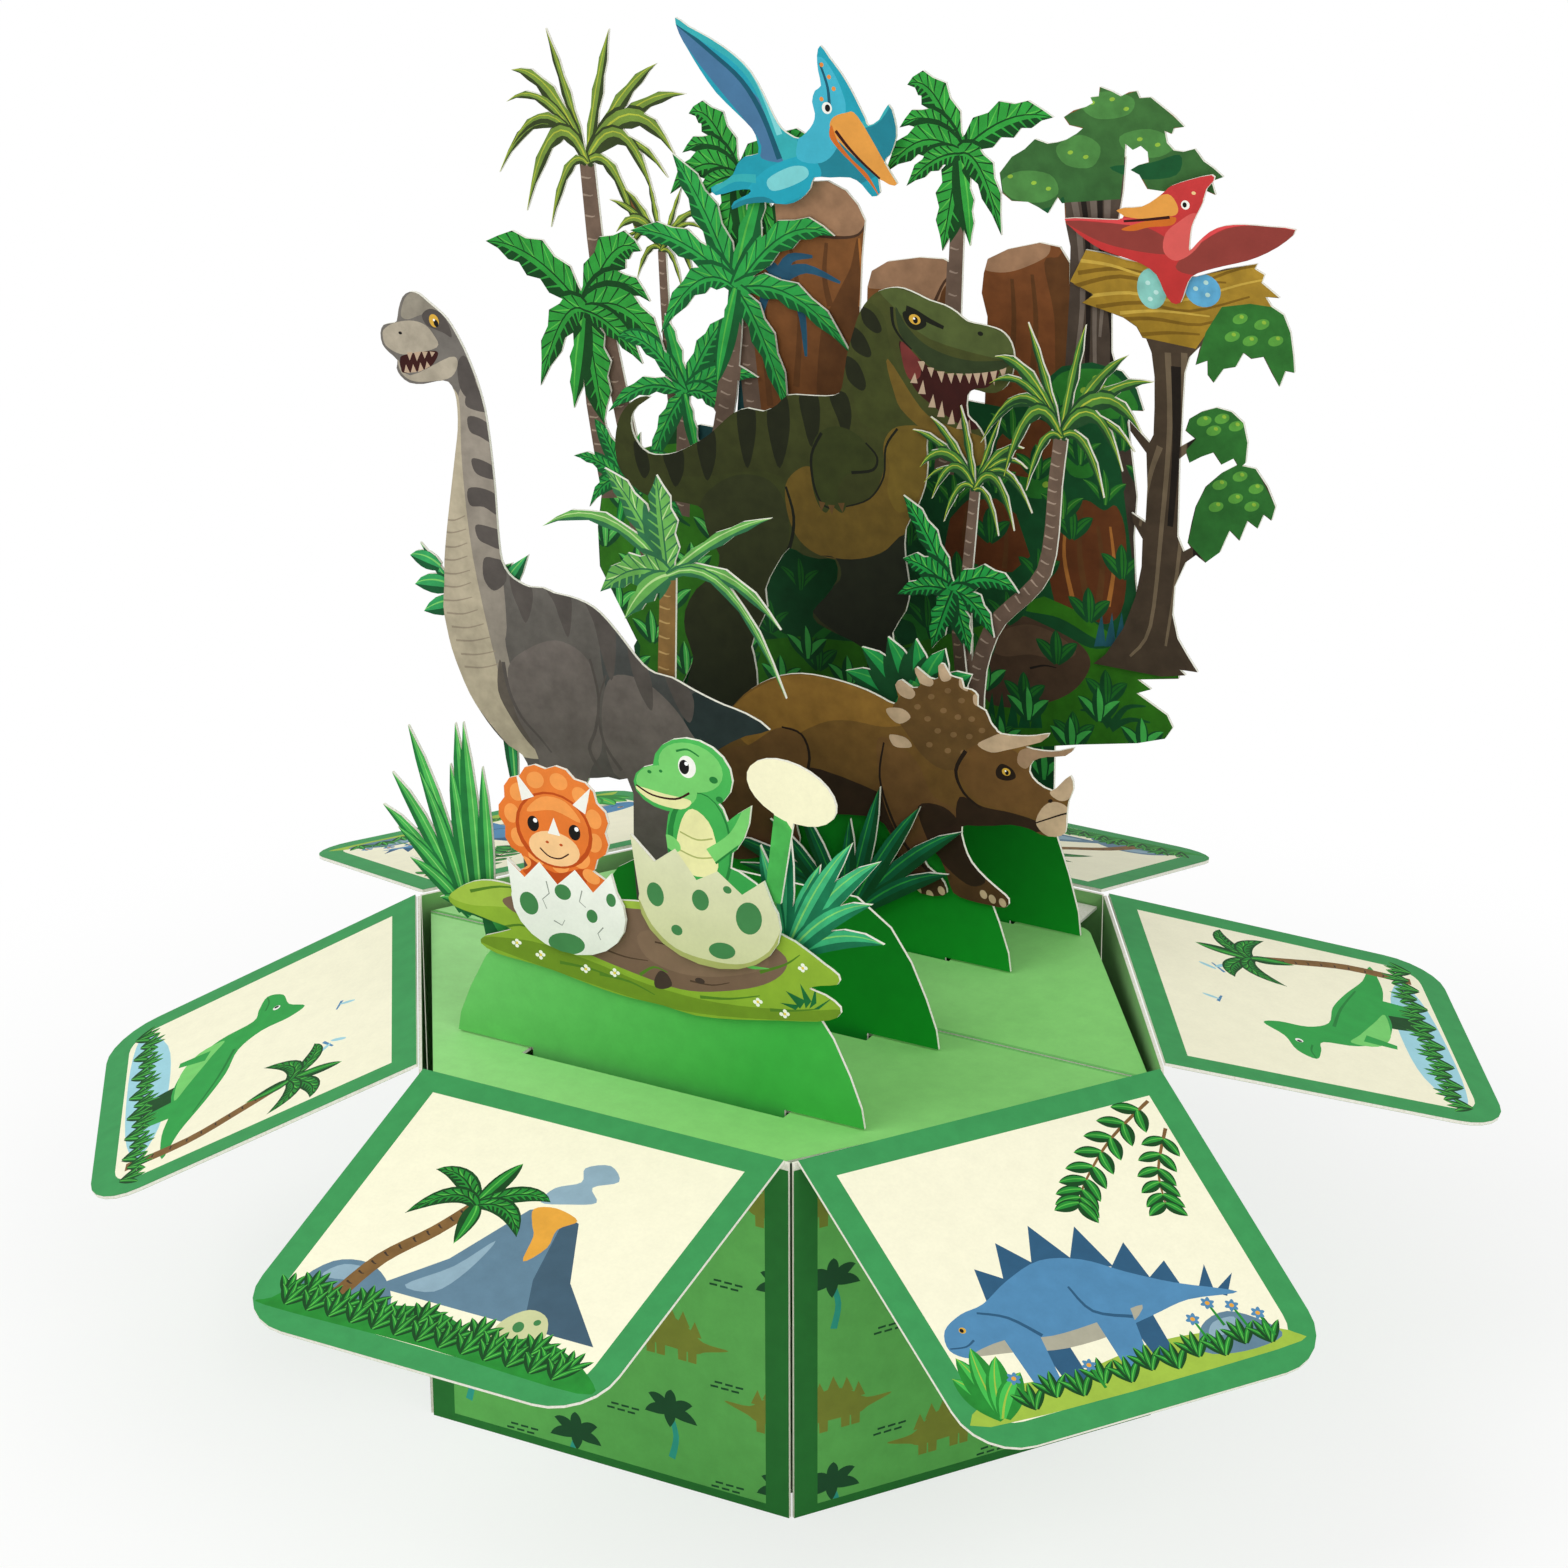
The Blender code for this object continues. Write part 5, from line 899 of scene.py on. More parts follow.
# Broken rims of the eggs, in hundredths of the egg's size
HORNED_EGG_RIM_SHARES = (
    (10, 24), (6, 44), (20, 36), (32, 46), (46, 36), (60, 46), (74, 36), (88, 48), (97, 26),
)
GREEN_EGG_RIM_SHARES = (
    (6, 24), (0, 52), (16, 42), (30, 50), (44, 38), (58, 44), (74, 36), (88, 44), (99, 26),
)

# Artwork for drawn(). Places lie across from the middle of the box, and up from its rim.
SAUROPOD_MARKS = (
    # Flank between the pale front and the dark back
    (BLOB, SAUROPOD_MID, (-410, 773, 24, -21, 24, -273, -1, -56, 25, -79, 31, -36, -24, -26, -44, 55, -31, 78,
     -22, 80, 9, 84, -7, 162)),
    # Pale front of the neck and belly
    (BLOB, SAUROPOD_PALE, (-452, 774, 22, -11, 7, -22, 1, -81, 12, -121, 29, -133, 10, -24, 42, -48, 22, -21,
     10, -29, -26, -11, -35, 7, -63, 62, -22, 38, -15, 46, -5, 48, 29, 238, 0, 41)),
    (STROKE, SAUROPOD_BAND, (-454, 584, 17, 1, 17, 9), (-455, 566, 17, 2, 19, 8), (-456, 546, 19, 2, 19, 9),
     (-456, 528, 18, 2, 20, 9), (-457, 509, 20, 2, 22, 9), (-458, 491, 22, 2, 22, 10), (-458, 471, 21, 3, 24,
     9), (-453, 454, 25, 3, 23, 10), (-446, 436, 25, 3, 25, 10), (-440, 418, 26, 4, 27, 10), (-433, 400, 26,
     4, 28, 10), (-428, 383, 28, 4, 28, 11), 0.3, 0.12),
    # Fold behind the pale belly
    (BLOB, SAUROPOD_FOLD, (-373, 404, 11, -37, 21, -32, 50, -50, -12, -8, -27, 15, -27, 31, -20, 36)),
    # Shaded flank and tail
    (BLOB, SAUROPOD_SHADE, (-220, 496, 33, -24, 35, -35, 144, -35, 39, -17, -39, -19, -40, -27, -26, -34, -15,
     31, -44, -1, -42, 7, -29, 28, -14, 52)),
    (BLOB, SAUROPOD_TAIL, (-73, 417, 65, -12, 42, -18, -41, -21, -41, -27, -22, -27, -19, 31, -8, 40)),
    # Near shoulder and fore leg
    (BLOB, SAUROPOD_FLANK, (-361, 393, 31, 33, 43, 20, 39, -10, 20, -32, 5, -52, 2, -47, -18, -35, 1, -56, -9,
     -137, -102, -22, 7, 160, 26, 43, -11, 37, -24, 38), (-204, 411, 42, 5, 41, -22, 32, -35, 18, -47, -6,
     -198, -99, -22, 2, 158, -29, 27, -14, 43, -2, 47)),
    (STROKE, SAUROPOD_STRIPE, (-368, 401, 8, -39, 18, -33, 27, -24, 18, -18), 0.55, 0.25),
    (STROKE, SAUROPOD_STRIPE, (-236, 430, 12, -50, -5, -46, -10, -30, 15, -25, 22, -10), 0.35, 0.6),
    (STROKE, SAUROPOD_STRIPE, (-212, 412, -13, -46, 8, -49, 26, -34), 0.2, 0.5),
    (BLOB, SAUROPOD_STRIPE, (-410, 762, 18, 0, 18, -8, -4, -12, -18, -2, -18, 5), (-411, 730, 21, 0, 18, -13,
     -2, -17, -20, 6, -15, 5), (-407, 674, 18, 0, 18, -8, 0, -14, -21, 0, -12, 6), (-414, 632, 24, 4, 21, -8,
     -1, -24, -21, 7, -21, -1), (-404, 584, 22, 1, 18, -5, -1, -22, -21, 2, -15, 6), (-393, 540, 18, 3, 12,
     -4, 3, -24, -19, -17, -15, 14), (-354, 530, 18, -11, 15, -8, -1, -25, -10, -24, -11, 20, -9, 21), (-304,
     520, 19, -5, 21, -2, 2, -27, -6, -32, -12, 23, -8, 21), (-243, 511, 23, -12, 21, -15, 2, -41, -7, -37,
     -14, 33, -11, 42), (-179, 463, 24, -23, 11, -26, 0, -38, -15, 16, -14, 33), (-126, 434, 29, -11, 15, -22,
     -6, -31, -18, 18)),
    # Muzzle
    (BLOB, SAUROPOD_MUZZLE, (-535, 828, 16, 11, 25, 7, 21, -2, 14, -12, 4, -16, -44, -16, -19, 0, -15, 7, -4,
     11), (-515, 791, 5, -18, 18, -8, 31, 5, 27, 10, 10, 20, -12, 6, -61, -34)),
    # Crest of the head
    (BLOB, SAUROPOD_CROWN, (-508, 851, 6, 22, 12, 11, 15, -1, 24, -15, -13, -6, -18, -8, -16, -7)),
    # Brow
    (BLOB, SAUROPOD_STRIPE, (-476, 856, 12, 10, 16, -3, 12, -14, 4, -16, -12, 4, -14, 3, -12, 4), (-424, 800,
     13, 10, 16, -38, 12, -25, -24, 5, -15, 16)),
    (OVAL, EYE_GOLD, (-458, 851), 1.45, 1.75, 20),
    (OVAL, PUPIL, (-455, 848), 0.7, 1, 20),
    (OVAL, EYE_GLINT, (-458, 852), 0.3, 0.3),
    (OVAL, PUPIL, (-510, 827), 0.55, 0.4),
    (BLOB, MOUTH_RED, (-512, 790, 6, 8, 37, 11, 15, 1, -3, -11, -13, -13, -35, -12, -6, 6)),
    (FILL, TOOTH, (-501, 802, 4, -10, 5, 12), (-490, 804, 4, -11, 7, 14), (-478, 807, 4, -9, 5, 10), (-466,
     809, 3, -7, 5, 7), (-506, 775, 3, 11, 6, -11), (-496, 776, 4, 12, 5, -10), (-485, 778, 4, 14, 5, -9),
     (-474, 784, 3, 11, 5, -6)),
)

TYRANT_DINOSAUR_MARKS = (
    # Paler lower side of the tail and flank
    (BLOB, TYRANT_FLANK, (-425, 587, 18, -49, 43, -30, 75, -3, 25, -61, 68, -5, 61, 28, -27, 106, -126, -21,
     -62, -5, -44, 19), (-34, 833, 24, -15, 12, -46, 38, -83, -2, -28, -71, 3, -18, 24, -6, 54, 11, 57)),
    # Belly
    (BLOB, TYRANT_BELLY, (-156, 563, 21, 26, 21, 3, 18, -30, 31, -15, 38, 20, 18, 40, 0, 38, 20, 26, 47, 2, 1,
     -50, -14, -55, -24, -46, -35, -32, -42, -16, -46, -3, -33, 16, -18, 34)),
    (BLOB, TYRANT_CHEST, (-9, 645, 20, 26, 47, 2, -2, -47, -14, -47, -27, -27, -18, 25, 3, 37)),
    # Lower jaw
    (BLOB, TYRANT_THROAT, (-4, 762, 50, -61, 36, -16, 58, -10, 0, -22, -8, -18, -18, 0, -88, 52, -21, 32)),
    (BLOB, MOUTH_RED, (13, 789, 39, -27, 26, -7, 32, 2, 34, 14, 14, -3, -16, -22, -23, -9, -6, -33, 18, -14,
     -23, -4, -62, 32, -21, 29)),
    (BLOB, TONGUE_RED, (15, 788, 17, -11, 12, -13, -1, -20, -15, -5, -10, 21)),
    (FILL, TOOTH, (40, 765, 7, -13, 4, 15), (54, 759, 6, -13, 4, 14), (68, 756, 7, -15, 4, 16), (83, 755, 6,
     -13, 4, 15), (96, 757, 6, -12, 4, 14), (109, 759, 6, -13, 4, 15), (120, 762, 7, -16, 4, 18), (132, 765,
     6, -18, 4, 20), (144, 770, 7, -21, 4, 23), (157, 775, 7, -17, 4, 18), (29, 734, 7, 15, 4, -14), (41, 721,
     7, 20, 4, -19), (56, 705, 7, 19, 4, -18), (69, 694, 7, 23, 4, -22), (84, 686, 7, 21, 4, -19), (97, 682,
     7, 17, 4, -16), (108, 678, 8, 20, 3, -19)),
    # Lit top of the head
    (BLOB, TYRANT_SNOUT, (-16, 853, 36, 5, 146, -38, 12, -28, -20, -6, -101, 12, -50, 33)),
    (BLOB, TYRANT_CHEEK, (7, 834, 15, -22, 26, -21, 35, -11, 41, -2, 48, 8, -8, -12, -34, -11, -38, -6, -32,
     3, -26, 18, -21, 22)),
    (STROKE, TYRANT_LINE, (1, 833, 3, -24, 12, -17, 15, -12), 0.5, 0.2),
    (STROKE, TYRANT_LINE, (22, 833, 14, -3, 21, -8, 20, -6), 1.1, 0.5),
    (BLOB, TYRANT_LINE, (17, 827, 13, 5, 15, -5, 7, -11, -13, -9, -14, 4)),
    (OVAL, EYE_GOLD, (35, 821), 1.7, 1.35, -10),
    (OVAL, PUPIL, (36, 820), 0.7, 0.9),
    (OVAL, EYE_GLINT, (34, 822), 0.3, 0.3),
    (OVAL, TYRANT_LINE, (130, 816), 0.8, 0.6),
    (BLOB, TYRANT_STRIPE, (-229, 658, 25, 6, 2, -41, -12, -47, -12, 34), (-183, 665, 27, 24, 6, -50, -15, -55,
     -15, 39), (-135, 693, 27, 3, 3, -44, -12, -30, -12, 32), (-90, 699, 24, 6, 9, -31, -9, -32, -12, 26),
     (-291, 606, 25, 15, 3, -37, -13, -36, -12, 27), (-344, 576, 28, 11, 3, -31, -13, -25, -12, 21), (-390,
     586, 18, -11, 6, -25, -10, -15, -12, 23), (-66, 755, 18, -6, 12, -25, -6, -12, -21, 13), (-57, 797, 17,
     -8, 12, -23, -8, -7, -21, 11), (-43, 826, 18, -5, 12, -20, -9, -7, -18, 11)),
    # Near thigh and leg
    (BLOB, TYRANT_LEG, (-289, 509, 26, 36, 40, 21, 43, -2, 24, -32, 3, -57, -34, -69, 3, -28, -16, -55, -7,
     -75, 3, -103, -121, -24, 21, 168, -12, 36, 4, 30, 17, 35, 30, 28, -7, 48)),
    # Far leg in shade
    (BLOB, TYRANT_FAR, (-102, 471, 46, 3, 45, 17, 32, 31, 10, -32, 3, -42, -23, -66, 9, -27, 66, -25, -2,
     -127, -127, -26, 12, 148, -86, 65, 43, 51, -6, 30)),
    (STROKE, TYRANT_LINE, (-156, 560, 12, -41, -6, -43, -20, -35, -16, -35), 0.35, 0.7),
    # Near arm
    (BLOB, TYRANT_ARM, (-117, 614, 9, 27, 24, 15, 27, -2, 24, -15, 12, -18, -6, -17, -30, -8, -15, -14, -5,
     -20, 12, -12, -6, -13, -15, 6, -10, -10, -12, 12, -9, 30)),
    (STROKE, TYRANT_LINE, (-102, 644, -15, -33, 3, -39, 12, -26, 16, -6), 0.45, 0.25),
    (STROKE, TYRANT_LINE, (-36, 641, 17, -17, -6, -19, -32, -9), 0.25, 0.45),
    (FILL, TYRANT_CLAW, (-106, 548, 4, -14, 6, 13), (-92, 545, 6, -13, 4, 14), (-77, 550, 7, -12, 3, 14)),
    (STROKE, TYRANT_LINE, (-65, 547, 35, 17, 21, 34, 3, 42, 17, 28), 0.2, 0.35),
)

HORNED_DINOSAUR_MARKS = (
    # Lit back
    (BLOB, HORNED_BACK, (-167, 281, 28, 33, 45, 30, 36, 12, 45, 2, 54, -7, 44, -13, 15, -19, -35, -13, -51,
     -1, -45, -13, -78, -51, -31, -1, -18, 17), (-344, 247, 28, -18, 24, -8, 35, -2, 37, 14, 50, 45, 3, -20,
     -28, -28, -34, -22, -41, -8, -37, 7)),
    # Shaded belly
    (BLOB, HORNED_SHADE, (-52, 226, 111, -15, 36, -21, 18, -31, -29, -6, -36, 18, -79, -13, -33, -15, -3,
     37)),
    # Hind leg
    (BLOB, HORNED_THIGH, (-137, 241, 40, 31, 33, 4, 15, -26, -3, -41, -15, -38, 9, -51, -9, -25, -105, -31,
     -3, 50, -21, 78, 28, 37), (56, 288, 32, -3, 27, -20, 24, -43, 38, -15, 7, -42, 15, -28, 24, -21, 29, -17,
     -8, -16, -59, -1, -24, 15, -18, 37, -42, 8, -27, 35, -15, 49)),
    (STROKE, HORNED_LINE, (-88, 276, 30, -5, 12, -32, -12, -46), 0.25, 0.5),
    (BLOB, HORNED_SHADE, (116, 203, 38, 7, 27, -23, 6, -35, 30, -32, -21, -15, -35, 18, -27, 29)),
    (STROKE, HORNED_LINE, (65, 284, -6, -50, 15, -48, 24, -42, 36, -32), 0.25, 0.5),
    # Neck frill
    (BLOB, HORNED_FRILL, (79, 343, 73, 53, 29, -8, 35, -35, 15, -25, -11, -25, -26, -22, -35, -18, -32, 10,
     -27, 29)),
    (OVAL, HORNED_BUMP, (114, 344), (134, 362), (158, 375), (178, 365), (129, 330), (152, 346), (173, 341),
     (193, 342), (144, 316), (167, 315), (190, 317), (208, 329), (132, 294), (159, 291), (182, 293), 1, 0.75,
     25),
    # Face
    (BLOB, HORNED_FACE, (179, 289, 23, 19, 32, 6, 32, -10, 20, -30, 41, -25, -11, -22, -28, -6, -70, 5, -29,
     14, -15, 26)),
    (BLOB, HORNED_SHADE, (177, 229, 35, -7, 38, 0, 38, -4, 14, -8, -23, -11, -35, 2, -37, -11, -32, -1)),
    (STROKE, HORNED_LINE, (185, 296, -14, -31, 12, -29, 26, -17), 0.6, 0.3),
    (BLOB, HORN, (202, 308, 17, 13, 17, 9, 29, 3, 40, 12, -8, -13, -26, -12, -26, -11, -23, -8)),
    (BLOB, HORN_SHADE, (263, 311, 17, 8, 20, 0, 42, 14, -11, -15, -28, -8, -20, -10, -11, -12, -12, 6)),
    (BLOB, HORN, (307, 261, 11, 13, 18, 18, 6, -15, -7, -18, -14, -6), (296, 237, 14, 12, 17, 0, 9, -10, -2,
     -28, -14, -10, -18, 0, -14, 14), (69, 333, 23, 4, 12, -10, -16, -12, -15, 7), (74, 297, 23, 0, 9, -11,
     -21, -5, -9, 5), (80, 371, 10, 8, 20, -15, -6, -11, -16, 3), (109, 399, 5, 3, 22, -16, -4, -10, -18, 4),
     (143, 408, 11, 5, 9, -19, -14, -7), (175, 396, 9, 0, 3, -16, -12, 4), (195, 376, 9, 1, 2, -15, -10, 2)),
    (STROKE, HORNED_LINE, (288, 215, 17, 9, 19, 10, 12, 5), 0.18, 0.25),
    (BLOB, HORNED_LINE, (229, 277, 8, 11, 15, -4, 6, -11, -12, -7, -14, 1)),
    (OVAL, EYE_GOLD, (244, 278), 1.25, 1.05),
    (OVAL, PUPIL, (245, 277), 0.55, 0.65),
    (OVAL, EYE_GLINT, (243, 279), 0.25, 0.25),
    (OVAL, HORNED_LINE, (308, 250), 0.7, 0.5, 30),
    (OVAL, HORN, (214, 97), (227, 93), (242, 91), (117, 82), (135, 80), (152, 89), 1, 1.3, 30),
)

MEADOW_MARKS = (
    # Lit grass
    (BLOB, MEADOW_PALE, (-296, 186, 32, 28, 60, 10, 132, 10, 114, 9, -57, -33, -116, -12, -89, -12, -45, -7)),
    # Shaded lower edge
    (BLOB, MEADOW_DEEP, (-255, 131, 180, -24, 116, -6, 113, 14, 119, 25, -4, 14, -58, -14, -113, -16, -100, 2,
     -87, 14, -88, 8)),
    # Bare earth
    (BLOB, EARTH, (-215, 198, 40, 14, 59, 2, 130, 16, 85, -2, 56, -4, 36, -16, -3, -22, -28, -23, -48, -19,
     -57, -13, -57, 3, -119, 21, -40, 19, -41, 10)),
    (BLOB, EARTH_PALE, (-15, 196, 71, 16, 71, -2, 39, -10, -11, -19, -57, -21, -57, -8, -48, 12)),
    (STROKE, EARTH_DARK, (-74, 162, 36, -5, 34, 2), (70, 181, 37, 0, 31, 8), (-190, 195, 41, 1, 26, 4), 0.3,
     0.1),
    (STROKE, EARTH_DARK, (-132, 177, 29, -7, 23, 2), (6, 187, 36, 1, 28, 6), (56, 145, 31, 1, 25, 9), 0.25,
     0.1),
    (BLOB, STONE_DARK, (5, 136, 8, 13, 11, -3, 6, -13, -12, -8, -12, 0)),
    (OVAL, STONE_DARK, (70, 148), 1.4, 0.8),
    (STROKE, MEADOW_BLADE, (-224, 154, 33, 13, 37, -3), (-133, 128, 44, 1, 41, -5), (-75, 125, 44, -1, 36,
     -10), (70, 126, 42, 7, 43, 14), (-16, 137, 20, 15, 20, -3), (155, 179, 35, 18, 21, 18), (-264, 198, 45,
     16, 44, 4), (169, 131, 35, 7, 34, 10), 0.45, 0.12),
    (OVAL, DAISY, (-201, 140), (-192, 142), (-196, 144), (-196, 137), (-100, 126), (-91, 128), (-95, 131),
     (-95, 124), (148, 137), (156, 139), (152, 141), (152, 134), (211, 197), (219, 199), (215, 202), (215,
     195), (-57, 130), (-48, 132), (-53, 135), (-53, 128), (-166, 131), (-157, 133), (-161, 136), (-161, 128),
     (185, 129), (194, 131), (190, 134), (190, 127), 0.55, 0.5),
    (OVAL, DAISY_HEART, (-196, 141), (-95, 127), (152, 138), (215, 198), (-53, 131), (-161, 132), (190, 130),
     0.4, 0.4),
    (FILL, GRASS_DEEP, (211, 142, -20, 20, 28, -7), (219, 144, -8, 33, 16, -21), (224, 145, 9, 32, 1, -22),
     (230, 146, 28, 23, -20, -21), (205, 139, -22, 5, 28, 3)),
    (BLOB, FRESH_LEAF, (124, 190, -14, 27, 22, -14), (130, 189, -6, 44, 17, -28), (138, 188, 23, 40, -12,
     -30), (144, 186, 30, 26, -19, -20), (134, 184, 35, 3, -25, -6), (121, 184, -14, 13, 23, -8)),
)

JUNGLE_BOARD_MARKS = (
    # Left cliff
    (BLOB, CLIFF_TOP, (-252, 895, 27, 32, 34, 20, 36, 6, 27, -10, 21, -19, 7, -18, -7, -18, -24, -11, -69, -1,
     -25, -9, -21, 11)),
    (STROKE, CLIFF_LINE, (-101, 900, -12, -18, -27, -8, -42, -2), 0.25, 0.5),
    (BLOB, CLIFF_SHADE, (-170, 733, 24, 59, 21, 42, 12, 43, 9, -93, 1, -139, -67, -39)),
    (STROKE, CLIFF_RIM, (-112, 877, 4, -52, -3, -42), 0.35, 0.3),
    (STROKE, CLIFF_SHADE, (-216, 851, 15, -81, -6, -114), (-161, 864, -3, -47, 9, -40), (-250, 819, -6, -99,
     9, -98), 0.5, 1),
    # Middle cliff
    (FILL, CLIFF, (-98, 813, 6, 23, 24, 15, 83, 16, 23, -10, 0, -190, -141, -37)),
    (BLOB, CLIFF_TOP, (-101, 812, 9, 25, 27, 16, 44, 12, 36, 4, 20, -11, -40, -59, -60, 13)),
    (BLOB, CLIFF_SHADE, (9, 812, 15, 27, 17, 18, 6, -189, -30, -4, -7, 82)),
    (STROKE, CLIFF_LINE, (32, 853, -17, -18, -14, -30), 0.2, 0.5),
    # Right cliff
    (FILL, CLIFF_RED, (73, 857, 6, 19, 29, 18, 46, 14, 28, -1, 15, -19, 3, -237, -123, -20, 3, 167, -9, 31)),
    (BLOB, CLIFF_TOP, (70, 862, 12, 17, 29, 17, 45, 14, 12, -2, -5, -17, -37, -22, -29, -9)),
    (BLOB, CLIFF_SHADE, (160, 882, 20, 11, 14, 16, 7, -80, 0, -95, -20, -6, -5, 84)),
    (STROKE, CLIFF_SHADE, (114, 854, 4, -64, -7, -84), (143, 864, 7, -70, -7, -97), 0.5, 1),
    # Great trunk
    (FILL, TRUNK_DARK, (186, 988, 12, -126, -19, -468, 132, 13, -12, 121, 2, 57, -10, 67, -31, 125, -2, 60,
     14, 201)),
    (STROKE, TRUNK_LIGHT, (198, 984, 12, -60, 6, -93, -9, -110, -1, -195), (226, 988, 8, -74, 0, -107, 6,
     -136), (248, 991, 0, -88, -6, -109), 1, 0.4),
    (STROKE, GLOOM, (212, 986, 10, -73, 3, -121, -2, -124), (237, 989, 5, -87, 18, -105, -3, -123), 0.8, 0.6),
    # Canopy
    (FILL, CANOPY, (234, 1125, 29, -8, 22, 9, 5, -8, 15, 3, 48, -33, -15, -3, -3, -8, -9, 2, 3, -15, 10, -8,
     29, 5, 41, -31, -17, -7, 7, -17, -17, 4, -19, -13, -59, 4, -11, 17, -13, 4, 25, 14, -2, 13, -10, 7, -11,
     -7, -10, 7, -6, -74, -82, -16, -6, 7, -14, -23, -29, 11, -23, -2, -13, 9, -5, 26, 17, 24, 33, 28, 18, -5,
     41, 20, 8, 8, -18, 1, -9, 10, 40, 23, -3, 7, 12, 3)),
    (BLOB, CANOPY_LIGHT, (95, 981, 28, 19, 43, 1, 12, -23, -26, -16, -40, 0), (206, 1108, 42, 13, 33, -6, -7,
     -21, -39, -11, -23, 8), (263, 1064, 42, 15, 36, -13, -21, -21, -42, -3), (174, 1039, 33, 20, 29, -12,
     -11, -28, -37, -2)),
    (OVAL, LEAF_GLOW, (109, 991), (143, 987), (164, 982), (223, 1103), (251, 1111), (271, 1101), (291, 1064),
     (316, 1060), (194, 1034), (216, 1031), 0.8, 0.5, 20),
    (BLOB, GLOOM_GREEN, (81, 952, 43, -5, 43, 11, 19, 16, -4, -30, -43, -11, -44, 0), (250, 1022, 56, 13, 41,
     16, -4, -27, -50, -12)),
    # Undergrowth
    (FILL, GLOOM_GREEN, (-453, 516, 45, 37, 51, 25, 63, -1, 78, 33, 257, 68, 74, -2, 74, 70, 43, 12, 43, -5,
     22, -21, 11, -28, -17, -3, -19, -52, 35, -217, -24, -62, -236, -131, -217, -42, -191, -22, -98, -3, -9,
     59, 37, 67, -15, 87, -31, 54)),
    (BLOB, BUSH, (172, 710, 17, 27, 40, 12, 32, -1, 26, -20, 12, -25, -28, -16, -40, -3, -35, 2), (191, 636,
     26, 18, 24, -18, -5, -34, -32, -3), (131, 584, 29, 24, 29, -6, -13, -38, -36, -6)),
    (OVAL, LEAF_GLOW, (238, 737), (250, 725), (264, 719), (221, 718), (209, 622), (154, 588), (169, 579), 1.1,
     0.8, 30),
    (BLOB, CLIFF_RED, (115, 651, 29, 16, 29, -6, 4, -41, -17, -31, -44, -2, -21, 33), (179, 528, 20, 26, 29,
     13, 26, -10, 18, 9, 15, -40, 0, -92, -25, -36, -42, 9, -26, -13, -23, 87)),
    (STROKE, CLIFF_RIM, (200, 537, -2, -54, 13, -55), (264, 536, 7, -54, -7, -58), 0.35, 0.7),
    (STROKE, CLIFF_SHADE, (222, 557, -1, -70, 14, -68), (246, 534, 8, -55, -5, -63), 0.5, 1.1),
    (FILL, CLIFF_RED, (17, 448, 11, 59, 24, 30, 44, 10, 30, -17, 22, -56, -26, -27, -78, -14)),
    (STROKE, CLIFF_SHADE, (55, 529, -6, -44, 13, -43), (102, 540, 10, -44, -2, -46), 0.4, 0.8),
    (BLOB, TEAL_GLOOM, (-435, 693, 64, 38, 47, -22, 61, -90, 15, -112, -78, 1, -47, 65)),
    (STROKE, TEAL_LEAF, (-231, 807, -31, 24, -18, 6), (-231, 807, 15, 28, 34, 7), (-231, 807, 39, 17, 52,
     -12), (-231, 805, -25, -32, -9, -55), (-231, 805, 30, -35, 9, -69), 2.2, 0.4),
    (STROKE, BUSH, (-201, 191, -16, 87, -47, 21), (-201, 191, 19, 93, 43, 44), (-92, 212, -12, 72, -41, 13),
     (-329, 166, -22, 72, -42, 7), (1, 260, -17, 84, -30, 9), 2.6, 0.5),
    # Forest floor
    (FILL, JUNGLE_GRASS, (-361, 251, 160, 44, 155, 14, 121, 52, 45, 37, 50, 23, 53, -13, 98, -48, 47, -2, 2,
     -17, -60, -13, 20, -10, -20, -10, 44, -23, 9, -15, -11, -18, -39, -15, -205, -48, -215, -39, -255, -20)),
    (BLOB, ROCK, (73, 331, 32, 38, 45, 20, 41, -10, 39, -21, 10, -24, -20, -36, -38, -27, -60, -20, -39, 9)),
    (BLOB, ROCK_LIGHT, (88, 334, 23, 28, 39, 15, 39, -7, 30, -20, -24, -16, -44, 0, -39, -10)),
    (STROKE, GLOOM, (151, 314, 21, 8, 18, 0), 0.35, 0.15),
    (BLOB, GLOOM_GREEN, (105, 395, 45, 0, 44, -1, 45, -17, 29, -9, -29, -8, -45, 14, -44, 12)),
    (FILL, GRASS_DARK, (84, 214, 11, 55, 7, -52), (99, 217, 11, 55, 7, -52), (117, 220, 11, 55, 7, -51), (135,
     224, 11, 54, 7, -51), (153, 227, 11, 55, 7, -51)),
    (STROKE, GLOOM_GREEN, (271, 253, -21, 17, -23, -2), (271, 253, -6, 28, 8, 16), (274, 254, 20, 30, 29, 8),
     (272, 250, 28, 18, 30, 2), 1.2, 0.2),
    (FILL, TEAL_LEAF, (245, 363, 10, 51, 7, -47), (260, 366, 10, 50, 7, -47), (274, 369, 10, 50, 8, -47),
     (289, 372, 10, 50, 7, -47)),
)

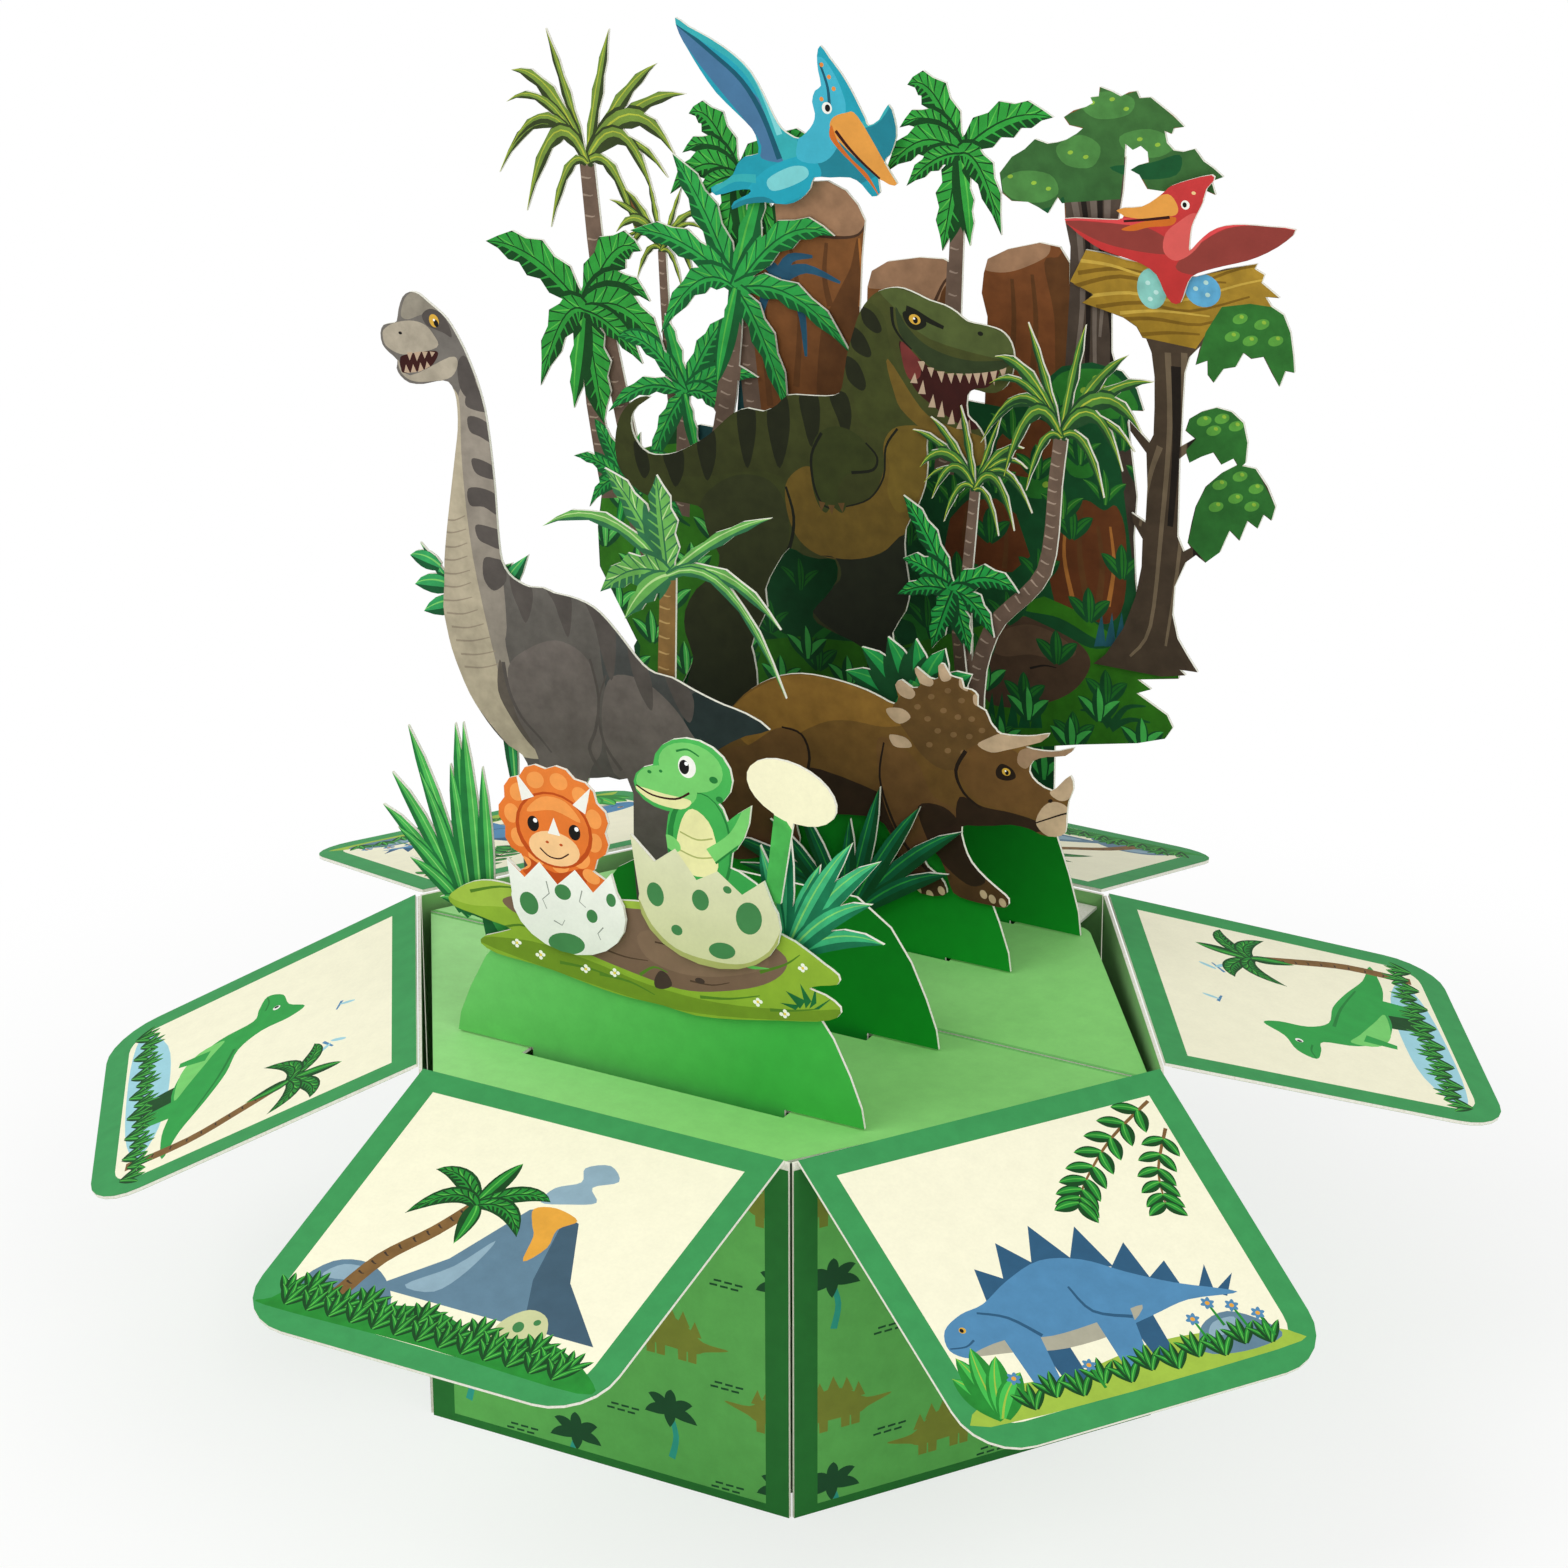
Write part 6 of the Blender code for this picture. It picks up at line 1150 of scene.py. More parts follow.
CRESTED_FLYER_MARKS = (
    # Near wing web
    (BLOB, FLYER_WEB, (-384, 1136, 40, -50, 86, -86, 7, -29, 45, 5, -24, 46, -36, 39, -93, 64)),
    (STROKE, FLYER_LINE, (-380, 1139, 51, -32, 48, -34, 33, -45, 24, -54), 0.5, 0.9),
    (STROKE, FLYER_EDGE, (-380, 1146, 42, -18, 48, -21, 34, -29, 23, -40, 18, -36, 15, -30), 1.6, 3.4),
    (STROKE, FLYER_SHINE, (-359, 1139, 51, -21, 42, -30, 24, -40, 18, -41), 0.5, 0.9),
    # Far wing web
    (BLOB, FLYER_WEB_FAR, (-170, 949, 3, 35, 21, 30, 54, 22, 17, 11, 15, 23, 18, -43, -15, -36, -35, -29, -42,
     -14)),
    (STROKE, FLYER_EDGE, (-158, 999, 39, 29, 38, 16, 19, 24), 1.2, 0.6),
    (BLOB, FLYER_BODY, (-285, 900, 19, 36, 27, 25, 39, 19, 24, 3, 15, -20, -15, -26, -39, -22, -36, -16)),
    (BLOB, FLYER_SHINE, (-242, 944, 33, 21, 24, 3, 3, -13, -27, -17, -27, -9)),
    (BLOB, FLYER_HEAD, (-197, 978, 3, 33, 12, 33, 6, 34, 0, 32, 15, 9, 18, -19, 12, -22, 6, -26, -12, -50,
     -24, -25)),
    (STROKE, FLYER_LINE, (-164, 1111, 12, -31, 3, -31), 0.3, 0.5),
    (OVAL, FLYER_DOT, (-161, 1109), (-150, 1094), (-143, 1079), (-161, 1063), 0.6, 0.6),
    (BLOB, FLYER_BEAK, (-146, 1038, 21, 11, 18, -3, 44, -62, 18, -22, -17, -2, -33, 20, -48, 37)),
    (BLOB, FLYER_BEAK_LOW, (-146, 1030, 9, -20, 21, -22, 24, -18, 18, -28, -15, 17, -21, 19, -24, 19, -15,
     17)),
    (STROKE, MOUTH_RED, (-140, 1023, 18, -19, 21, -18, 27, -19), 0.5, 0.3),
    (OVAL, EYE_WHITE, (-153, 1052), 1.5, 1.6),
    (OVAL, PUPIL, (-152, 1052), 0.8, 1),
    (BLOB, FLYER_WEB_FAR, (-303, 889, 18, 19, 37, 11, 18, -9, -24, -14, -28, -9)),
    (STROKE, FLYER_EDGE, (-326, 917, 32, 21, 34, 4), 0.7, 1.2),
)

NEST_FLYER_MARKS = (
    # Near wing web
    (BLOB, RED_WEB, (196, 948, 54, 4, 50, 4, 40, -13, 12, -17, -37, -5, -56, 3, -37, 10), (352, 908, 27, 30,
     40, 29, 49, 12, 52, 2, -39, -37, -54, -28, -47, -15)),
    (STROKE, RED_EDGE, (190, 950, 40, 6, 45, 2, 39, 2), 0.7, 1),
    (STROKE, RED_EDGE, (520, 981, -52, 1, -49, -10, -35, -23), 0.5, 0.9),
    (BLOB, RED_LIGHT, (337, 950, 19, 19, 19, 13, 17, -6, -2, -24, -16, -23, -22, -13, -17, 10)),
    (OVAL, RED_DOT, (374, 1008), (390, 1002), 0.6, 0.45),
    (BLOB, FLYER_BEAK, (264, 967, 16, 10, 30, 12, 28, 13, 14, -13, -2, -13, -25, -6, -28, -6)),
    (BLOB, FLYER_BEAK_LOW, (275, 947, 25, 12, 28, 10, 22, 4, -5, -11, -31, -7, -22, -8)),
    (STROKE, MOUTH_RED, (278, 958, 30, 6, 34, 8), 0.3, 0.4),
    (OVAL, EYE_WHITE, (363, 991), 1.2, 1.2),
    (OVAL, PUPIL, (362, 991), 0.6, 0.7),
)

NEST_TREE_MARKS = (
    # Trunk
    (STROKE, BARK_LIGHT, (342, 790, 6, -99, -7, -139, -12, -142, -28, -48), (365, 793, 4, -126, -1, -138, -16,
     -143), (335, 661, -13, -43, -12, -71), 0.9, 0.35),
    (STROKE, GLOOM, (379, 790, 1, -121, 11, -136, 10, -138), (354, 773, 4, -108, -5, -111), 1.4, 0.8),
    # Nest
    (FILL, NEST_STRAW, (201, 865, 22, 46, 90, -8, 23, -10, 42, 4, 84, 29, -3, -7, 14, -6, -4, -11, 25, -16,
     -19, -2, 9, -12, -66, -11, -37, -60, -75, 4, -8, 13, -19, 10, -60, 11, 17, 13)),
    (STROKE, NEST_TWIG, (204, 858, 68, 24, 84, -2, 82, 36, 54, 13), (212, 878, 59, 14, 71, -3, 78, 6), (239,
     836, 62, 15, 70, -1, 82, 31), (259, 821, 57, 11, 70, 2, 54, 27), (302, 808, 42, 9, 42, 4), 0.6, 0.25),
    (STROKE, NEST_PALE, (215, 895, 42, 0, 57, -7, 70, 10), (224, 848, 62, 14, 71, 0, 82, 33, 54, 18), (273,
     833, 56, 11, 70, 3), 0.5, 0.2),
    (OVAL, EGG_TEAL, (317, 872), 4.2, 5.4, 4),
    (OVAL, EGG_BLUE, (388, 880), 5, 4.4),
    (OVAL, EGG_SPOT, (311, 879), (323, 868), (315, 858), (378, 881), (395, 875), (392, 891), 0.7, 0.6),
    # Leaf bunches
    (FILL, TREE_LEAF, (415, 862, 39, 10, 30, 0, 17, -8, 10, -22, 8, -52, -12, 1, -8, -23, -23, 37, -17, -5,
     -11, 6, -10, -20, -17, -6, -13, -20, -9, 9, -1, 19, -16, -8, 12, 45), (371, 689, 5, 17, 17, 12, 20, 9,
     21, -2, 18, -12, 6, -26, -2, -28, -8, -9, -8, 12, -17, -11, -12, 15, -33, -20, -6, 16, 14, 18), (389,
     588, 13, 29, 22, 23, 22, 15, 25, -2, 29, -46, -4, -20, -12, 6, -7, -21, -15, 9, -10, -29, -14, 11, -13,
     -33, -19, -17, -27, 23)),
    (OVAL, TREE_LEAF_LIT, (441, 850), (471, 847), (491, 828), (456, 823), (431, 825), (396, 706), (421, 713),
     (441, 706), (410, 695), (421, 623), (449, 639), (472, 626), (444, 608), (417, 592), (467, 601), 2.2, 1.3,
     25),
    (OVAL, LEAF_GLOW, (443, 853), (474, 850), (494, 832), (458, 826), (433, 828), (398, 710), (424, 716),
     (443, 709), (413, 698), (424, 627), (452, 642), (474, 630), (447, 611), (420, 596), (470, 604), 0.6,
     0.5),
)

PALM_GROVE_MARKS = (
    # Bank under the palms
    (FILL, JUNGLE_GRASS, (-508, 480, 30, 37, 45, 19, 64, 17, 53, 3, 28, -39, -10, -75, -32, -94, -27, -94,
     -39, -83, -66, -12, 8, 77, -63, 109, -2, 59)),
    (STROKE, GLOOM_GREEN, (-482, 470, 32, 20, 32, -10), (-435, 419, 33, 20, 31, -9), (-354, 491, 25, 13, 22,
     -8), (-452, 356, 33, 18, 32, -9), 1.4, 0.3),
)


@dataclass(frozen=True)
class LeafInks:
    """The inks of a leaf: its shaded half, its lit half and its rib."""

    deep: PrintedBoard
    lit: PrintedBoard
    rib: PrintedBoard


FRESH_FROND = LeafInks(FROND_GREEN_DEEP, FROND_GREEN, FROND_GREEN_RIB)


# How many pieces a leaf's rib is cut into
RIB_STEPS = 10


@dataclass(frozen=True)
class Leaf:
    """A pointed leaf or frond whose rib bows upward on its way, in millimetres."""

    root: Point
    tip: Point
    rise: float
    width: float
    inks: LeafInks
    combed: bool = False

    def rib(self) -> Loop:
        """Give the line of the rib from root to tip."""
        bend = ((self.root[0] + self.tip[0]) / 2, (self.root[1] + self.tip[1]) / 2 + self.rise)
        shares = [step / RIB_STEPS for step in range(RIB_STEPS + 1)]
        return [tuple((1 - u) ** 2 * a + 2 * u * (1 - u) * b + u ** 2 * c
                      for a, b, c in zip(self.root, bend, self.tip)) for u in shares]

    def edge(self, share: float) -> Loop:
        """Give a line beside the rib.

        Args:
            share: How far it lies toward the upper edge, or toward the lower one if negative.

        Returns:
            The line's points.
        """
        line = self.rib()
        side = 1.0 if self.tip[0] >= self.root[0] else -1.0
        points = []
        for index in range(len(line)):
            # A leaf is narrow at its stalk, swells soon after it and ends in a point
            swell = max(math.sin(math.pi * (0.12 + 0.88 * index / RIB_STEPS)), 0.0) ** 0.8
            points.append(beside(line, index, swell * self.width / 2 * share * side))
        return points

    def paint(self, art: Artwork) -> None:
        """Paint the shaded leaf, its lit half, the comb of leaflets on a broad frond, and the rib."""
        art.fill(self.inks.deep, self.edge(1.25) + self.edge(-1.25)[::-1])
        art.fill(self.inks.lit, self.edge(0.92) + self.edge(-0.30)[::-1])
        if self.combed:
            line = self.rib()
            upper = self.edge(0.90)
            lower = self.edge(-0.90)
            # Leaflets are brushed about 0.6 mm apart, and every second one is drawn, twice as wide
            for index in range(1, RIB_STEPS - 1):
                art.stroke(self.inks.deep, [line[index], upper[index + 1]], 0.10, 0.26)
                art.stroke(self.inks.lit, [line[index], lower[index + 1]], 0.42, 0.12)
                if index % 2:
                    art.stroke(self.inks.rib, [line[index], upper[min(index + 2, RIB_STEPS)]], 0.22, 0.08)
            art.stroke(self.inks.deep, line, 0.30, 0.12, 1)
        else:
            art.stroke(self.inks.rib, self.edge(0.35), max(self.width * 0.12, 0.16), 0.08, 1)


# Palm rings are about 1 mm apart at this scale, drawn every 1.5 mm so that they show
RING_PITCH = 1.5
# Fronds broader than this share of the crown's reach show their leaflets
COMBED = 0.24
# A trunk's width at its foot, as a share of the crown's reach, and what is left of it at the top
GIRTH = 0.24
TAPER = 0.8


@dataclass(frozen=True)
class Palm:
    """A palm on its ringed trunk.

    Attributes:
        path: The trunk's line from its foot to the crown, in millimetres.
        reach: The crown's size.
        crown: Rows of tip place, rise and width in hundredths of the reach.
        leaves: The fronds' inks.
        bark: The trunk's ink.
        ring: The ink of the rings that old fronds leave.
        mirrored: Whether the crown is turned left to right.
    """

    path: tuple[Point, ...]
    reach: float
    crown: tuple[tuple[int, int, int, int], ...]
    leaves: LeafInks
    bark: PrintedBoard
    ring: PrintedBoard
    mirrored: bool = False

    def paint(self, art: Artwork) -> None:
        """Paint the trunk and then the fronds."""
        wide = self.reach * GIRTH
        art.stroke(self.bark, self.path, wide, wide * TAPER)
        line = smooth_line(self.path, 8)
        passed = 0.0
        for start, end in zip(line, line[1:]):
            step = math.dist(start, end)
            passed += step
            if passed < RING_PITCH or not step:
                continue
            passed = 0.0
            across = ((end[1] - start[1]) / step * wide * 0.3, -(end[0] - start[0]) / step * wide * 0.3)
            art.stroke(self.ring, [(end[0] - across[0], end[1] - across[1]), (end[0], end[1] - 0.15),
                                   (end[0] + across[0] * 0.4, end[1] + across[1] * 0.4)], 0.30, 0.10, 2)
        side = -1 if self.mirrored else 1
        centre = self.path[-1]
        for row in self.crown:
            across, up, rise, width = (share / 100 for share in row)
            tip = (centre[0] + side * across * self.reach, centre[1] + up * self.reach)
            Leaf(centre, tip, rise * self.reach, width * self.reach, self.leaves, width > COMBED).paint(art)


def tuft(rows: Iterable[tuple], place: Point, size: Point, inks: LeafInks) -> Artwork:
    """Paint a tuft of leaves.

    Args:
        rows: Root, tip, rise and width of each leaf, in thousandths of the tuft's size.
        place: Its lower left corner, in millimetres.
        size: Its width and height.
        inks: The leaves' inks.

    Returns:
        The artwork.
    """
    art = Artwork()
    for row in rows:
        x0, y0, x1, y1, rise, breadth = (share / 1000 for share in row)
        root = (place[0] + x0 * size[0], place[1] + y0 * size[1])
        tip = (place[0] + x1 * size[0], place[1] + y1 * size[1])
        Leaf(root, tip, rise * size[1], breadth * size[0], inks).paint(art)
    return art


def standing(book: InkBook, node: str, ground: PrintedBoard, art: Artwork | None = None) -> None:
    """Print an upright cut-out on both faces."""
    PrintedSheet(node, Lay.FORWARD, ground, art or Artwork()).build(book, CORE)


def bare_fold(art: Artwork, edge: Loop) -> None:
    """Leave the paper bare along a sheet's upper edge, where it folds."""
    left = min(x for x, _ in edge) - OVERSHOOT
    right = max(x for x, _ in edge) + OVERSHOOT
    top = max(y for _, y in edge)
    art.panel(BARE, left, top - FOLD_BARE, right, top + OVERSHOOT)


@dataclass
class BoxWalls:
    """The six walls of the box, with a dark border and a half-drop pattern.

    Lengths are in millimetres. The first mark stands at first, columns are column_step apart and the marks in
    a column are rise apart. Beside each mark lie dashes, which start at their own place from its foot.
    """

    side_border: float = 3.3
    foot_border: float = 1.2
    top_border: float = 2.2
    first: Point = (6.0, 4.0)
    column_step: float = 15.136
    rise: float = 14.5
    dashes: Point = (5.28, -2.6)

    def build(self, book: InkBook) -> None:
        """Print the walls outside, and plain green inside."""
        for number, wall in enumerate(WALLS):
            node = "wall_" + wall
            plane = face_plane(node, Lay.OUTWARD)
            edge = sheet_outline(node, plane, Side.FRONT)[0]
            wide = max(x for x, _ in edge)
            high = max(y for _, y in edge)
            art = self.pattern(wide, high, number % 2 * self.rise / 2)
            bare_fold(art, edge)
            PrintedSheet(node, Lay.OUTWARD, BORDER_GREEN, art, LINING_GREEN, Artwork()).build(book, CORE)

    def pattern(self, wide: float, high: float, drop: float) -> Artwork:
        """Draw a wall's panel.

        Args:
            wide: The wall's width.
            high: Its height.
            drop: How far the pattern is moved down.

        Returns:
            The green panel, the pattern and the border over its edges.
        """
        art = Artwork()
        art.panel(WALL_GREEN, 0.0, 0.0, wide, high)
        for column in range(4):
            for row in range(-1, 4):
                across = self.first[0] + column * self.column_step
                up = row * self.rise + (self.rise / 2 if column % 2 else 0.0) - drop + self.first[1]
                if (column + row) % 2:
                    art.add(self.walker().placed(across, up, 1.2, row % 2 == 0))
                else:
                    art.add(self.tree().placed(across, up + 1.0, 1.1, column % 2 == 0))
                for dash in range(6):
                    x = across + self.dashes[0] + dash % 3 * 1.5 + dash // 3 * 0.6
                    y = up + self.dashes[1] + dash // 3 * 0.7
                    art.fill(PATTERN_DARK, [(x, y), (x + 1.1, y + 0.05), (x + 1.1, y + 0.35), (x, y + 0.3)])
        past = (-OVERSHOOT, -OVERSHOOT, wide + OVERSHOOT, high + OVERSHOOT)
        art.panel(BORDER_GREEN, *past[:2], self.side_border, past[3])
        art.panel(BORDER_GREEN, wide - self.side_border, *past[1:])
        art.panel(BORDER_GREEN, *past[:3], self.foot_border)
        art.panel(BORDER_GREEN, past[0], high - self.top_border, *past[2:])
        return art

    def walker(self) -> Artwork:
        """Draw a small plate-backed walker about 12 mm long."""
        art = Artwork()
        art.blob(PATTERN_OLIVE, [(-6.2, 1.9), (-5.0, 3.0), (-3.2, 4.0), (-0.8, 5.0), (1.6, 4.2), (3.6, 2.8),
                                 (6.6, 2.6), (3.8, 1.7), (2.4, 1.2), (-2.6, 1.3), (-4.6, 1.2)])
        for x in (-2.8, -1.6, 1.0, 2.2):
            art.fill(PATTERN_OLIVE, [(x - 0.5, 2.0), (x + 0.6, 2.0), (x + 0.55, 0.0), (x - 0.45, 0.0)])
        for x, y in ((-3.6, 3.7), (-2.0, 4.5), (-0.4, 4.9), (1.2, 4.4), (2.6, 3.5)):
            art.fill(PATTERN_OLIVE, [(x - 0.8, y - 0.3), (x, y + 1.5), (x + 0.8, y - 0.3)])
        return art

    def tree(self) -> Artwork:
        """Draw a small fern tree about 9 mm high."""
        art = Artwork()
        art.stroke(PATTERN_TEAL, [(0.4, -1.0), (-0.2, 2.0), (0.6, 5.0)], 0.9, 0.6)
        for x, y in ((-3.0, 4.2), (-2.4, 6.6), (0.4, 8.0), (3.4, 6.8), (3.9, 4.4), (0.6, 3.0)):
            Leaf((0.6, 5.0), (x, y), 0.8, 1.2, LeafInks(PATTERN_DARK, PATTERN_DARK, PATTERN_DARK)).paint(art)
        return art


@dataclass
class RimFlaps:
    """The six flaps round the rim: a green border round a cream panel with a picture."""

    border: float = 3.5

    def build(self, book: InkBook) -> None:
        """Print every flap's picture above and plain green below."""
        pictures = {"front": self.volcano, "front_right": self.plated_walk, "back_right": self.pond,
                    "back": self.volcano, "back_left": self.plated_walk, "front_left": self.pond}
        for wall, picture in pictures.items():
            node = "flap_" + wall
            edge = counter_clockwise(sheet_outline(node, face_plane(node, Lay.UPWARD), Side.FRONT)[0])
            art = Artwork()
            art.fill(FLAP_CREAM, inset(edge, self.border))
            art.add(picture())
            below = Artwork()
            bare_fold(below, edge)
            PrintedSheet(node, Lay.UPWARD, FLAP_GREEN, art, LINING_GREEN, below).build(book, CORE)

    def volcano(self) -> Artwork:
        """Draw a smoking volcano behind rocks, a fern tree and grass."""
        art = drawn((
            (BLOB, ROCK_BLUE_LIT, (270, 302, 35, 8, 31, 14, -18, 22, 26, 20, -24, 22, -28, -14, 8, -24, -26,
             -20)),
            (FILL, ROCK_BLUE, (150, 105, 64, 73, 50, 108, 20, 10, 28, -4, 22, -8, 42, -94, 80, -85)),
            (FILL, ROCK_BLUE_DEEP, (312, 292, 22, -8, 42, -94, 80, -85, -96, 0, -30, 75)),
            (BLOB, LAVA, (268, 289, 26, 10, 36, -11, -16, -22, 4, -32, -16, -30, -10, 42, -12, 18)),
            (BLOB, ROCK_BLUE_LIT, (186, 120, 40, 48, 26, 56, -6, -58, -20, -44)),
            (BLOB, ROCK_BLUE, (62, 80, 18, 46, 44, 12, 42, -24, 20, -38, -66, -10)),
            (BLOB, ROCK_BLUE_LIT, (80, 100, 16, 26, 38, 2, -14, -22)),
            (BLOB, SHELL_CREAM, (334, 74, -4, 32, 22, 28, 28, -6, 14, -34, -14, -26)),
            (OVAL, SHELL_SPOT, (354, 104), 1.4, 1.8, 20),
            (OVAL, SHELL_SPOT, (372, 118), 0.9, 1),
            (BLOB, FROND_GREEN, (42, 46, 38, 42, 80, -10, 80, 18, 80, -20, 80, 18, 76, -34, 0, -28, -216, 4,
             -218, -4)),
        ))
        self.fern_tree(art, ((11.6, 8.0), (13.4, 15.0), (17.2, 21.5), (19.6, 27.0)), 9.0)
        self.grass(art, [(5.5 + 2.6 * step, 5.6 + 1.4 * (step % 3 == 1)) for step in range(16)])
        self.grass(art, [(6.5 + 3.1 * step, 4.2) for step in range(13)])
        return art

    def plated_walk(self) -> Artwork:
        """Draw a blue-grey plated dinosaur below a leafy spray."""
        art = drawn((
            (BLOB, MEADOW_PALE, (44, 40, 36, 44, 100, -6, 120, 12, 120, -16, 54, -24, -34, -16)),
            (FILL, PLATED_DEEP, (126, 206, 8, 48, 34, -28), (160, 224, 18, 58, 36, -48), (204, 234, 26, 60,
             30, -64), (252, 226, 34, 50, 18, -70), (296, 202, 38, 34, 6, -58), (332, 174, 38, 22, 2, -42),
             (388, 142, 28, 34, -8, -42), (406, 134, 38, 20, -24, -30), (156, 140, 8, -76, 30, 0, -2, 76),
             (280, 140, 8, -76, 26, 0, 2, 76)),
            (BLOB, PLATED_BLUE, (48, 154, 8, 28, 30, 16, 34, 6, 44, 22, 54, 16, 52, -14, 46, -34, 50, -32, 70,
             -36, -66, 8, -56, -8, -74, -10, -70, 2, -44, 14, -30, 8, -28, -4)),
            (BLOB, PLATED_LIGHT, (70, 139, 50, 9, 60, -12, 70, 2, 60, 6, -40, -26, -80, -4, -66, 14)),
            (FILL, PLATED_BLUE, (120, 150, 6, -84, 32, 0, 8, 84), (242, 160, 2, -94, 34, 0, 18, 94)),
            (STROKE, PLATED_DEEP, (106, 194, 34, -18, 28, -36), (234, 196, 12, -42, 44, -22), 0.3, 0.5),
            (OVAL, EYE_GOLD, (77, 176), 0.9, 0.9),
            (OVAL, PUPIL, (76, 176), 0.5, 0.6),
            (STROKE, PLATED_DEEP, (50, 156, 20, -3, 14, 6), 0.2, 0.3),
            (BLOB, ROCK_BLUE, (350, 58, 16, 36, 42, 10, 38, -28, 10, -26, -56, -6)),
            (BLOB, ROCK_BLUE_LIT, (368, 76, 14, 18, 30, 0, -12, -18)),
        ))
        self.spray(art, ((47.6, 42.6), (40.0, 38.6), (33.6, 33.6), (31.0, 30.6)), 3.6)
        self.spray(art, ((47.6, 38.0), (43.4, 32.4), (41.6, 27.4)), 3.2)
        bush = LeafInks(FROND_GREEN, FRESH_LEAF, MEADOW_PALE)
        for lean, high in ((-3.4, 7.0), (-1.6, 9.6), (0.8, 10.4), (3.2, 8.4), (5.0, 5.4)):
            Leaf((6.6, 4.6), (6.6 + lean, 4.6 + high), 0.6, 2.6, bush).paint(art)
        self.grass(art, [(11.0 + 3.3 * step, 4.6 + 0.8 * (step % 2)) for step in range(11)])
        for x, y in ((36.0, 10.6), (39.0, 12.2), (41.8, 11.0), (44.4, 9.0), (10.4, 9.4), (20.2, 8.4)):
            art.stroke(FROND_GREEN, [(x, y), (x + 0.4, y - 3.6)], 0.3, 0.4)
            for turn in (0, 60, 120):
                art.oval(PLATED_BLUE, (x, y), 1.9, 0.7, turn)
            art.oval(LAVA, (x, y), 0.6, 0.6)
        return art

    def pond(self) -> Artwork:
        """Draw a green duck-billed dinosaur at a pond with a fern tree and dragonflies."""
        art = drawn((
            (BLOB, POND, (50, 56, 70, 40, 120, 8, 120, -10, 60, -28, -80, -22, -200, -4)),
            (BLOB, FROND_GREEN_DEEP, (260, 144, 10, -84, 30, 0, 6, 80)),
            (BLOB, YOUNG_GREEN, (110, 246, 16, 24, 38, 10, 28, 24, 14, -24, 2, -40, 26, -34, 54, -16, 54, -28,
             58, -36, 56, -22, -68, -4, -58, 10, -60, 0, -56, 20, -36, 46, -10, 50, -28, 8)),
            (BLOB, YOUNG_LIT, (186, 184, 4, -38, 40, -26, 70, -6, -34, 22, -50, 30)),
            (FILL, YOUNG_GREEN, (296, 150, 10, -86, 34, 0, 10, 76), (198, 164, -4, -46, 12, -2, 14, 40)),
            (STROKE, YOUNG_DEEP, (226, 200, 64, -22, 70, -34), 0.5, 0.25),
            (OVAL, EYE_WHITE, (158, 261), 1.1, 1.1),
            (OVAL, PUPIL, (156, 261), 0.6, 0.7),
            (STROKE, YOUNG_DEEP, (112, 246, 20, 3, 20, -5), 0.2, 0.3),
            (STROKE, PLATED_BLUE, (330, 334, 24, 14), 0.5, 0.3),
            (OVAL, POND, (342, 356), 2.6, 0.7, 60),
            (OVAL, POND, (350, 336), 2.4, 0.7, -50),
            (STROKE, PLATED_BLUE, (230, 360, 20, -8), 0.5, 0.3),
            (OVAL, POND, (242, 368), 2.4, 0.6, 70),
        ))
        self.fern_tree(art, ((43.2, 5.0), (43.6, 14.0), (41.6, 22.0), (39.6, 28.4)), 8.2)
        self.grass(art, [(5.8 + 2.9 * step, 4.4 + 0.9 * (step % 2)) for step in range(15)])
        return art

    def fern_tree(self, art: Artwork, path: tuple[Point, ...], reach: float) -> None:
        """Draw a tree with a bent ringed trunk and six arching fronds."""
        rows = ((-90, 45, 40, 26), (20, 95, 10, 22), (95, 40, 40, 26), (85, -35, 50, 26), (-85, -45, 60, 26),
                (10, -75, 20, 22))
        Palm(path, reach, rows, FRESH_FROND, BARK_TAN, BARK_DARK).paint(art)

    def spray(self, art: Artwork, path: tuple[Point, ...], size: float) -> None:
        """Draw a hanging stem with a pair of leaves at each step."""
        line = smooth_line(path, 3)
        art.stroke(BARK_TAN, path, 0.5, 0.2)
        for index, (x, y) in enumerate(line[1:], 1):
            before = line[index - 1]
            angle = math.atan2(y - before[1], x - before[0])
            for side in (-0.9, 0.9):
                tip = (x + size * math.cos(angle + side), y + size * math.sin(angle + side))
                Leaf((x, y), tip, 0.2, size * 0.42, FRESH_FROND).paint(art)

    def grass(self, art: Artwork, places: Iterable[Point]) -> None:
        """Draw clumps of four blades."""
        for x, y in places:
            for lean in (-2.2, -0.8, 0.7, 2.4):
                Leaf((x, y), (x + lean, y + 4.2 - abs(lean) * 0.6), 0.3, 0.9, FRESH_FROND).paint(art)


def inset(loop: Loop, distance: float) -> Loop:
    """Move a convex outline inward.

    Args:
        loop: The outline, turning to the left.
        distance: How far each side moves.

    Returns:
        The smaller outline.
    """
    moved = []
    for before, here, after in zip(loop[-1:] + loop[:-1], loop, loop[1:] + loop[:1]):
        first = Vector((here[0] - before[0], here[1] - before[1])).normalized()
        second = Vector((after[0] - here[0], after[1] - here[1])).normalized()
        inward = Vector((-first.y - second.y, first.x + second.x)).normalized()
        reach = distance / max(inward.dot(Vector((-first.y, first.x))), 0.2)
        moved.append((here[0] + inward.x * reach, here[1] + inward.y * reach))
    return moved


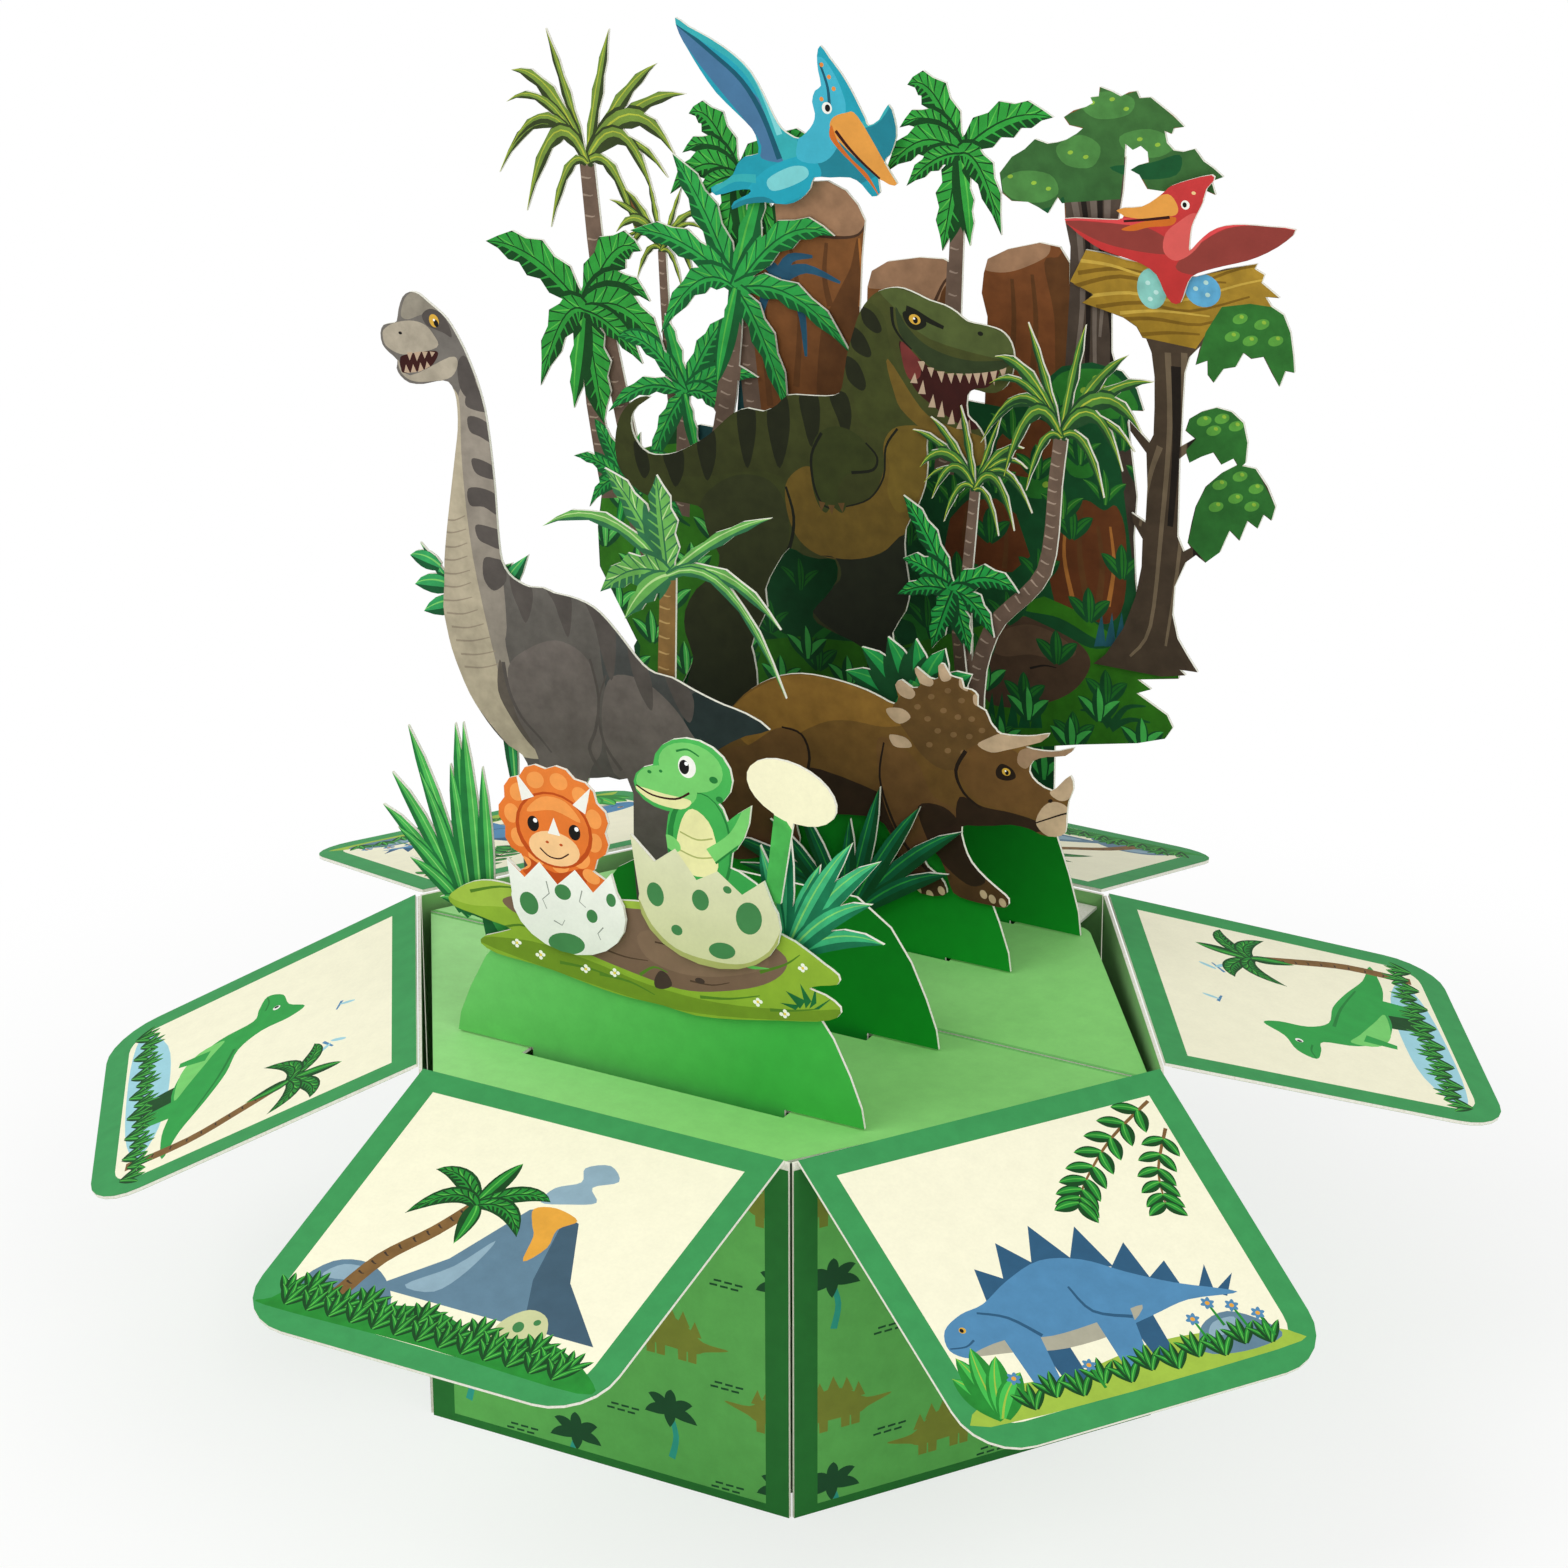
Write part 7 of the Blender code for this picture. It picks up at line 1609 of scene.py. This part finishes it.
@dataclass
class Deck:
    """The creased deck, with its rests, tabs and the base, which stay bare paper."""

    bare: tuple[str, ...] = ("base_front", "base_rear", "seam_tab", "deck_rest_left", "deck_rest_right",
                             "deck_front_tab", "base_front_tab")

    def build(self, book: InkBook) -> None:
        """Print the deck and leave the hidden sheets bare."""
        for node in ("deck_front", "deck_rear"):
            edge = sheet_outline(node, face_plane(node, Lay.UPWARD), Side.FRONT)[0]
            low = min(y for _, y in edge)
            high = max(y for _, y in edge)
            fold = high if node == "deck_front" else low
            art = Artwork()
            # The crease is pressed 0.4 mm wide, and the darker green stroke along it is painted shade, where
            # the fold lies in shade
            art.stroke(DECK_CREASE_SHADE, [(-60.0, fold), (60.0, fold)], 1.1)
            PrintedSheet(node, Lay.UPWARD, DECK_GREEN_LIT_LEFT, art, LINING_GREEN, Artwork()).build(book, CORE)
        for node in self.bare:
            frame["nodes"][node].data.materials.clear()
            frame["nodes"][node].data.materials.append(book.take(CORE))
            LOG.info("left %s bare", node)


@dataclass
class Hills:
    """The four green hills that carry the figures."""

    inks: tuple[PrintedBoard, ...] = (HILL_LIGHT, HILL_DARK, HILL_DARK, HILL_DARK)

    def build(self, book: InkBook) -> None:
        """Print the hills in inks that run from light to dark."""
        for number, ink in enumerate(self.inks, 1):
            standing(book, f"hill_{number}", ink)


@dataclass
class HatchlingGroup:
    """The first hill's meadow, two hatchlings in their eggs, the bubble and the grass."""

    def build(self, book: InkBook) -> None:
        """Print the group."""
        standing(book, "meadow", MEADOW, drawn(MEADOW_MARKS))
        standing(book, "horned_hatchling", ORANGE, self.horned())
        standing(book, "green_hatchling", YOUNG_GREEN, self.green())
        bubble = drawn((
            (FILL, GRASS_LIT, (130, 270, 140, 0, 0, 130, -140, 0)),
            (FILL, BUBBLE_CREAM, (184, 400, 22, -28, 16, 28)),
            (OVAL, BUBBLE_CREAM, (199, 427), 12.6, 7.8, -14),
        ))
        standing(book, "bubble", BUBBLE_CREAM, bubble)
        grass = LeafInks(GRASS_DEEP, GRASS_LIT, GRASS_RIB)
        standing(book, "grass_left", GRASS_DEEP, tuft(TALL_GRASS_SHARES, (-40.1, 9.0), (23.1, 33.2), grass))
        reeds = LeafInks(REED_DEEP, REED_LIT, GRASS_RIB)
        standing(book, "grass_right", REED_DEEP, tuft(SHORT_GRASS_SHARES, (14.8, 10.5), (17.1, 29.5), reeds))

    def shell(self, art: Artwork, ink: PrintedBoard, rim: Loop) -> None:
        """Draw the lower shell of an egg, which is all the sheet below its broken rim."""
        left = rim[0][0] - 5.0
        right = rim[-1][0] + 5.0
        art.fill(ink, [(left, rim[0][1]), *rim[1:-1], (right, rim[-1][1]), (right, 0.0), (left, 0.0)])

    def horned(self) -> Artwork:
        """Draw the young frilled dinosaur in its spotted egg."""
        art = Artwork()
        for step in range(11):
            angle = math.tau * (step + 0.5) / 11
            art.oval(ORANGE_LIT, (-13.33 + 6.1 * math.cos(angle), 32.29 + 5.7 * math.sin(angle)), 2.6, 2.2,
                     math.degrees(angle) + 90)
        rim = [(-21.47 + x / 100 * 18.5, 14.69 + y / 100 * 25.5) for x, y in HORNED_EGG_RIM_SHARES]
        art.add(drawn((
            (OVAL, ORANGE_DEEP, (-133, 312), 11.2, 10.2),
            (OVAL, ORANGE, (-133, 314), 10.2, 9.2),
            (BLOB, ORANGE_LIT, (-172, 330, 22, 24, 34, 0, 22, -24, -39, 9)),
            (OVAL, MUZZLE_CREAM, (-133, 287), 7.4, 4.6),
            (FILL, EYE_WHITE, (-179, 343, 18, 9, -26, 28), (-105, 352, 18, -9, 8, 37), (-142, 306, 18, 0, -9,
             23)),
            (OVAL, PUPIL, (-163, 315), (-103, 315), 1.7, 2.1),
            (OVAL, EYE_GLINT, (-160, 320), (-100, 320), 0.6, 0.6),
            (OVAL, ORANGE_DEEP, (-143, 294), (-123, 294), 0.5, 0.35),
            (STROKE, MOUTH_RED, (-154, 284, 11, -8, 10, -2, 10, 2, 11, 8), 0.2, 0.2),
            (BLOB, ORANGE_DEEP, (-176, 268, 43, -14, 43, 14, -6, -28, -76, 0)),
            (OVAL, ORANGE_LIT, (-180, 258), 2.6, 1.8, 20),
            (OVAL, ORANGE_LIT, (-80, 260), 2.6, 1.8, -20),
        )))
        self.shell(art, SHELL_WHITE, rim)
        art.add(drawn((
            (OVAL, SHELL_SPOT, (-172, 204), 2.7, 3.1, 20),
            (OVAL, SHELL_SPOT, (-122, 230), 2.4, 2.1),
            (OVAL, SHELL_SPOT, (-80, 206), 1.6, 1.8),
            (OVAL, SHELL_SPOT, (-118, 160), 5.4, 2.9, 8),
            (OVAL, SHELL_SPOT, (-52, 234), 1.4, 1.8),
            (STROKE, SHELL_CRACK, (-146, 240, 4, -16, -10, -10, 6, -12), (-94, 238, -4, -16, 9, -6),
             (-64, 194, -8, -10, 4, -8), (-136, 188, 12, -4, 4, 8), 0.18, 0.1, 1),
        )))
        return art

    def green(self) -> Artwork:
        """Draw the young green dinosaur, waving from its spotted egg."""
        art = drawn((
            (OVAL, YOUNG_DEEP, (76, 334), 9.2, 14.4),
            (OVAL, YOUNG_GREEN, (78, 336), 8, 13.6),
            (BLOB, YOUNG_BELLY, (44, 300, 4, 56, 18, 26, 28, -22, 4, -60)),
            (STROKE, SHELL_SHADE, (46, 324, 26, -6, 26, 6), (48, 348, 24, -6, 22, 6), 0.2, 0.2),
            (OVAL, YOUNG_LIT, (64, 436), 9, 6.4),
            (OVAL, YOUNG_LIT, (30, 404), 8.6, 5.4),
            (BLOB, YOUNG_BELLY, (-14, 396, 24, -16, 40, -2, 14, 14, -38, 2)),
            (STROKE, MOUTH_RED, (-13, 398, 23, -9, 32, 1, 20, 12), 0.22, 0.3),
            (OVAL, EYE_WHITE, (59, 436), 2.5, 2.9),
            (OVAL, PUPIL, (55, 435), 1.4, 1.9),
            (OVAL, EYE_GLINT, (58, 440), 0.5, 0.5),
            (STROKE, YOUNG_DEEP, (44, 454, 16, 5, 16, -6), 0.3, 0.2),
            (OVAL, YOUNG_DEEP, (6, 419), 0.6, 0.45),
            (OVAL, YOUNG_DEEP, (22, 423), 0.5, 0.4),
            (OVAL, YOUNG_DEEP, (96, 426), 1.2, 0.9),
            (OVAL, YOUNG_DEEP, (104, 402), 1, 0.8),
            (STROKE, YOUNG_LIT, (92, 324, 34, 32, 21, 46), 2.2, 1.4),
            (STROKE, YOUNG_DEEP, (98, 316, 32, 30), 0.3, 0.2),
            (OVAL, YOUNG_LIT, (36, 330), 2.8, 1.8, -30),
        ))
        rim = [(-2.3 + x / 100 * 21.3, 17.38 + y / 100 * 30.0) for x, y in GREEN_EGG_RIM_SHARES]
        self.shell(art, SHELL_CREAM, rim)
        art.add(drawn((
            (BLOB, SHELL_SHADE, (-12, 244, 18, -30, 34, -25, 48, -6, 48, 6, 36, 25, 20, 36, -8, -60, -94, -26,
             -90, 22)),
            (OVAL, SHELL_SPOT, (12, 256), 2.4, 3.2, 10),
            (OVAL, SHELL_SPOT, (76, 262), 2.4, 2.8),
            (OVAL, SHELL_SPOT, (144, 252), 3.6, 4.4, -15),
            (OVAL, SHELL_SPOT, (106, 200), 3.8, 2.2, 10),
            (OVAL, SHELL_SPOT, (42, 214), 1.6, 1.4),
            (OVAL, SHELL_SPOT, (114, 284), 1.2, 1),
        )))
        return art


@dataclass
class SauropodGroup:
    """The second hill's long-necked dinosaur, leafy stems and pale palm."""

    crown: Point = (-12.62, 55.81)
    reach: float = 15.5

    def build(self, book: InkBook) -> None:
        """Print the group."""
        standing(book, "sauropod", SAUROPOD, drawn(SAUROPOD_MARKS))
        stems = LeafInks(STEM_DEEP, STEM_LIT, GRASS_RIB)
        standing(book, "leafy_stems", STEM_DEEP, tuft(LEAFY_STEMS_SHARES, (-52.9, 19.5), (19.8, 36.6), stems))
        art = Artwork()
        Palm(((-11.07, 6.81), (-12.93, 23.96), (-13.09, 41.11), self.crown), self.reach, FERN_CROWN_SHARES,
             LeafInks(FROND_PALE_DEEP, FROND_PALE, FROND_PALE_RIB), BARK_TAN, BARK_TAN_RING).paint(art)
        standing(book, "fern_palm", FROND_PALE_DEEP, art)


@dataclass
class HornedGroup:
    """The third hill's three-horned dinosaur, dark grass and fern bank."""

    def build(self, book: InkBook) -> None:
        """Print the group."""
        standing(book, "horned_dinosaur", HORNED, drawn(HORNED_DINOSAUR_MARKS))
        dark = LeafInks(GRASS_DARK, REED_DEEP, GRASS_LIT)
        standing(book, "dark_grass", GRASS_DARK, tuft(DARK_GRASS_SHARES, (-17.3, 2.9), (35.7, 19.4), dark))
        fern = LeafInks(GLOOM_GREEN, FERN_LIT, GRASS_LIT)
        standing(book, "fern_bank", GLOOM_GREEN, tuft(FERN_BANK_SHARES, (0.0, 9.0), (18.5, 34.2), fern))


@dataclass
class TyrantGroup:
    """The fourth hill's two-legged dinosaur, the pair of palms and the star-shaped palm."""

    def build(self, book: InkBook) -> None:
        """Print the group."""
        standing(book, "tyrant_dinosaur", TYRANT_OLIVE_AND_SHADE, drawn(TYRANT_DINOSAUR_MARKS))
        near = LeafInks(FROND_NEAR_DEEP, FROND_NEAR, FROND_YELLOW)
        art = Artwork()
        Palm(((11.94, 30.46), (11.94, 38.86), (11.64, 46.06), (12.24, 53.26), (12.84, 60.46)), 9.0,
             ARCHING_CROWN_SHARES, near, BARK_GREY, BARK_RING, True).paint(art)
        Palm(((13.45, 15.61), (13.45, 31.81), (14.42, 38.29), (16.69, 43.26), (20.47, 47.2), (23.06, 50.98),
              (24.03, 56.65), (24.36, 63.13), (25.06, 69.61)), 12.5, ARCHING_CROWN_SHARES, near, BARK_GREY,
             BARK_RING).paint(art)
        standing(book, "palm_pair", FROND_NEAR_DEEP, art)
        star = Artwork()
        Palm(((11.71, 18.11), (11.71, 32.67), (10.87, 40.51), (10.03, 46.11)), 9.5, STAR_CROWN_SHARES,
             LeafInks(FROND_STAR_DEEP, FROND_STAR, FROND_GREEN_RIB), BARK_DARK, BARK_LIGHT).paint(star)
        standing(book, "star_palm", FROND_STAR_DEEP, star)


# Steps by the golden ratio spread tufts evenly over a width without rows
GOLDEN_STEP = 0.618


@dataclass
class RearJungle:
    """The board of cliffs and palms, the palm grove and the nest tree before the back wall."""

    def build(self, book: InkBook) -> None:
        """Print the three sheets."""
        board = Artwork()
        board.panel(GLOOM_GREEN, -62.0, -10.0, 46.0, 32.0)
        board.add(drawn(JUNGLE_BOARD_MARKS))
        self.thicket(board, 44, (-50.0, 33.0), (16.0, 54.0), LeafInks(GLOOM_GREEN, BUSH, GLOOM_GREEN))
        self.thicket(board, 16, (-8.0, 34.0), (52.0, 68.0), LeafInks(GLOOM_GREEN, BUSH, TREE_LEAF_LIT))
        self.thicket(board, 22, (-36.0, 36.0), (14.0, 28.0), LeafInks(GLOOM_GREEN, GRASS_LIT, GRASS_LIT))
        arching = LeafInks(FROND_OLIVE_DEEP, FROND_OLIVE, FROND_YELLOW)
        banana = LeafInks(FROND_BANANA_DEEP, FROND_BANANA, FROND_GREEN_RIB)
        self.palms(board, (
            ((-53.1, 92.34), (-45.0, 44.65), 15.3, ARCHING_CROWN_SHARES, arching, False),
            ((-41.49, 81.7), (-38.7, 47.5), 8.01, ARCHING_CROWN_SHARES, arching, True),
            ((-29.79, 93.67), (-27.0, 57.0), 11.52, BROAD_CROWN_SHARES, FRESH_FROND, True),
            ((3.51, 101.18), (1.8, 57.0), 12.24, BROAD_CROWN_SHARES, FRESH_FROND, True)))
        standing(book, "jungle_board", CLIFF, board)
        grove = drawn(PALM_GROVE_MARKS)
        self.thicket(grove, 16, (-53.0, -30.0), (18.0, 48.0), LeafInks(GLOOM_GREEN, GRASS_LIT, GRASS_RIB))
        self.palms(grove, (
            ((-53.5, 71.7), (-49.8, 44.95), 14.49, BROAD_CROWN_SHARES, FRESH_FROND, False),
            ((-37.79, 62.1), (-38.46, 44.31), 10.79, LONG_CROWN_SHARES, banana, True),
            ((-29.51, 78.29), (-33.84, 48.15), 15.41, LONG_CROWN_SHARES, banana, False),
            ((-47.2, 47.19), (-43.08, 35.35), 7.98, LONG_CROWN_SHARES, banana, False)))
        standing(book, "palm_grove", FROND_GREEN_DEEP, grove)
        standing(book, "nest_tree", BARK_DARK, drawn(NEST_TREE_MARKS))

    def thicket(self, art: Artwork, count: int, across: Point, up: Point, leaves: LeafInks) -> None:
        """Scatter tufts of three leaves evenly over a region.

        Args:
            art: The artwork that takes them.
            count: How many tufts.
            across: The region's left and right ends, in millimetres.
            up: Its bottom and top.
            leaves: The leaves' inks.
        """
        for number in range(count):
            x = across[0] + (across[1] - across[0]) * (number * GOLDEN_STEP % 1.0)
            y = up[1] - (up[1] - up[0]) * (number + 0.5) / count
            for lean, height in ((-3.2, 3.0), (3.0, 3.4), (-0.3, 4.8)):
                Leaf((x, y), (x + lean, y + height), 0.7, 1.5, leaves).paint(art)

    def palms(self, art: Artwork, rows: Iterable[tuple]) -> None:
        """Draw palms from rows of crown place, foot, reach, crown, inks and whether it is mirrored."""
        for top, foot, reach, crown, leaves, mirrored in rows:
            middle = ((foot[0] + 2 * top[0]) / 3, (foot[1] + top[1]) / 2)
            Palm((foot, middle, top), reach, crown, leaves, BARK_GREY, BARK_RING, mirrored).paint(art)


@dataclass
class Flyers:
    """The two flying reptiles."""

    def build(self, book: InkBook) -> None:
        """Print both flyers."""
        standing(book, "crested_flyer", FLYER, drawn(CRESTED_FLYER_MARKS))
        standing(book, "nest_flyer", RED_FLYER, drawn(NEST_FLYER_MARKS))


@dataclass
class Studio:
    """The pale floor, the soft lamps and the camera at the photograph's angle.

    Lengths are in millimetres and angles in degrees.
    """

    azimuth: float = 28.78
    elevation: float = 23.10
    distance: float = 582.2
    target: tuple[float, float, float] = (11.7, -19.0, 87.3)
    roll: float = -0.153
    lens: float = 108.0
    floor_size: float = 4000.0
    softbox_size: float = 420.0
    key_place: tuple[float, float, float] = (-350.0, -420.0, 620.0)
    fill_place: tuple[float, float, float] = (520.0, -300.0, 420.0)
    shadow_reach: tuple[float, float] = (90.0, 190.0)
    floor_lift: float = 0.72
    key_power: float = 1.95
    fill_power: float = 1.1
    sky: float = 0.72

    def build(self) -> None:
        """Make the floor, the world, the lamps and the camera."""
        self.build_floor()
        self.build_world()
        self.build_lamp("key_softbox", self.key_place, self.key_power)
        self.build_lamp("fill_softbox", self.fill_place, self.fill_power)
        self.build_camera()
        LOG.info("studio: floor, world, two softboxes and the camera")

    def build_floor(self) -> None:
        """Make the plain pale floor, which keeps the object's shadow."""
        half = self.floor_size / 2 * MM
        mesh = bpy.data.meshes.new("studio_floor")
        mesh.from_pydata([(-half, -half, 0.0), (half, -half, 0.0), (half, half, 0.0), (-half, half, 0.0)], [],
                         [(0, 1, 2, 3)])
        floor = bpy.data.objects.new("studio_floor", mesh)
        bpy.context.scene.collection.objects.link(floor)
        mesh.materials.append(self.sweep_material())

    def sweep_material(self) -> bpy.types.Material:
        """Make the floor's matt white, which the camera sees lifted to white away from the object.

        Returns:
            A diffuse white that keeps its shadow near the object, and a plain white beyond it.
        """
        material, tree, paper = new_surface("matt_white_sweep")
        paper.inputs["Base Color"].default_value = linear("#F4F4F3")
        paper.inputs["Roughness"].default_value = 0.9
        paper.inputs["Specular IOR Level"].default_value = 0.1
        seen = self.seen_rays(tree)
        white = add_node(tree, "ShaderNodeEmission", {"Color": (1.0, 1.0, 1.0, 1.0), "Strength": 1.0})
        place = add_node(tree, "ShaderNodeTexCoord").outputs["Object"]
        away = add_node(tree, "ShaderNodeVectorMath", {0: place}, operation="LENGTH")
        lift = add_node(tree, "ShaderNodeMapRange", {
            "Value": away.outputs["Value"], "From Min": self.shadow_reach[0] * MM,
            "From Max": self.shadow_reach[1] * MM, "To Min": self.floor_lift, "To Max": 1.0},
            interpolation_type="SMOOTHSTEP")
        amount = add_node(tree, "ShaderNodeMath", {0: lift.outputs["Result"], 1: seen}, operation="MULTIPLY")
        mix = add_node(tree, "ShaderNodeMixShader", {
            0: amount.outputs[0], 1: paper.outputs[0], 2: white.outputs[0]})
        tree.links.new(mix.outputs[0], tree.nodes["Material Output"].inputs["Surface"])
        return material

    def seen_rays(self, tree: bpy.types.NodeTree) -> bpy.types.NodeSocket:
        """Give one for the rays that show the background: camera, glossy and transmission rays."""
        path = add_node(tree, "ShaderNodeLightPath")
        seen = add_node(tree, "ShaderNodeMath", {
            0: path.outputs["Is Camera Ray"], 1: path.outputs["Is Glossy Ray"]}, operation="MAXIMUM")
        return add_node(tree, "ShaderNodeMath", {
            0: seen.outputs[0], 1: path.outputs["Is Transmission Ray"]}, operation="MAXIMUM").outputs[0]

    def build_world(self) -> None:
        """Light the object softly from all round, before a white background."""
        world = bpy.data.worlds.new("studio_world")
        bpy.context.scene.world = world
        world.use_nodes = True
        tree = world.node_tree
        tree.nodes.clear()
        soft = add_node(tree, "ShaderNodeBackground", {"Color": (1.0, 1.0, 1.0, 1.0), "Strength": self.sky})
        white = add_node(tree, "ShaderNodeBackground", {"Color": (1.0, 1.0, 1.0, 1.0), "Strength": 1.0})
        mix = add_node(tree, "ShaderNodeMixShader", {
            0: self.seen_rays(tree), 1: soft.outputs[0], 2: white.outputs[0]})
        add_node(tree, "ShaderNodeOutputWorld", {"Surface": mix.outputs[0]})

    def build_lamp(self, name: str, place: tuple[float, float, float], power: float) -> None:
        """Hang one square softbox that faces the object.

        Args:
            name: Its name.
            place: Its middle, in millimetres.
            power: Its power in watts.
        """
        lamp = bpy.data.lights.new(name, "AREA")
        lamp.shape = "SQUARE"
        lamp.size = self.softbox_size * MM
        lamp.energy = power
        hung = bpy.data.objects.new(name, lamp)
        hung.location = Vector(place) * MM
        aim = Vector(self.target) * MM - hung.location
        hung.rotation_euler = aim.to_track_quat("-Z", "Y").to_euler()
        bpy.context.scene.collection.objects.link(hung)

    def build_camera(self) -> None:
        """Set the camera where the photograph was taken from."""
        lens = bpy.data.cameras.new("photo_camera")
        lens.lens = self.lens
        lens.sensor_width = 36.0
        lens.clip_start = 0.01
        lens.clip_end = 20.0
        camera = bpy.data.objects.new("photo_camera", lens)
        turn = math.radians(self.azimuth)
        rise = math.radians(self.elevation)
        back = Vector((math.sin(turn) * math.cos(rise), -math.cos(turn) * math.cos(rise), math.sin(rise)))
        camera.location = (Vector(self.target) + back * self.distance) * MM
        rotation = (-back).to_track_quat("-Z", "Y").to_matrix()
        rolled = rotation @ Matrix.Rotation(math.radians(self.roll), 3, "Z")
        camera.rotation_euler = rolled.to_euler()
        bpy.context.scene.collection.objects.link(camera)
        bpy.context.scene.camera = camera


def main() -> None:
    """Dress every piece of the card and set up the studio."""
    logging.basicConfig(level=logging.INFO, format="%(message)s")
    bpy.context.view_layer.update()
    book = InkBook()
    for assembly in (BoxWalls(), RimFlaps(), Deck(), Hills(), HatchlingGroup(), SauropodGroup(),
                     HornedGroup(), TyrantGroup(), RearJungle(), Flyers()):
        assembly.build(book)
    Studio().build()
    bpy.context.scene.view_settings.view_transform = "Standard"
    bpy.context.view_layer.update()


if __name__ == "__main__":
    main()
